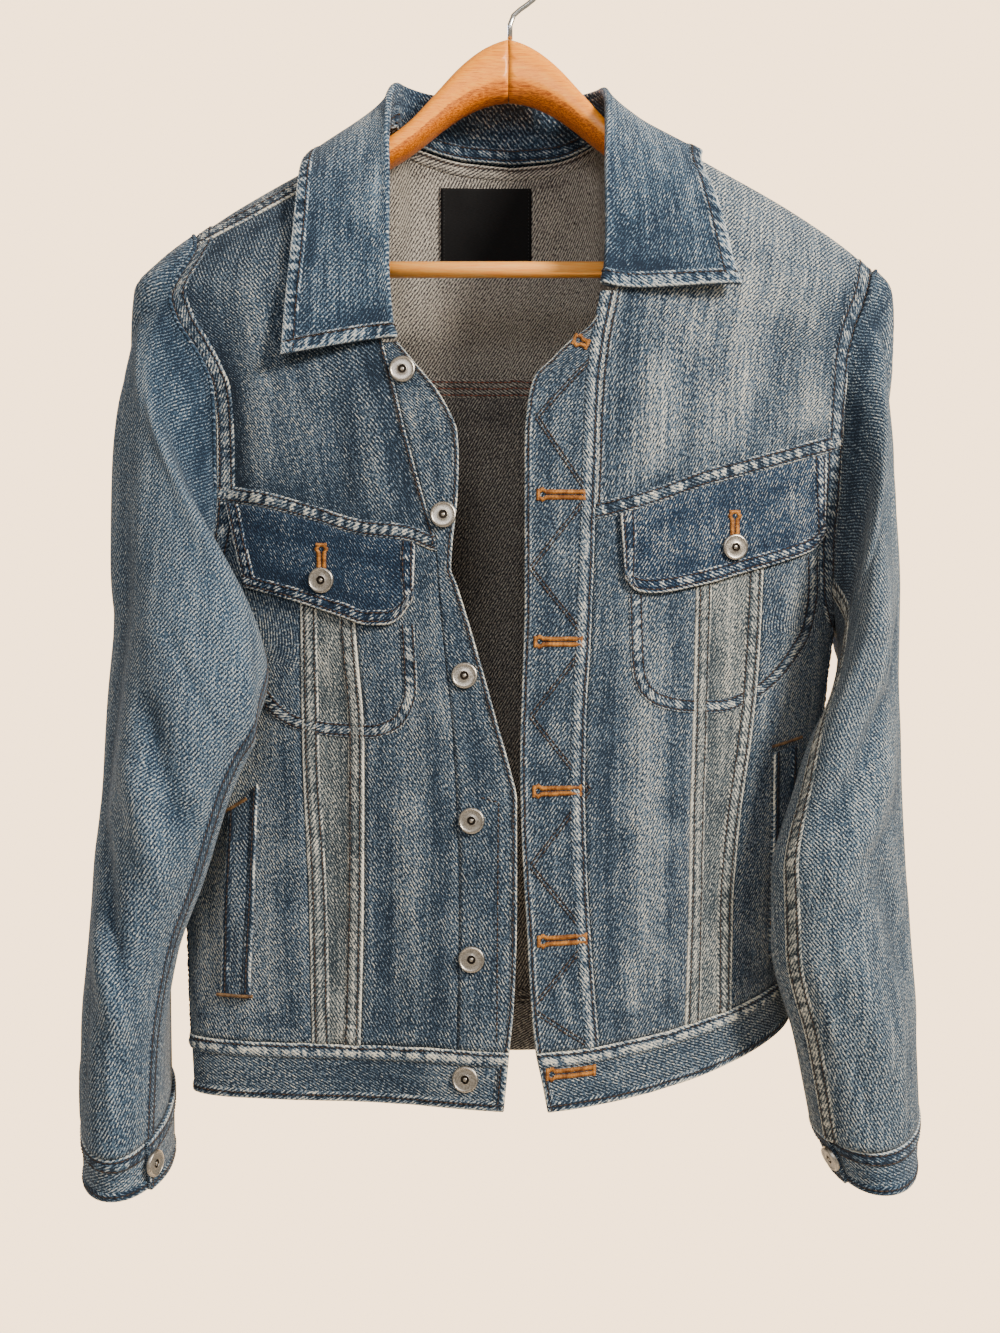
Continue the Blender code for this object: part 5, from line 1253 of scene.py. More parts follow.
class Seam:
    """The section of a seam: how wide and thick it is, where its rows of stitches lie, and how
    puckered, roped and pale it is."""

    def __init__(self, width, rows, thick=0.9, pucker=1.0, pale=0.9, ground=0.0, roping=0.0,
                 edge_wide=0.95):
        self.width, self.rows, self.thick = width, rows, thick
        self.pucker, self.pale, self.ground, self.roping = pucker, pale, ground, roping
        self.edge_wide = edge_wide
        picked = {0.0, NEAR_EDGE, EDGE_ROUNDS, *(width - near for near in NEAR_FALL), width}
        for r in rows:
            picked |= {r - NEAR_ROW, r, r + NEAR_ROW}
        last = 0.0
        for r in sorted(picked):
            while r - last > WIDEST_STEP:
                last += COLUMN_STEP
                picked.add(last)
            last = r
        self.columns = np.array(sorted(d for d in picked if 0 <= d <= width))

    def between(self, d):
        """1 between the turned edge or first row and the last row, and 0 past them."""
        first = self.rows[0] if len(self.rows) > 1 else EDGE_ROUNDS
        last = self.rows[-1]
        return (ease((d - first + PUCKER_PAST) / PUCKER_ENDS)
                * ease((last - d + PUCKER_PAST) / PUCKER_ENDS))

    def blotch(self, s, d, seed):
        """The puckers across a seam: slanted, uneven, light on their crests."""
        slant = s + PUCKER_SLANT * d
        even = np.sin(slant * 2 * np.pi / PUCKER_EVERY + 2.2 * rumple(s, 0 * s, 11, seed))
        uneven = rumple(slant, 0 * s, 2.7, seed + 1) + 0.5 * rumple(slant, d, 1.9, seed + 2)
        return np.clip(0.55 * even + 0.9 * uneven + 0.1, -1, 1)

    def height(self, s, d, seed):
        turned = np.sqrt(np.clip(1 - (1 - np.clip(d / EDGE_ROUNDS, 0, 1)) ** 2, 0, 1))
        fall = 1 - ease((d - self.width + EDGE_FALLS) / EDGE_FALLS)
        height = self.thick * turned * fall + PUCKER_HIGH * self.pucker * self.between(d) * (
            self.blotch(s, d, seed))
        height = height + ROPING_HIGH * self.roping * bell(d - ROPING_AT, ROPING_WIDE) * (
            0.6 + self.blotch(s, d, seed + 4))
        for r in self.rows:
            height = height - ROW_DEEP * bell(d - r, ROW_SUNK)
        return height

    def shade(self, s, d, seed):
        patchy = 0.75 + 0.45 * rumple(s, 0 * s, 9, seed + 2)
        wear = self.ground + self.pale * patchy * bell(d, self.edge_wide)
        wear = wear + PUCKER_PALE * self.pucker * self.between(d) * self.blotch(s, d, seed)
        inside = bell(d - self.rows[-1] - INNER_AT, INNER_WIDE)
        wear = wear + INNER_PALE * self.pale * inside * (0.4 + rumple(s, 0 * s, 7, seed + 3))
        for r in self.rows:
            wear = wear - ROW_DARK * bell(d - r, ROW_WIDE)
        wear = wear + self.roping * bell(d - ROPING_AT, ROPING_WIDE) * (
            0.5 + 0.8 * self.blotch(s, d, seed + 4))
        return np.clip(SEAM_CONTRAST * wear, DARKEST, PALEST)


def spread(place):
    """The length of a line of places, and the share t at each length along it."""
    t = np.linspace(0, 1, SPREAD_KNOTS)
    along = steps_along(place(t, 0 * t)[:, None], 0)[:, 0]
    return along[-1], lambda s: np.interp(s, along, t)


def out_of(cloth, place, points, share, across, flip):
    """Unit normals of a grid of places, rows along the line, away from the cloth's hub."""
    normals = unit(np.cross(np.gradient(points, axis=0), across))
    away = points - cloth.hub(place.down(share)).reshape(-1, 1, 3)
    away[..., 2] = 0
    turned = flip if (normals * away).sum() > 0 else -flip
    return normals * turned, turned


def sew(cloth, where, seam, thread=None, flip=1, raised=0.0, finish=None, seed=None):
    """Lays a seam's turned edge along an edge, a part of an edge or a line of places, and
    stitches its rows. flip -1 puts it on the side that faces the hub."""
    edge = (where,) if isinstance(where, str) else where
    place = cloth.edge(*edge) if isinstance(edge, tuple) else where
    cloth.seams += 1
    seed = seed or cloth.seed + cloth.seams
    length, share = spread(place)
    s = np.linspace(0, length, max(3, round(length / SEAM_CELL)))
    ss, dd = np.meshgrid(s, seam.columns, indexing="ij")
    points = place(share(ss), dd)
    normals, turned = out_of(cloth, place, points, share(s), np.gradient(points, axis=1), flip)
    base = cloth.wall / 2 + raised
    top = points + normals * (base + seam.height(ss, dd, seed))[..., None]
    low = (points + normals * (base - UNDER_SEAM))[:, [0, -1]]
    rows, columns = ss.shape
    index = np.arange(rows * columns).reshape(rows, columns)
    under = np.arange(rows * 2).reshape(rows, 2) + rows * columns
    quads = [np.stack([index[:-1, :-1], index[1:, :-1], index[1:, 1:], index[:-1, 1:]], -1),
             np.stack([index[1:, 0], index[:-1, 0], under[:-1, 0], under[1:, 0]], -1),
             np.stack([index[:-1, -1], index[1:, -1], under[1:, 1], under[:-1, 1]], -1),
             np.stack([under[:-1, 0], under[:-1, 1], under[1:, 1], under[1:, 0]], -1)]
    faces = np.concatenate([q.reshape(-1, 4) for q in quads]).tolist()
    faces.append([*index[0].tolist(), under[0, 1], under[0, 0]])
    faces.append([*index[-1, ::-1].tolist(), under[-1, 0], under[-1, 1]])
    if turned < 0:
        faces = [face[::-1] for face in faces]
    wear = seam.shade(ss, dd, seed)
    grain = np.stack([dd, ss], -1) + seed * SEAM_BOLT_STEP
    finish = finish or (cloth.finish if flip > 0 else cloth.wrong)
    cloth.ribbons.setdefault(finish, []).append(
        (np.concatenate([top.reshape(-1, 3), low.reshape(-1, 3)]), faces,
         np.concatenate([grain.reshape(-1, 2), grain[:, [0, -1]].reshape(-1, 2)]),
         np.concatenate([wear.ravel(), np.zeros(rows * 2)])))
    for r in seam.rows:
        stitch(cloth, place, r, base + seam.thick - THREAD_SUNK, thread or BROWN, flip)


def stitch(cloth, place, d, height, thread, flip=1, pitch=STITCH, size=THREAD):
    """A row of stitches at a distance d from a line of places."""
    length, share = spread(lambda t, zero: place(t, zero + d))
    count = max(1, int(length / pitch))
    middle = (np.arange(count) + 0.5) * length / count
    s = middle[:, None] + np.array([-1, 0, 1]) * STITCH_SHARE * pitch
    dd = np.full_like(s, d)
    here = place(share(s), dd)
    along = (place(share(np.clip(s + STITCH_REACH, 0, length)), dd)
             - place(share(np.clip(s - STITCH_REACH, 0, length)), dd))
    beside = place(share(s), dd + STITCH_REACH) - place(share(s), dd - STITCH_REACH)
    up = unit(np.cross(along, beside))
    away = here - cloth.hub(place.down(share(middle))).reshape(-1, 1, 3)
    away[..., 2] = 0
    up = up * (flip if (up * away).sum() > 0 else -flip)
    dips = height + np.array([-STITCH_DIP, 0.0, -STITCH_DIP])
    lay_thread(cloth, here + up * dips[:, None], up, thread, size)


def lay_thread(cloth, paths, up, thread, size):
    """Short threads: paths is (count, 3, 3), up the direction out of the cloth at each point."""
    along = unit(np.gradient(paths, axis=1))
    beside = unit(np.cross(up, along))
    up = np.cross(along, beside)
    count, rings = paths.shape[:2]
    turns = np.arange(THREAD_SIDES) * 2 * np.pi / THREAD_SIDES + np.pi / 2
    thick = size * np.array([THREAD_END, 1.0, THREAD_END])[None, :, None, None]
    ring = (paths[:, :, None] + thick * (np.cos(turns)[:, None] * beside[:, :, None]
                                         + np.sin(turns)[:, None] * up[:, :, None]))
    index = np.arange(count * rings * THREAD_SIDES).reshape(count, rings, THREAD_SIDES)
    ahead = np.roll(index, -1, axis=2)
    sides = np.stack([index[:, :-1], ahead[:, :-1], ahead[:, 1:], index[:, 1:]], -1)
    faces = (sides.reshape(-1, 4).tolist() + index[:, 0, ::-1].tolist() + index[:, -1].tolist())
    verts = ring.reshape(-1, 3)
    cloth.threads.setdefault(thread, []).append((verts, faces, verts[:, [0, 2]],
                                                 np.zeros(len(verts))))


def line_on_front(side, rows):
    """Places along a line of (x, z) rows on a front: d is how far to its left, looking down."""
    path = np.array(rows, float)
    along = np.concatenate([[0], np.cumsum(np.hypot(*np.diff(path, axis=0).T))])

    def place(t, d):
        s = t * along[-1]
        x, z = smooth(along, path[:, 0], s), smooth(along, path[:, 1], s)
        dx = smooth(along, path[:, 0], s + 0.5) - smooth(along, path[:, 0], s - 0.5)
        dz = smooth(along, path[:, 1], s + 0.5) - smooth(along, path[:, 1], s - 0.5)
        size = np.maximum(np.hypot(dx, dz), 1e-6)
        x, z = x - dz / size * d, z + dx / size * d
        return body_point(side, turn_at(side, x, z), z)
    place.down = np.zeros_like
    return place


def on_front(side, x, z, lift):
    """Points on a front's cloth, moved out by lift, and the direction out of it."""
    def point(px, pz):
        return body_point(side, turn_at(side, px, pz), pz)

    out = unit(np.cross(point(x + SEAT_STEP, z) - point(x - SEAT_STEP, z),
                        point(x, z - SEAT_STEP) - point(x, z + SEAT_STEP)))
    out = out * np.where(out[..., 1:2] > 0, -1, 1)
    return point(x, z) + out * lift, out


# Finishes
def linear(code):
    """A colour as written on screens, such as #4f6e8a, as the light it gives off."""
    parts = [int(code[k:k + 2], 16) / 255 for k in (1, 3, 5)]
    return [p / 12.92 if p <= 0.04045 else ((p + 0.055) / 1.055) ** 2.4 for p in parts] + [1.0]


class Nodes:
    """The nodes of a finish or of the studio's light, before the one that ends the tree."""

    def __init__(self, tree, last, **numbers):
        self.tree, self.last = tree, tree.nodes[last]
        for name, value in numbers.items():
            self.set(name.replace("_", " "), value)

    def add(self, kind, *values, out=0, stops=(), **settings):
        """Adds a node with its settings, its inputs by place or by name, and a ramp's colours,
        and gives one of its outputs."""
        node = self.tree.nodes.new("ShaderNode" + kind)
        for name, value in settings.items():
            setattr(node, name, value)
        by_name = values and isinstance(values[0], dict)
        for name, value in values[0].items() if by_name else enumerate(values):
            self.put(node.inputs[name], value)
        for k, (at, code) in enumerate(stops):
            row = node.color_ramp.elements
            element = row[k] if k < len(row) else row.new(at)
            element.position, element.color = at, linear(code)
        return node.outputs[out]

    def put(self, socket, value):
        if isinstance(value, bpy.types.NodeSocket):
            self.tree.links.new(value, socket)
        else:
            socket.default_value = value

    def set(self, name, value):
        """Sets or links an input of the last node."""
        self.put(self.last.inputs[name], value)


def new_finish(name, **numbers):
    """A new material with its shader's own numbers, and its nodes."""
    material = bpy.data.materials.new(name)
    material.use_nodes = True
    return material, Nodes(material.node_tree, "Principled BSDF", **numbers)


def cloth_place(f):
    """The place on the cloth, across and down its grain, in millimetres."""
    uv = f.add("UVMap", uv_map="cloth")
    x = f.add("SeparateXYZ", f.add("VectorMath", uv, (1 / MM, 1 / MM, 1), operation="MULTIPLY"))
    return x, x.node.outputs["Y"]


def lumps(f, x, y, across, down, detail=2.0, rough=0.55):
    """Unevenness with lumps of that size across and down the cloth, in mm, from about 0 to 1."""
    place = f.add("CombineXYZ", f.add("Math", x, across, operation="DIVIDE"),
                  f.add("Math", y, down, operation="DIVIDE"))
    return f.add("TexNoise", {"Vector": place, "Scale": 1.0, "Detail": detail, "Roughness": rough},
                 noise_dimensions="2D")


def grain(f, finer, detail=2.0, twist=0.0):
    """Unevenness through a solid piece, so many times finer than a metre along X, Y and Z."""
    place = f.add("Mapping", {"Vector": f.add("TexCoord", out="Object"), "Scale": finer})
    return f.add("TexNoise", {"Vector": place, "Detail": detail, "Distortion": twist})


def relief(f, height, distance, strength):
    """A relief of that many millimetres in the light, for what is too fine for the mesh."""
    f.set("Normal", f.add("Bump", {"Height": height, "Distance": distance * MM,
                                   "Strength": strength}))


TWILL_PITCH = 2.2
TWILL_SLOPE = 0.62
# the share in the tone of how worn the cloth is and of the shade painted in its hollows
WEAR_AND_SHADE_SHARE = 0.3
RIB_SHARE = 0.27
# the share of each unevenness in the tone of the denim
SLUB_SHARE = 0.42
LONG_SLUB_SHARE = 0.24
SPECK_SHARE = 2.3
PATCH_SHARE = 0.22
FADE_SHARE = 0.16


def denim(name, ground, stops, streaks=1.0, twill=1.0, cloud=1.0):
    """Washed 14 oz denim: indigo warp worn back to its white core over an undyed weft. The eye
    sees slubs down the warp, white specks, a diagonal twill and pale crests. The twill is drawn
    at 2.2 mm, where the real one is about 0.8, so that it shows from the camera."""
    material, f = new_finish(name, Roughness=0.9, Sheen_Weight=0.12, Sheen_Roughness=0.5,
                         Specular_IOR_Level=0.25)
    x, y = cloth_place(f)
    slanted = f.add("Math", y, TWILL_SLOPE, x, operation="MULTIPLY_ADD")
    upright_to_it = f.add("Math", x, -TWILL_SLOPE, y, operation="MULTIPLY_ADD")
    slub = lumps(f, x, y, 1.3, 34.0, 3.0)
    speck = lumps(f, slanted, upright_to_it, 1.05, 2.3, 2.0, 0.7)
    drift = f.add("Math", lumps(f, x, y, 4.0, 9.0, 1.0), 2.4, operation="MULTIPLY")
    turns = f.add("Math", slanted, 2 * math.pi / TWILL_PITCH, operation="MULTIPLY")
    rib = f.add("Math", f.add("Math", turns, drift, operation="ADD"), operation="SINE")
    tone = f.add("Math", ground, f.add("Math", rib, RIB_SHARE * twill, operation="MULTIPLY"),
                 operation="ADD")
    for part, share in ((slub, SLUB_SHARE * streaks),
                        (lumps(f, x, y, 4.2, 120.0, 1.0), LONG_SLUB_SHARE * streaks),
                        (speck, SPECK_SHARE),
                        (lumps(f, x, y, 9.0, 16.0, 3.0), PATCH_SHARE * cloud),
                        (lumps(f, x, y, 70.0, 95.0, 2.0), FADE_SHARE * cloud)):
        part = f.add("Math", part, 0.5, operation="SUBTRACT")
        tone = f.add("Math", part, share, tone, operation="MULTIPLY_ADD")
    # how worn the cloth is, with the shade painted in its hollows and beside its seams
    wear = f.add("Attribute", out="Fac", attribute_name="wear")
    tone = f.add("Math", wear, WEAR_AND_SHADE_SHARE, tone, operation="MULTIPLY_ADD", use_clamp=True)
    f.set("Base Color", f.add("ValToRGB", tone, stops=stops))
    height = f.add("Math", f.add("Math", rib, 0.35, operation="MULTIPLY"),
                   f.add("Math", speck, 2.2, operation="MULTIPLY"), operation="ADD")
    relief(f, f.add("Math", height, slub, operation="ADD"), 0.35, 0.8)
    return material


def sewing_thread(name, dark, light):
    """Polyester core-spun topstitching thread: a soft sheen on a twisted round thread."""
    material, f = new_finish(name, Roughness=0.55)
    x, y = cloth_place(f)
    f.set("Base Color", f.add("ValToRGB", lumps(f, x, y, 5.0, 5.0),
                              stops=((0.32, dark), (0.68, light))))
    relief(f, lumps(f, x, y, 0.5, 0.5, 1.0), 0.1, 0.6)
    return material


def label_cloth():
    """Damask label: fine black satin weave with a faint shine."""
    material, f = new_finish("black_satin_label", Roughness=0.8, Specular_IOR_Level=0.2)
    weave = lumps(f, *cloth_place(f), 2.4, 0.35)
    f.set("Base Color", f.add("ValToRGB", weave, stops=((0.3, "#030304"), (0.7, "#0e0e10"))))
    relief(f, weave, 0.12, 0.6)
    return material


def pewter():
    """Die-cast zinc with a pewter plate: warm grey, softly brushed, darker where it is worn."""
    material, f = new_finish("pewter_plate", Metallic=1.0)
    tarnish = grain(f, (260, 260, 260), 3.0)
    f.set("Base Color", f.add("ValToRGB", tarnish, stops=(
        (0.3, "#8d867c"), (0.5, "#b3aca1"), (0.7, "#d0cabf"))))
    f.set("Roughness", f.add("Math", tarnish, 0.3, 0.22, operation="MULTIPLY_ADD"))
    relief(f, grain(f, (900, 900, 900)), 0.06, 0.5)
    return material


def dark_oxide():
    """The blackened well of a shank button."""
    material, f = new_finish("dark_oxide", Roughness=0.5, Metallic=0.8)
    f.set("Base Color", f.add("ValToRGB", grain(f, (800, 800, 800)),
                              stops=((0.3, "#1c1712"), (0.7, "#3a3128"))))
    return material


def varnished_wood(name, stops, underside=0.0):
    """Honey varnish on close-grained hardwood: long fine grain along the arm under a gloss. The
    underside is painted darker, as the shade that falls under the arm."""
    material, f = new_finish(name, Roughness=0.42, Specular_IOR_Level=0.35, Coat_Weight=0.15,
                         Coat_Roughness=0.22)
    pores = grain(f, (60, 1400, 1600))
    fine = f.add("Math", pores, 0.5, operation="SUBTRACT")
    mixed = f.add("Math", fine, 0.5, grain(f, (14, 210, 260), 5.0, 0.5), operation="MULTIPLY_ADD")
    # the underside is painted darker, as the shade under the arm
    facing_up = f.add("SeparateXYZ", f.add("NewGeometry", out="Normal"), out="Z")
    under = f.add("MapRange", {"Value": facing_up, "From Min": UNDERSIDE,
                               "From Max": UNDERSIDE - UNDERSIDE_BLEND, "To Max": underside})
    tone = f.add("Math", mixed, under, operation="SUBTRACT")
    f.set("Base Color", f.add("ValToRGB", tone, stops=stops))
    relief(f, pores, 0.08, 0.35)
    return material


def dark_glue():
    """The darkened line of a glued joint, with the wood's own unevenness."""
    material, f = new_finish("dark_glue", Roughness=0.6)
    stain = grain(f, (150, 150, 150))
    f.set("Base Color", f.add("ValToRGB", stain, stops=((0.3, "#5a3312"), (0.7, "#8a5524"))))
    relief(f, stain, 0.05, 0.4)
    return material


def bright_wire():
    """Nickel-plated steel wire, drawn, so finely scratched along its length."""
    material, f = new_finish("nickel_plated_wire", Metallic=1.0)
    drawn = grain(f, (900, 900, 60))
    f.set("Base Color", f.add("ValToRGB", drawn, stops=((0.3, "#a9a8a4"), (0.7, "#dcdbd7"))))
    f.set("Roughness", f.add("Math", drawn, 0.2, 0.1, operation="MULTIPLY_ADD"))
    return material


# from deepest to palest: indigo, washed indigo, worn blue-grey, and the white core of the warp
SLEEVE_SHADES = ((0.02, "#0f2032"), (0.34, "#30485d"), (0.62, "#6b8093"), (0.97, "#cdcfc8"))
PALE_SLEEVE_SHADES = ((0.02, "#0f1f2f"), (0.34, "#374c60"), (0.62, "#788994"), (0.97, "#d8d5c9"))
WORN_SHADES = ((0.02, "#101f2e"), (0.34, "#405569"), (0.62, "#8a949a"), (0.97, "#e6dfca"))
STRIP_SHADES = ((0.02, "#1f2a33"), (0.34, "#535f65"), (0.62, "#929591"), (0.97, "#e4decc"))
DEEP_SHADES = ((0.02, "#08192c"), (0.36, "#1d3852"), (0.64, "#5c6f81"), (0.97, "#d8d4c6"))
WRONG_SHADES = ((0.02, "#26262a"), (0.34, "#5f5c59"), (0.62, "#8f8a82"), (0.97, "#c9c2b4"))
ARM_WOOD = ((0.1, "#9c4806"), (0.3, "#e07d12"), (0.5, "#ff9714"), (0.72, "#ffae34"))
# the bar's wood is lighter than the arms' as painted light, since it sits in the collar's shade
BAR_WOOD_PAINTED_LIGHT = ((0.1, "#d07a2a"), (0.3, "#fc9a3e"), (0.5, "#ffae50"), (0.72, "#ffc16c"))
# the underside is painted darker as shade: it starts where the wood faces this far down, and is this
# much deeper in tone
UNDERSIDE = -0.22
UNDERSIDE_BLEND = 0.06
UNDERSIDE_PAINTED_SHADE = 0.27

BROWN = sewing_thread("brown_thread", "#1d1410", "#463222")
TAN = sewing_thread("tan_thread", "#4c321c", "#8c6a42")
RUST = sewing_thread("rust_thread", "#6e3222", "#a86248")
GOLD = sewing_thread("gold_thread", "#7c4710", "#c4853a")
# a dark thread for a buttonhole's slit: painted shade in the cut
SLIT_SHADE = sewing_thread("navy_thread", "#10161f", "#26313f")
BLACK = sewing_thread("black_thread", "#050506", "#17181a")


def make_finishes():
    return {
        "sleeve": denim("mid_wash_denim", 0.215, SLEEVE_SHADES, streaks=0.9),
        "worn_sleeve": denim("worn_sleeve_denim", 0.19, PALE_SLEEVE_SHADES, streaks=1.3),
        "worn": denim("light_wash_denim", 0.255, WORN_SHADES, streaks=1.6, cloud=0.6),
        # the left front yoke's denim, darkened as painted shade, since the light falls from the right
        "shade": denim("mid_grey_denim", 0.075, WORN_SHADES, streaks=1.3, cloud=0.7),
        "body": denim("body_wash_denim", 0.225, WORN_SHADES, streaks=1.05, cloud=0.8),
        "strip": denim("faded_grey_denim", 0.415, STRIP_SHADES, streaks=1.2, cloud=0.8),
        "flap": denim("flap_denim", 0.26, DEEP_SHADES, streaks=1.1, twill=1.3, cloud=1.6),
        "deep": denim("deep_indigo_denim", 0.165, DEEP_SHADES, streaks=0.7, cloud=1.6),
        "collar": denim("collar_denim", 0.165, SLEEVE_SHADES, streaks=1.7, cloud=1.3),
        "wrong": denim("denim_wrong_side", 0.5, WRONG_SHADES, streaks=0.35, twill=1.4, cloud=0.6),
        # the wrong side of the back and the waistband, darkened as the painted shade deep inside the
        # jacket
        "inside": denim("unfaded_wrong_side", 0.28, WRONG_SHADES, streaks=0.35, twill=1.4,
                        cloud=0.6),
        "label": label_cloth(),
        "pewter": pewter(),
        "oxide": dark_oxide(),
        "wood": varnished_wood("honey_varnished_wood", ARM_WOOD, UNDERSIDE_PAINTED_SHADE),
        # the bar, lightened as painted light
        "bar_wood": varnished_wood("pale_varnished_wood", BAR_WOOD_PAINTED_LIGHT),
        "wire": bright_wire(),
        "glue": dark_glue(),
    }


# The jacket. Seams are named by what they hold: felled ones have two rows of stitches, turned
# edges one row.
FELLED = Seam(11.3, (1.9, 9.2), thick=1.0, pale=1.3, pucker=1.25)
SHOULDER = Seam(12.5, (2.2, 9.8), thick=1.1, pale=1.7, pucker=1.2, edge_wide=1.3)
ARMHOLE_SEAM = Seam(13.0, (2.2, 10.6), thick=1.0, pale=1.9, pucker=0.6, edge_wide=1.4)
STRIP_SEAM = Seam(11.6, (2.9, 9.6), thick=0.9, pale=1.5, pucker=0.4, edge_wide=1.25)
SLEEVE_SEAM = Seam(10.6, (2.2, 8.6), thick=0.8, pale=1.1, pucker=0.45, edge_wide=1.1)
PALE_SLEEVE_SEAM = Seam(12.0, (2.4, 9.6), thick=0.9, pale=1.5, pucker=0.9, edge_wide=1.3)
QUIET_SEAM = Seam(10.6, (2.2, 8.6), thick=0.5, pale=0.25, pucker=0.15)
TURNED = Seam(4.6, (2.3,), thick=0.7, pale=1.1, pucker=0.5)
PLACKET_EDGE = Seam(10.0, (2.2,), thick=0.7, pale=0.9, pucker=0.5, roping=0.55)
WELT_EDGE = Seam(6.2, (3.2,), thick=1.0, pale=1.9, pucker=0.2, ground=-0.7, edge_wide=1.35)
BAND_TOP_SEAM = Seam(10.0, (2.1,), thick=1.3, pale=1.5, roping=1.4, edge_wide=1.0)
BAND_LOW_SEAM = Seam(6.4, (3.6,), thick=0.8, pale=1.3, pucker=0.9, edge_wide=1.1)
FLAP_SEAM = Seam(9.8, (2.3, 8.0), thick=0.8, pale=1.9, pucker=1.0, edge_wide=1.5)
COLLAR_SEAM = Seam(10.5, (8.2,), thick=0.8, pale=1.8, pucker=1.1, ground=0.2, edge_wide=1.4)
CUFF_TOP_SEAM = Seam(10.4, (2.3, 8.8), thick=1.0, pale=1.6, pucker=0.8, edge_wide=1.3)
INSIDE_SEAM = Seam(14.0, (2.0, 6.8, 11.6), thick=0.8, pale=0.3, pucker=0.15)
INSIDE_EDGE = Seam(9.0, (2.2,), thick=0.8, pale=0.9, pucker=0.3)
POCKET_LINE = Seam(9.2, (1.4, 7.8), thick=0.25, pale=0.5, pucker=0.8, ground=0.25)
POCKET_RAISED = 0.5
FLAP_RAISED = 0.15
BAND_PALE = -0.35
# the collar's leaf shows from this share of its width, and its stand's seam at the back only
LEAF_FROM = 0.65
STAND_SEAM = (0.28, 0.72)
# the seam allowance rolled up in the armhole: how far it lies out of the sleeve's end, how thick
# it is and how worn
ALLOWANCE_STEPS = 150
ALLOWANCE_SIDES = 8
ALLOWANCE_OUT = 1.2
ALLOWANCE_RADIUS = 1.35
ALLOWANCE_WEAR = -0.3

POCKET_STITCH = {
    LEFT: ((65, -475), (63, -519), (66, -531), (75, -544), (94, -550), (120, -549), (146, -544),
        (162, -534), (174, -519)),
    RIGHT: ((75, -456), (77, -506), (81, -519), (93, -530), (116, -535), (136, -536), (160, -528),
        (176, -517), (190, -500), (203, -478), (207, -451), (206, -428))}
# the end that shows of the right placket's turned-back top buttonhole, and then the centre of
# each other one and how far its outer end drops
TOP_HOLE = (44, -290, 2.0)
TOP_HOLE_HALF = 4.5
BUTTONHOLES = ((31, -391, 0), (29, -487, 0), (28, -584, 0), (31, -680, 0), (36, -764, 1))
ZIGZAG_LEFT = 11
ZIGZAG_RIGHT = 49
HOLE_HALF = 15.0
HOLE_WIDE = 3.3
HOLE_OPEN = 0.32
HOLE_STEP = 0.85
EYE = 2.2
EYE_LONG = 2.4
EYE_ROUND = 0.8
HOLE_THREAD = 0.5
HOLE_RISE = 0.5
# the bars across a buttonhole's ends: how far they reach past the eye, their thread and how far
# it reaches back and ahead
END_PAST_EYE = 1.2
END_STEP = 0.7
END_THREAD = 0.45
END_BACK, END_AHEAD = -1.1, 1.3
SLIT_SUNK = 0.3
FLAP_HOLE_HALF = 8.5
# the sleeve hides the rest of the left welt's top
WELT_TACK_FROM = {LEFT: 0.45, RIGHT: 0.0}
FLAP_HOLE_ABOVE = 6.0
BARTACK_STEP = 0.5
BARTACK_WIDE = 1.1
BARTACK_THREAD = 0.34
ACROSS_RISE = 0.45
# bartacks lie on the welts a little inside their ends, and reach a little past their sides
TACK_INSIDE = 0.012
TACK_PAST = 2
TACK_LIFT = 1.0
# a short row on the left placket, and a long one from its start down to the band
SHORT_LINE = ((10, -591), (22, -588))
LONG_LINE_END = (11, -744)
ZIGZAG_APART = 1.1
LABEL_STITCH = 2.4
LABEL_THREAD = 0.3
# the seed of each piece's unevenness; its seams count up from it
FRONT_SEED = {LEFT: 20, RIGHT: 60}
SLEEVE_SEED = {LEFT: 160, RIGHT: 190}
YOKE_SIDE = FRONT_ROWS_ABOVE / FRONT_ROWS
BACK_SIDE = BACK_ROWS_ABOVE / BACK_ROWS


def threads_across(cloth, line, out, beside, low, high, thread, size):
    """A row of short threads that lie across a line of points, from low to high beside it."""
    mid = (low + high) / 2
    paths = np.stack([line + beside * low, line + beside * mid + out * ACROSS_RISE,
                      line + beside * high], axis=1)
    lay_thread(cloth, paths, np.repeat(out[:, None], 3, axis=1), thread, size)


def bartack(cloth, side, start, stop, lift, thread):
    """A dense bar of stitches from one (x, z) to another."""
    start, stop = np.array(start, float), np.array(stop, float)
    length = np.hypot(*(stop - start))
    t = np.linspace(0, 1, max(4, round(length / BARTACK_STEP)))[:, None]
    place = start + (stop - start) * t
    line, out = on_front(side, place[:, 0], place[:, 1], lift)
    along = unit(np.gradient(line, axis=0))
    threads_across(cloth, line, out, np.cross(out, along), -BARTACK_WIDE, BARTACK_WIDE, thread,
                   BARTACK_THREAD)


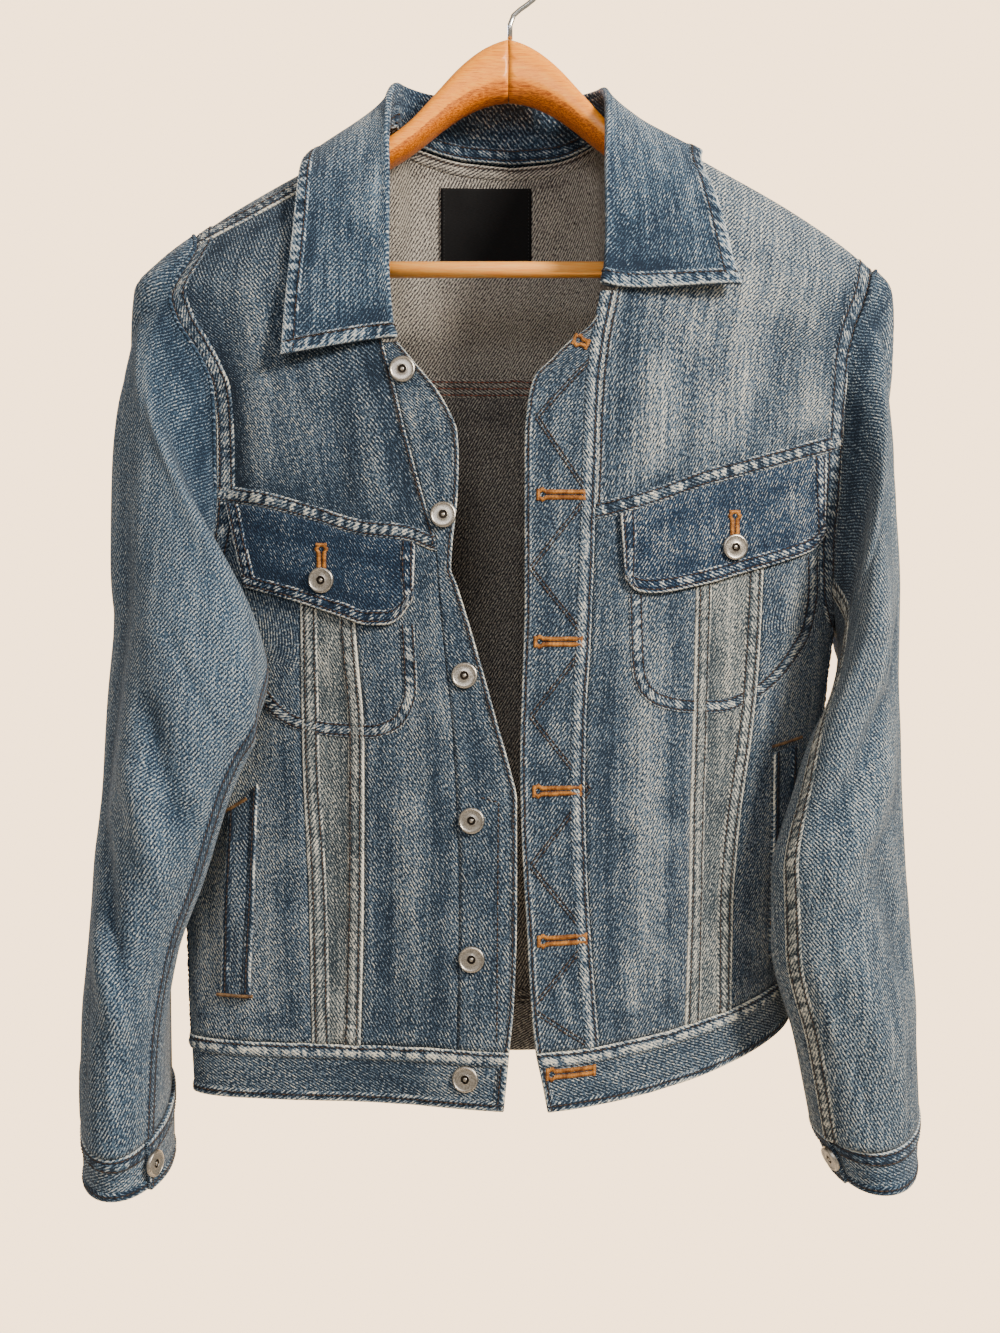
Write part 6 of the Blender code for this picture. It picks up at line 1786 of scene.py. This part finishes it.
def buttonhole(cloth, side, centre, direction, half, lift, thread):
    """A keyhole buttonhole: dense stitches round a slit, with an eye at its first end. A dark thread
    sunk in the slit paints the shade in the cut.
    """
    centre, direction = np.array(centre, float), unit(np.array(direction, float))
    normal = np.array([-direction[1], direction[0]])
    count = round(2 * half / HOLE_STEP)
    t = np.linspace(-half, half, count)
    for way in (-1, 1):
        near = np.clip((t + half) / (EYE_LONG * EYE), 0, 1)
        inner = HOLE_OPEN + (EYE - HOLE_OPEN) * np.sin(np.pi * near) ** 2 * EYE_ROUND
        rows = []
        for reach in (inner, inner + (HOLE_WIDE - HOLE_OPEN) / 2, inner + HOLE_WIDE - HOLE_OPEN):
            place = centre + direction * t[:, None] + normal * (way * reach)[:, None]
            rows.append(on_front(side, place[:, 0], place[:, 1], lift))
        paths = np.stack([p for p, out in rows], axis=1)
        outs = np.stack([out for p, out in rows], axis=1)
        paths[:, 1] += outs[:, 1] * HOLE_RISE
        lay_thread(cloth, paths, outs, thread, HOLE_THREAD)
    for end_at, reach in ((-half, EYE + END_PAST_EYE), (half, HOLE_WIDE)):
        across_end = np.linspace(-reach, reach, round(2 * reach / END_STEP))
        here = centre + direction * end_at + normal * across_end[:, None]
        line, out = on_front(side, here[:, 0], here[:, 1], lift)
        tip = centre + direction * (end_at * (1 + 1.0 / half)) + normal * across_end[:, None]
        ahead = unit(on_front(side, tip[:, 0], tip[:, 1], lift)[0] - line)
        threads_across(cloth, line, out, ahead, END_BACK, END_AHEAD, thread, END_THREAD)
    # a dark thread sunk in the slit, as its painted shade
    slit = centre + direction * np.linspace(-half + 1, half - 1, 3)[:, None]
    line, out = on_front(side, slit[:, 0], slit[:, 1], lift - SLIT_SUNK)
    lay_thread(cloth, line[None], out[None], SLIT_SHADE, HOLE_OPEN)


def straight_stitch(cloth, side, start, stop, d, height, thread):
    stitch(cloth, line_on_front(side, (start, stop)), d, height, thread)


def zigzag(cloth):
    """The double zig-zag of the buttonhole placket: out to each hole, back between them."""
    turns = [(TOP_HOLE[0] + 6, TOP_HOLE[1] - 12), (ZIGZAG_LEFT + 4, -340),
             (ZIGZAG_RIGHT, BUTTONHOLES[0][1])]
    for (_, z0, _), (_, z1, _) in zip(BUTTONHOLES, BUTTONHOLES[1:]):
        turns.append((ZIGZAG_LEFT, (z0 + z1) / 2))
        turns.append((ZIGZAG_RIGHT, z1))
    turns = [(x, max(z, BAND_TOP + 1)) for x, z in turns]
    for start, stop in zip(turns, turns[1:]):
        for d in (-ZIGZAG_APART, ZIGZAG_APART):
            straight_stitch(cloth, RIGHT, start, stop, d, DOUBLE / 2 + WORKED_LIFT, BROWN)


def panel(look, name, surface, finish, seed, wall=DENIM, wrong="wrong", **more):
    """One piece of denim with the finishes of its right and its wrong side."""
    return Cloth(name, surface, wall, look[finish], look[wrong], seed=seed, **more)


def make_fronts(look):
    """The panels of both fronts, with their seams, pockets and buttonholes."""
    for side, word in SIDES:
        surfaces = front_surfaces(side)
        seed = FRONT_SEED[side]
        on_yoke = "front_yoke_" + word
        # the left yoke takes a darker copy of its denim, as painted shade
        yoke = panel(look, on_yoke, surfaces["yoke"], "worn" if side == RIGHT else "shade", seed)
        sew(yoke, "low", FELLED, finish=look["worn"])
        sew(yoke, "right", ARMHOLE_SEAM, finish=look["worn"])
        sew(yoke, "left", TURNED)
        yoke.finished("hanger_arm_" + word)

        inner = panel(look, "front_inner_" + word, surfaces["inner"], "body", seed + 4)
        inner.finished(on_yoke)

        strip = panel(look, "front_strip_" + word, surfaces["strip"], "strip", seed + 5)
        sew(strip, "left", STRIP_SEAM)
        sew(strip, "right", STRIP_SEAM)
        sew(strip, line_on_front(side, POCKET_STITCH[side]), POCKET_LINE, raised=POCKET_RAISED,
            finish=look["body"])
        strip.finished(on_yoke)

        flank = panel(look, "front_side_" + word, surfaces["side"], "body", seed + 9)
        sew(flank, ("right", 0, YOKE_SIDE), ARMHOLE_SEAM)
        sew(flank, ("right", YOKE_SIDE, 1), FELLED)
        flank.finished(on_yoke)

        placket = panel(look, "placket_" + word, surfaces["placket"], "body", seed + 12, DOUBLE)
        sew(placket, "left", TURNED)
        if side == RIGHT:
            sew(placket, "right", PLACKET_EDGE)
            zigzag(placket)
            x, z, drop = TOP_HOLE
            buttonhole(placket, side, (x, z), (TOP_HOLE_HALF, -drop), TOP_HOLE_HALF,
                       DOUBLE / 2 + WORKED_LIFT, GOLD)
            for x, z, drop in BUTTONHOLES[:-1]:
                buttonhole(placket, side, (x, z), (2 * HOLE_HALF, -drop), HOLE_HALF,
                           DOUBLE / 2 + WORKED_LIFT, GOLD)
        else:
            for stop in (SHORT_LINE[1], LONG_LINE_END):
                straight_stitch(placket, side, SHORT_LINE[0], stop, 0, DOUBLE / 2 + FLAT_LIFT,
                                BROWN)
        placket.finished(on_yoke)
        make_pocket_pieces(side, word, look, seed + 30)


def make_pocket_pieces(side, word, look, seed):
    on_panel = (DENIM + DOUBLE) / 2 + LAID_GAP
    over = on_panel + DOUBLE / 2
    surface = four_sided(side, FLAP_INNER[side], FLAP_OUTER[side], YOKE_SEAM[side], FLAP_LOW[side])
    flap = panel(look, "pocket_flap_" + word, surface, "deep" if side == LEFT else "flap", seed,
                 DOUBLE, lift=on_panel, cell=SMALL_CELL)
    sew(flap, "left", FLAP_SEAM, finish=look["flap"])
    sew(flap, "right", FLAP_SEAM, finish=look["flap"])
    sew(flap, "low", FLAP_SEAM, raised=FLAP_RAISED, finish=look["flap"])
    x, z = FLAP_BUTTON[side]
    buttonhole(flap, side, (x, z + FLAP_HOLE_ABOVE + BUTTON_DIAMETER / 2), (0, -1),
               FLAP_HOLE_HALF, over + WORKED_LIFT, GOLD)
    flap.finished("front_yoke_" + word)

    surface = four_sided(side, WELT_INNER[side], WELT_OUTER[side], WELT_TOP[side], WELT_LOW[side])
    welt = panel(look, "pocket_welt_" + word, surface, "body", seed + 4, DOUBLE, lift=on_panel,
                 cell=SMALL_CELL)
    sew(welt, "left", WELT_EDGE)
    sew(welt, "right", WELT_EDGE)
    for v, start in ((TACK_INSIDE, WELT_TACK_FROM[side]), (1 - TACK_INSIDE, 0.0)):
        near, far = welt.surface(np.array([start, 1.0]), np.array([v, v]))
        bartack(welt, side, (side * near[0] - TACK_PAST, near[2]),
                (side * far[0] + TACK_PAST, far[2]), over + TACK_LIFT, TAN)
    welt.finished("front_side_" + word)


def make_back(look):
    surfaces = back_surfaces()
    yoke = panel(look, "back_yoke", surfaces["yoke"], "worn", 101)
    neck = YOKE_NECK_SHARE[LEFT], YOKE_NECK_SHARE[RIGHT]
    sew(yoke, "low", FELLED)
    sew(yoke, "left", ARMHOLE_SEAM)
    sew(yoke, "right", ARMHOLE_SEAM)
    sew(yoke, ("top", 0, neck[0]), SHOULDER)
    sew(yoke, ("top", neck[1], 1), SHOULDER)
    sew(yoke, ("top", *neck), INSIDE_EDGE, flip=-1)
    sew(yoke, "low", INSIDE_SEAM, RUST, flip=-1)
    yoke.finished("hanger_arm_left", "hanger_arm_right")

    # the inside of the back has its wrong side darkened as painted shade
    centre = panel(look, "back_centre", surfaces["centre"], "body", 111, wrong="inside")
    sew(centre, "left", FELLED)
    sew(centre, "right", FELLED)
    for edge in ("left", "right", "low"):
        sew(centre, edge, INSIDE_EDGE, flip=-1)
    centre.finished("back_yoke")

    for side, word in SIDES:
        back = panel(look, "back_side_" + word, surfaces[side], "body", 121 + side,
                     wrong="inside")
        sew(back, ("right", 0, BACK_SIDE), ARMHOLE_SEAM, seed=124 + side)
        back.finished("back_yoke")


def make_waistband(look):
    band = panel(look, "waistband", band_surface(), "body", 131, DOUBLE, "inside",
                 across_grain=True, washed=(), pale=BAND_PALE)
    sew(band, "top", BAND_TOP_SEAM)
    sew(band, "low", BAND_LOW_SEAM)
    sew(band, "left", TURNED)
    sew(band, "right", TURNED)
    x, z, drop = BUTTONHOLES[-1]
    buttonhole(band, RIGHT, (x, z), (2 * HOLE_HALF, -drop), HOLE_HALF, DOUBLE / 2 + WORKED_LIFT,
               GOLD)
    band.finished("back_centre", "placket_left", "placket_right")


def make_collar(look):
    collar = panel(look, "collar", collar_surface, "collar", 141, DOUBLE, "collar",
                   cell=COLLAR_CELL, across_grain=True, seen_from=LEAF_FROM,
                   washed=("left", "right", "low"))
    sew(collar, "low", COLLAR_SEAM)
    sew(collar, ("left", STAND_SHARE, 1), COLLAR_SEAM)
    sew(collar, ("right", STAND_SHARE, 1), COLLAR_SEAM)
    sew(collar, ("top", *STAND_SEAM), CUFF_TOP_SEAM, flip=-1)
    collar.finished("back_yoke", "front_yoke_left", "front_yoke_right")


def centre_line(side, rows, first):
    """The middle of a sleeve or cuff at each share of its length, as (n, 1, 3)."""
    def middle(t):
        t = np.maximum(np.atleast_1d(np.asarray(t, float)), first)
        x = side * (rows("outer_x", t) + rows("inner_x", t)) / 2
        return np.stack([x, rows("y", t), 0 * t], axis=-1)[:, None]
    return middle


def armhole_roll(cloth, side, finish):
    """The rolled seam allowance in the armhole, between the sleeve's head and the body."""
    ring = sleeve_surface(side, 0.0, 2 * np.pi)
    u = np.arange(ALLOWANCE_STEPS) / ALLOWANCE_STEPS
    head = ring(u, 0 * u)
    back = unit(head - ring(u, 0 * u + EDGE_STEP))
    middle = head + back * ALLOWANCE_OUT
    along = unit(np.roll(middle, -1, axis=0) - np.roll(middle, 1, axis=0))
    beside = unit(np.cross(along, back))
    back = np.cross(beside, along)
    turns = np.arange(ALLOWANCE_SIDES) * 2 * np.pi / ALLOWANCE_SIDES
    verts = middle[:, None] + ALLOWANCE_RADIUS * (np.cos(turns)[:, None] * back[:, None]
                                             + np.sin(turns)[:, None] * beside[:, None])
    index = np.arange(len(u) * len(turns)).reshape(len(u), len(turns))
    over, ahead = np.roll(index, -1, axis=1), np.roll(index, -1, axis=0)
    faces = np.stack([index, over, np.roll(over, -1, axis=0), ahead], -1).reshape(-1, 4)
    flat = verts.reshape(-1, 3)
    cloth.ribbons.setdefault(finish, []).append(
        (flat, faces.tolist(), flat[:, [1, 2]], np.full(len(flat), ALLOWANCE_WEAR)))


def make_sleeves(look):
    for side, word in SIDES:
        seed = SLEEVE_SEED[side]
        hub = centre_line(side, SLEEVE[side], float(SLEEVE[side].at[0]))
        wash = "sleeve" if side == LEFT else "worn_sleeve"
        inner, outer = INNER_SEAM[side], OUTER_SEAM
        upper = panel(look, "sleeve_upper_" + word,
                      sleeve_surface(side, outer - 2 * np.pi, inner), wash, seed, hub=hub,
                      washed=("top",), crest=SLEEVE_CREST_WEAR_AND_SHADE)
        sew(upper, "left", SLEEVE_SEAM)
        if side == RIGHT:
            sew(upper, "right", PALE_SLEEVE_SEAM, finish=look["strip"])
        else:
            sew(upper, "right", QUIET_SEAM)
        armhole_roll(upper, side, look[wash])
        upper.finished("front_yoke_" + word, "back_yoke")
        under = panel(look, "sleeve_under_" + word, sleeve_surface(side, inner, outer), wash,
                      seed + 3, hub=hub, washed=("top",), crest=SLEEVE_CREST_WEAR_AND_SHADE)
        under.finished("sleeve_upper_" + word)

        cuff = panel(look, "cuff_" + word, cuff_surface(side), "collar", seed + 4, DOUBLE,
                     hub=centre_line(side, CUFF[side], 0.0), across_grain=True,
                     cell=COLLAR_CELL, washed=())
        sew(cuff, "top", CUFF_TOP_SEAM)
        sew(cuff, "low", BAND_LOW_SEAM)
        sew(cuff, "left", TURNED)
        cuff.finished("sleeve_upper_" + word, "sleeve_under_" + word)


def make_labels(look):
    """Blank woven labels: the neck label is sewn down at its short ends, over the size tab."""
    under = -((DENIM + LABEL_WALL) / 2 + LABEL_GAP)

    def woven(name, box):
        return Cloth(name, box_surface(*box), LABEL_WALL, look["label"], look["label"],
                     lift=under, cell=LABEL_CELL, seed=220, washed=())

    tab = woven("size_tab", TAB_BOX).obj
    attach(tab, "root")
    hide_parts("size_tab")
    label = woven("neck_label", LABEL_BOX)
    for edge in ("left", "right"):
        stitch(label, label.edge(edge), 2.2, LABEL_WALL / 2, BLACK, flip=-1, pitch=LABEL_STITCH,
               size=LABEL_THREAD)
    label.finished("back_yoke", on_it=[tab])


# Buttons: a cast ring with a dished face, a dark well and the bright end of its rivet
BUTTON_SIDES = 48
BUTTON_THICK = 1.9
WELL_RADIUS = 2.75
NUB_RADIUS = 1.35
BUTTON_EDGE = math.radians(50)
# insets from the rim to the middle, each with its rise
BUTTON_STEPS = ((0.45, 0.45), (0.6, 0.15), (0.35, -0.3), (0.5, -0.2), (3.35, 0.15), (0.35, 0.15),
    (0.2, -0.35), (0.15, -0.7), (1.05, 0), (0.2, 0.75), (0.35, 0.3))


def model_button(look):
    """The button at the origin, facing up. It is modelled once and copied."""
    bpy.ops.object.select_all(action="DESELECT")
    bpy.ops.mesh.primitive_cylinder_add(vertices=BUTTON_SIDES, radius=BUTTON_DIAMETER / 2 * MM,
                                        depth=BUTTON_THICK * MM,
                                        location=(0, 0, BUTTON_THICK / 2 * MM))
    button = bpy.context.object
    bpy.ops.object.transform_apply(location=True)
    top = max(button.data.polygons, key=lambda face: face.center.z)
    for part in (button.data.vertices, button.data.edges, button.data.polygons):
        part.foreach_set("select", [False] * len(part))
    top.select = True
    bpy.ops.object.mode_set(mode="EDIT")
    bpy.ops.mesh.select_mode(type="FACE")
    for inset, rise in BUTTON_STEPS:
        bpy.ops.mesh.inset(thickness=inset * MM, depth=rise * MM)
    bpy.ops.object.mode_set(mode="OBJECT")
    button.data.materials.append(look["pewter"])
    button.data.materials.append(look["oxide"])
    for face in button.data.polygons:
        reach = math.hypot(face.center.x, face.center.y) / MM
        face.material_index = 1 if NUB_RADIUS < reach < WELL_RADIUS else 0
    bpy.ops.object.shade_smooth_by_angle(angle=BUTTON_EDGE)
    return button


def make_buttons(look):
    button = model_button(look)

    def put(node, here, out):
        mesh = button.data.copy()
        turn = Vector(out).to_track_quat("Z", "Y").to_matrix().to_4x4()
        mesh.transform(Matrix.Translation(Vector([c * MM for c in here])) @ turn)
        obj = bpy.data.objects.new(node + "_metal", mesh)
        bpy.context.scene.collection.objects.link(obj)
        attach(obj, "root")
        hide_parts(node)

    on_placket = DOUBLE / 2 + LAID_GAP
    for side, word in SIDES:
        if side == LEFT:
            for k, (x, z, sunk) in enumerate(FRONT_BUTTONS):
                put("button_front_%d" % (k + 1), *on_front(side, x, z, on_placket - sunk))
        x, z = FLAP_BUTTON[side]
        put("button_flap_" + word, *on_front(side, x, z, DENIM / 2 + DOUBLE + 2 * LAID_GAP))

        surface = cuff_surface(side)
        u, v, step = CUFF_BUTTON_AT, 1 / 2, CUFF_BUTTON_STEP
        here = surface(u, v)
        out = unit(np.cross(surface(u + step, v) - surface(u - step, v),
                            surface(u, v + step) - surface(u, v - step)))
        across_it = [section_point(side, CUFF[side], v, turn) for turn in (0.0, np.pi)]
        out = out * np.sign(np.dot(out, here - sum(across_it) / 2))
        put("button_cuff_" + word, here + out * on_placket, out)
    bpy.data.objects.remove(button)


GLUE_WIDE = 0.9
GLUE_BEVEL = 0.1
GLUE_REACH = 0.985
MERGE_WITHIN = 0.01
ARM_LEVELS = 2


def glue_line(look):
    """The dark line of glue where the two arms meet."""
    bpy.ops.object.select_all(action="DESELECT")
    bpy.ops.mesh.primitive_cylinder_add(vertices=32, radius=0.5, depth=GLUE_WIDE * MM,
                                        location=(JOINT_X * MM, JOINT_Y * MM,
                                                  (JOINT_TOP + JOINT_LOW) / 2 * MM),
                                        rotation=(0, QUARTER, 0),
                                        scale=((JOINT_TOP - JOINT_LOW) * GLUE_REACH * MM,
                                               JOINT_THICK * GLUE_REACH * MM, 1))
    line = bpy.context.object
    line.name = "hanger_glue_line"
    bpy.ops.object.transform_apply(location=True, rotation=True, scale=True)
    bpy.ops.object.mode_set(mode="EDIT")
    bpy.ops.mesh.select_all(action="SELECT")
    bpy.ops.mesh.bevel(offset=GLUE_BEVEL * MM, segments=2)
    bpy.ops.object.mode_set(mode="OBJECT")
    line.data.materials.append(look["glue"])
    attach(line, "root")


def finish_hanger(nodes, look):
    """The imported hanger's own solids, with their finishes and softened edges."""
    for node, finish in (("hanger_arm_left", "wood"), ("hanger_arm_right", "wood"),
                         ("hanger_bar", "bar_wood"), ("hanger_hook", "wire")):
        obj = nodes[node]
        obj.data.materials.clear()
        obj.data.materials.append(look[finish])
        obj.data.shade_smooth()
        joined_up = obj.modifiers.new("joined", "WELD")
        joined_up.merge_threshold = MERGE_WITHIN * MM
        if node.startswith("hanger_arm"):
            ends = obj.data.attributes.new("crease_edge", "FLOAT", "EDGE")
            centre = max if node.endswith("left") else min
            joint = centre(v.co.x for v in obj.data.vertices)
            for edge in obj.data.edges:
                there = [abs(obj.data.vertices[k].co.x - joint) < MM for k in edge.vertices]
                ends.data[edge.index].value = 1.0 if all(there) else 0.0
            soft = obj.modifiers.new("softened", "SUBSURF")
            soft.levels = soft.render_levels = ARM_LEVELS


# Studio
CAMERA_PLACE = (-0.009, -1.0, -0.503)
CAMERA_LENS = 38.6
WORLD_LIGHT = 0.55
WORLD_BACKDROP = 4.2
BACKDROP_FROM = 0.82
BACKDROP_FULL = 0.87
FLOOR_DROP = -1.62
FLOOR_RADIUS = 1.15
CHEST = (0, 0, -0.4)
# each soft light's name, place, size, power and colour; all face the chest
LIGHTS = (("key", (1.35, -1.15, 0.55), 0.5, 80, "#fff6ea"),
          ("fill", (-0.2, -1.9, 0.4), 0.8, 11, "#f6f6fb"),
          ("rear", (-0.9, 1.5, 0.5), 0.7, 17, "#c4d8ff"))


def area_light(name, place, size, power, colour):
    data = bpy.data.lights.new(name, "AREA")
    data.shape = "DISK"
    data.size, data.energy = size, power
    data.color = linear(colour)[:3]
    light = bpy.data.objects.new(name, data)
    light.location = place
    light.rotation_euler = (Vector(CHEST) - Vector(place)).to_track_quat("-Z", "Y").to_euler()
    bpy.context.scene.collection.objects.link(light)


def make_studio():
    camera = bpy.data.objects.new("camera", bpy.data.cameras.new("camera"))
    camera.location = CAMERA_PLACE
    camera.rotation_euler = (QUARTER, 0, 0)
    camera.data.lens = CAMERA_LENS
    bpy.context.scene.collection.objects.link(camera)
    bpy.context.scene.camera = camera

    world = bpy.data.worlds.new("studio")
    world.use_nodes = True
    studio = Nodes(world.node_tree, "Background")
    # pale and even, and brighter in the part of the studio behind the jacket
    behind = studio.add("SeparateXYZ", studio.add("TexCoord", out="Generated"), out="Y")
    span = studio.add("MapRange", {"Value": behind, "From Min": BACKDROP_FROM,
                                   "From Max": BACKDROP_FULL}, interpolation_type="SMOOTHSTEP")
    studio.set("Color", studio.add("Mix", {
        "Factor": span, "A": [c * WORLD_LIGHT for c in linear("#f8ecdc")],
        "B": [c * WORLD_BACKDROP for c in linear("#ffdcb0")]}, out="Result", data_type="RGBA"))
    bpy.context.scene.world = world
    for light in LIGHTS:
        area_light(*light)

    bpy.ops.object.select_all(action="DESELECT")
    bpy.ops.mesh.primitive_circle_add(vertices=96, radius=FLOOR_RADIUS, fill_type="NGON",
                                      location=(0, 0, FLOOR_DROP))
    floor = bpy.context.object
    floor.name = "floor"
    paint, f = new_finish("pale_floor", Roughness=0.8)
    f.set("Base Color", f.add("ValToRGB", grain(f, (5, 5, 5), 3.0),
                              stops=((0.3, "#e6d8c6"), (0.7, "#eadfce"))))
    floor.data.materials.append(paint)
    floor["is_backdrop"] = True


def main():
    for obj in list(bpy.data.objects):
        bpy.data.objects.remove(obj)
    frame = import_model()
    sizes = {"cad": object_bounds()}
    look = make_finishes()
    finish_hanger(frame["nodes"], look)
    glue_line(look)
    make_fronts(look)
    make_back(look)
    make_waistband(look)
    make_sleeves(look)
    make_collar(look)
    make_labels(look)
    make_buttons(look)
    make_studio()
    sizes["looks"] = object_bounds()
    {name: [list(corner) for corner in both] for name, both in sizes.items()}


main()
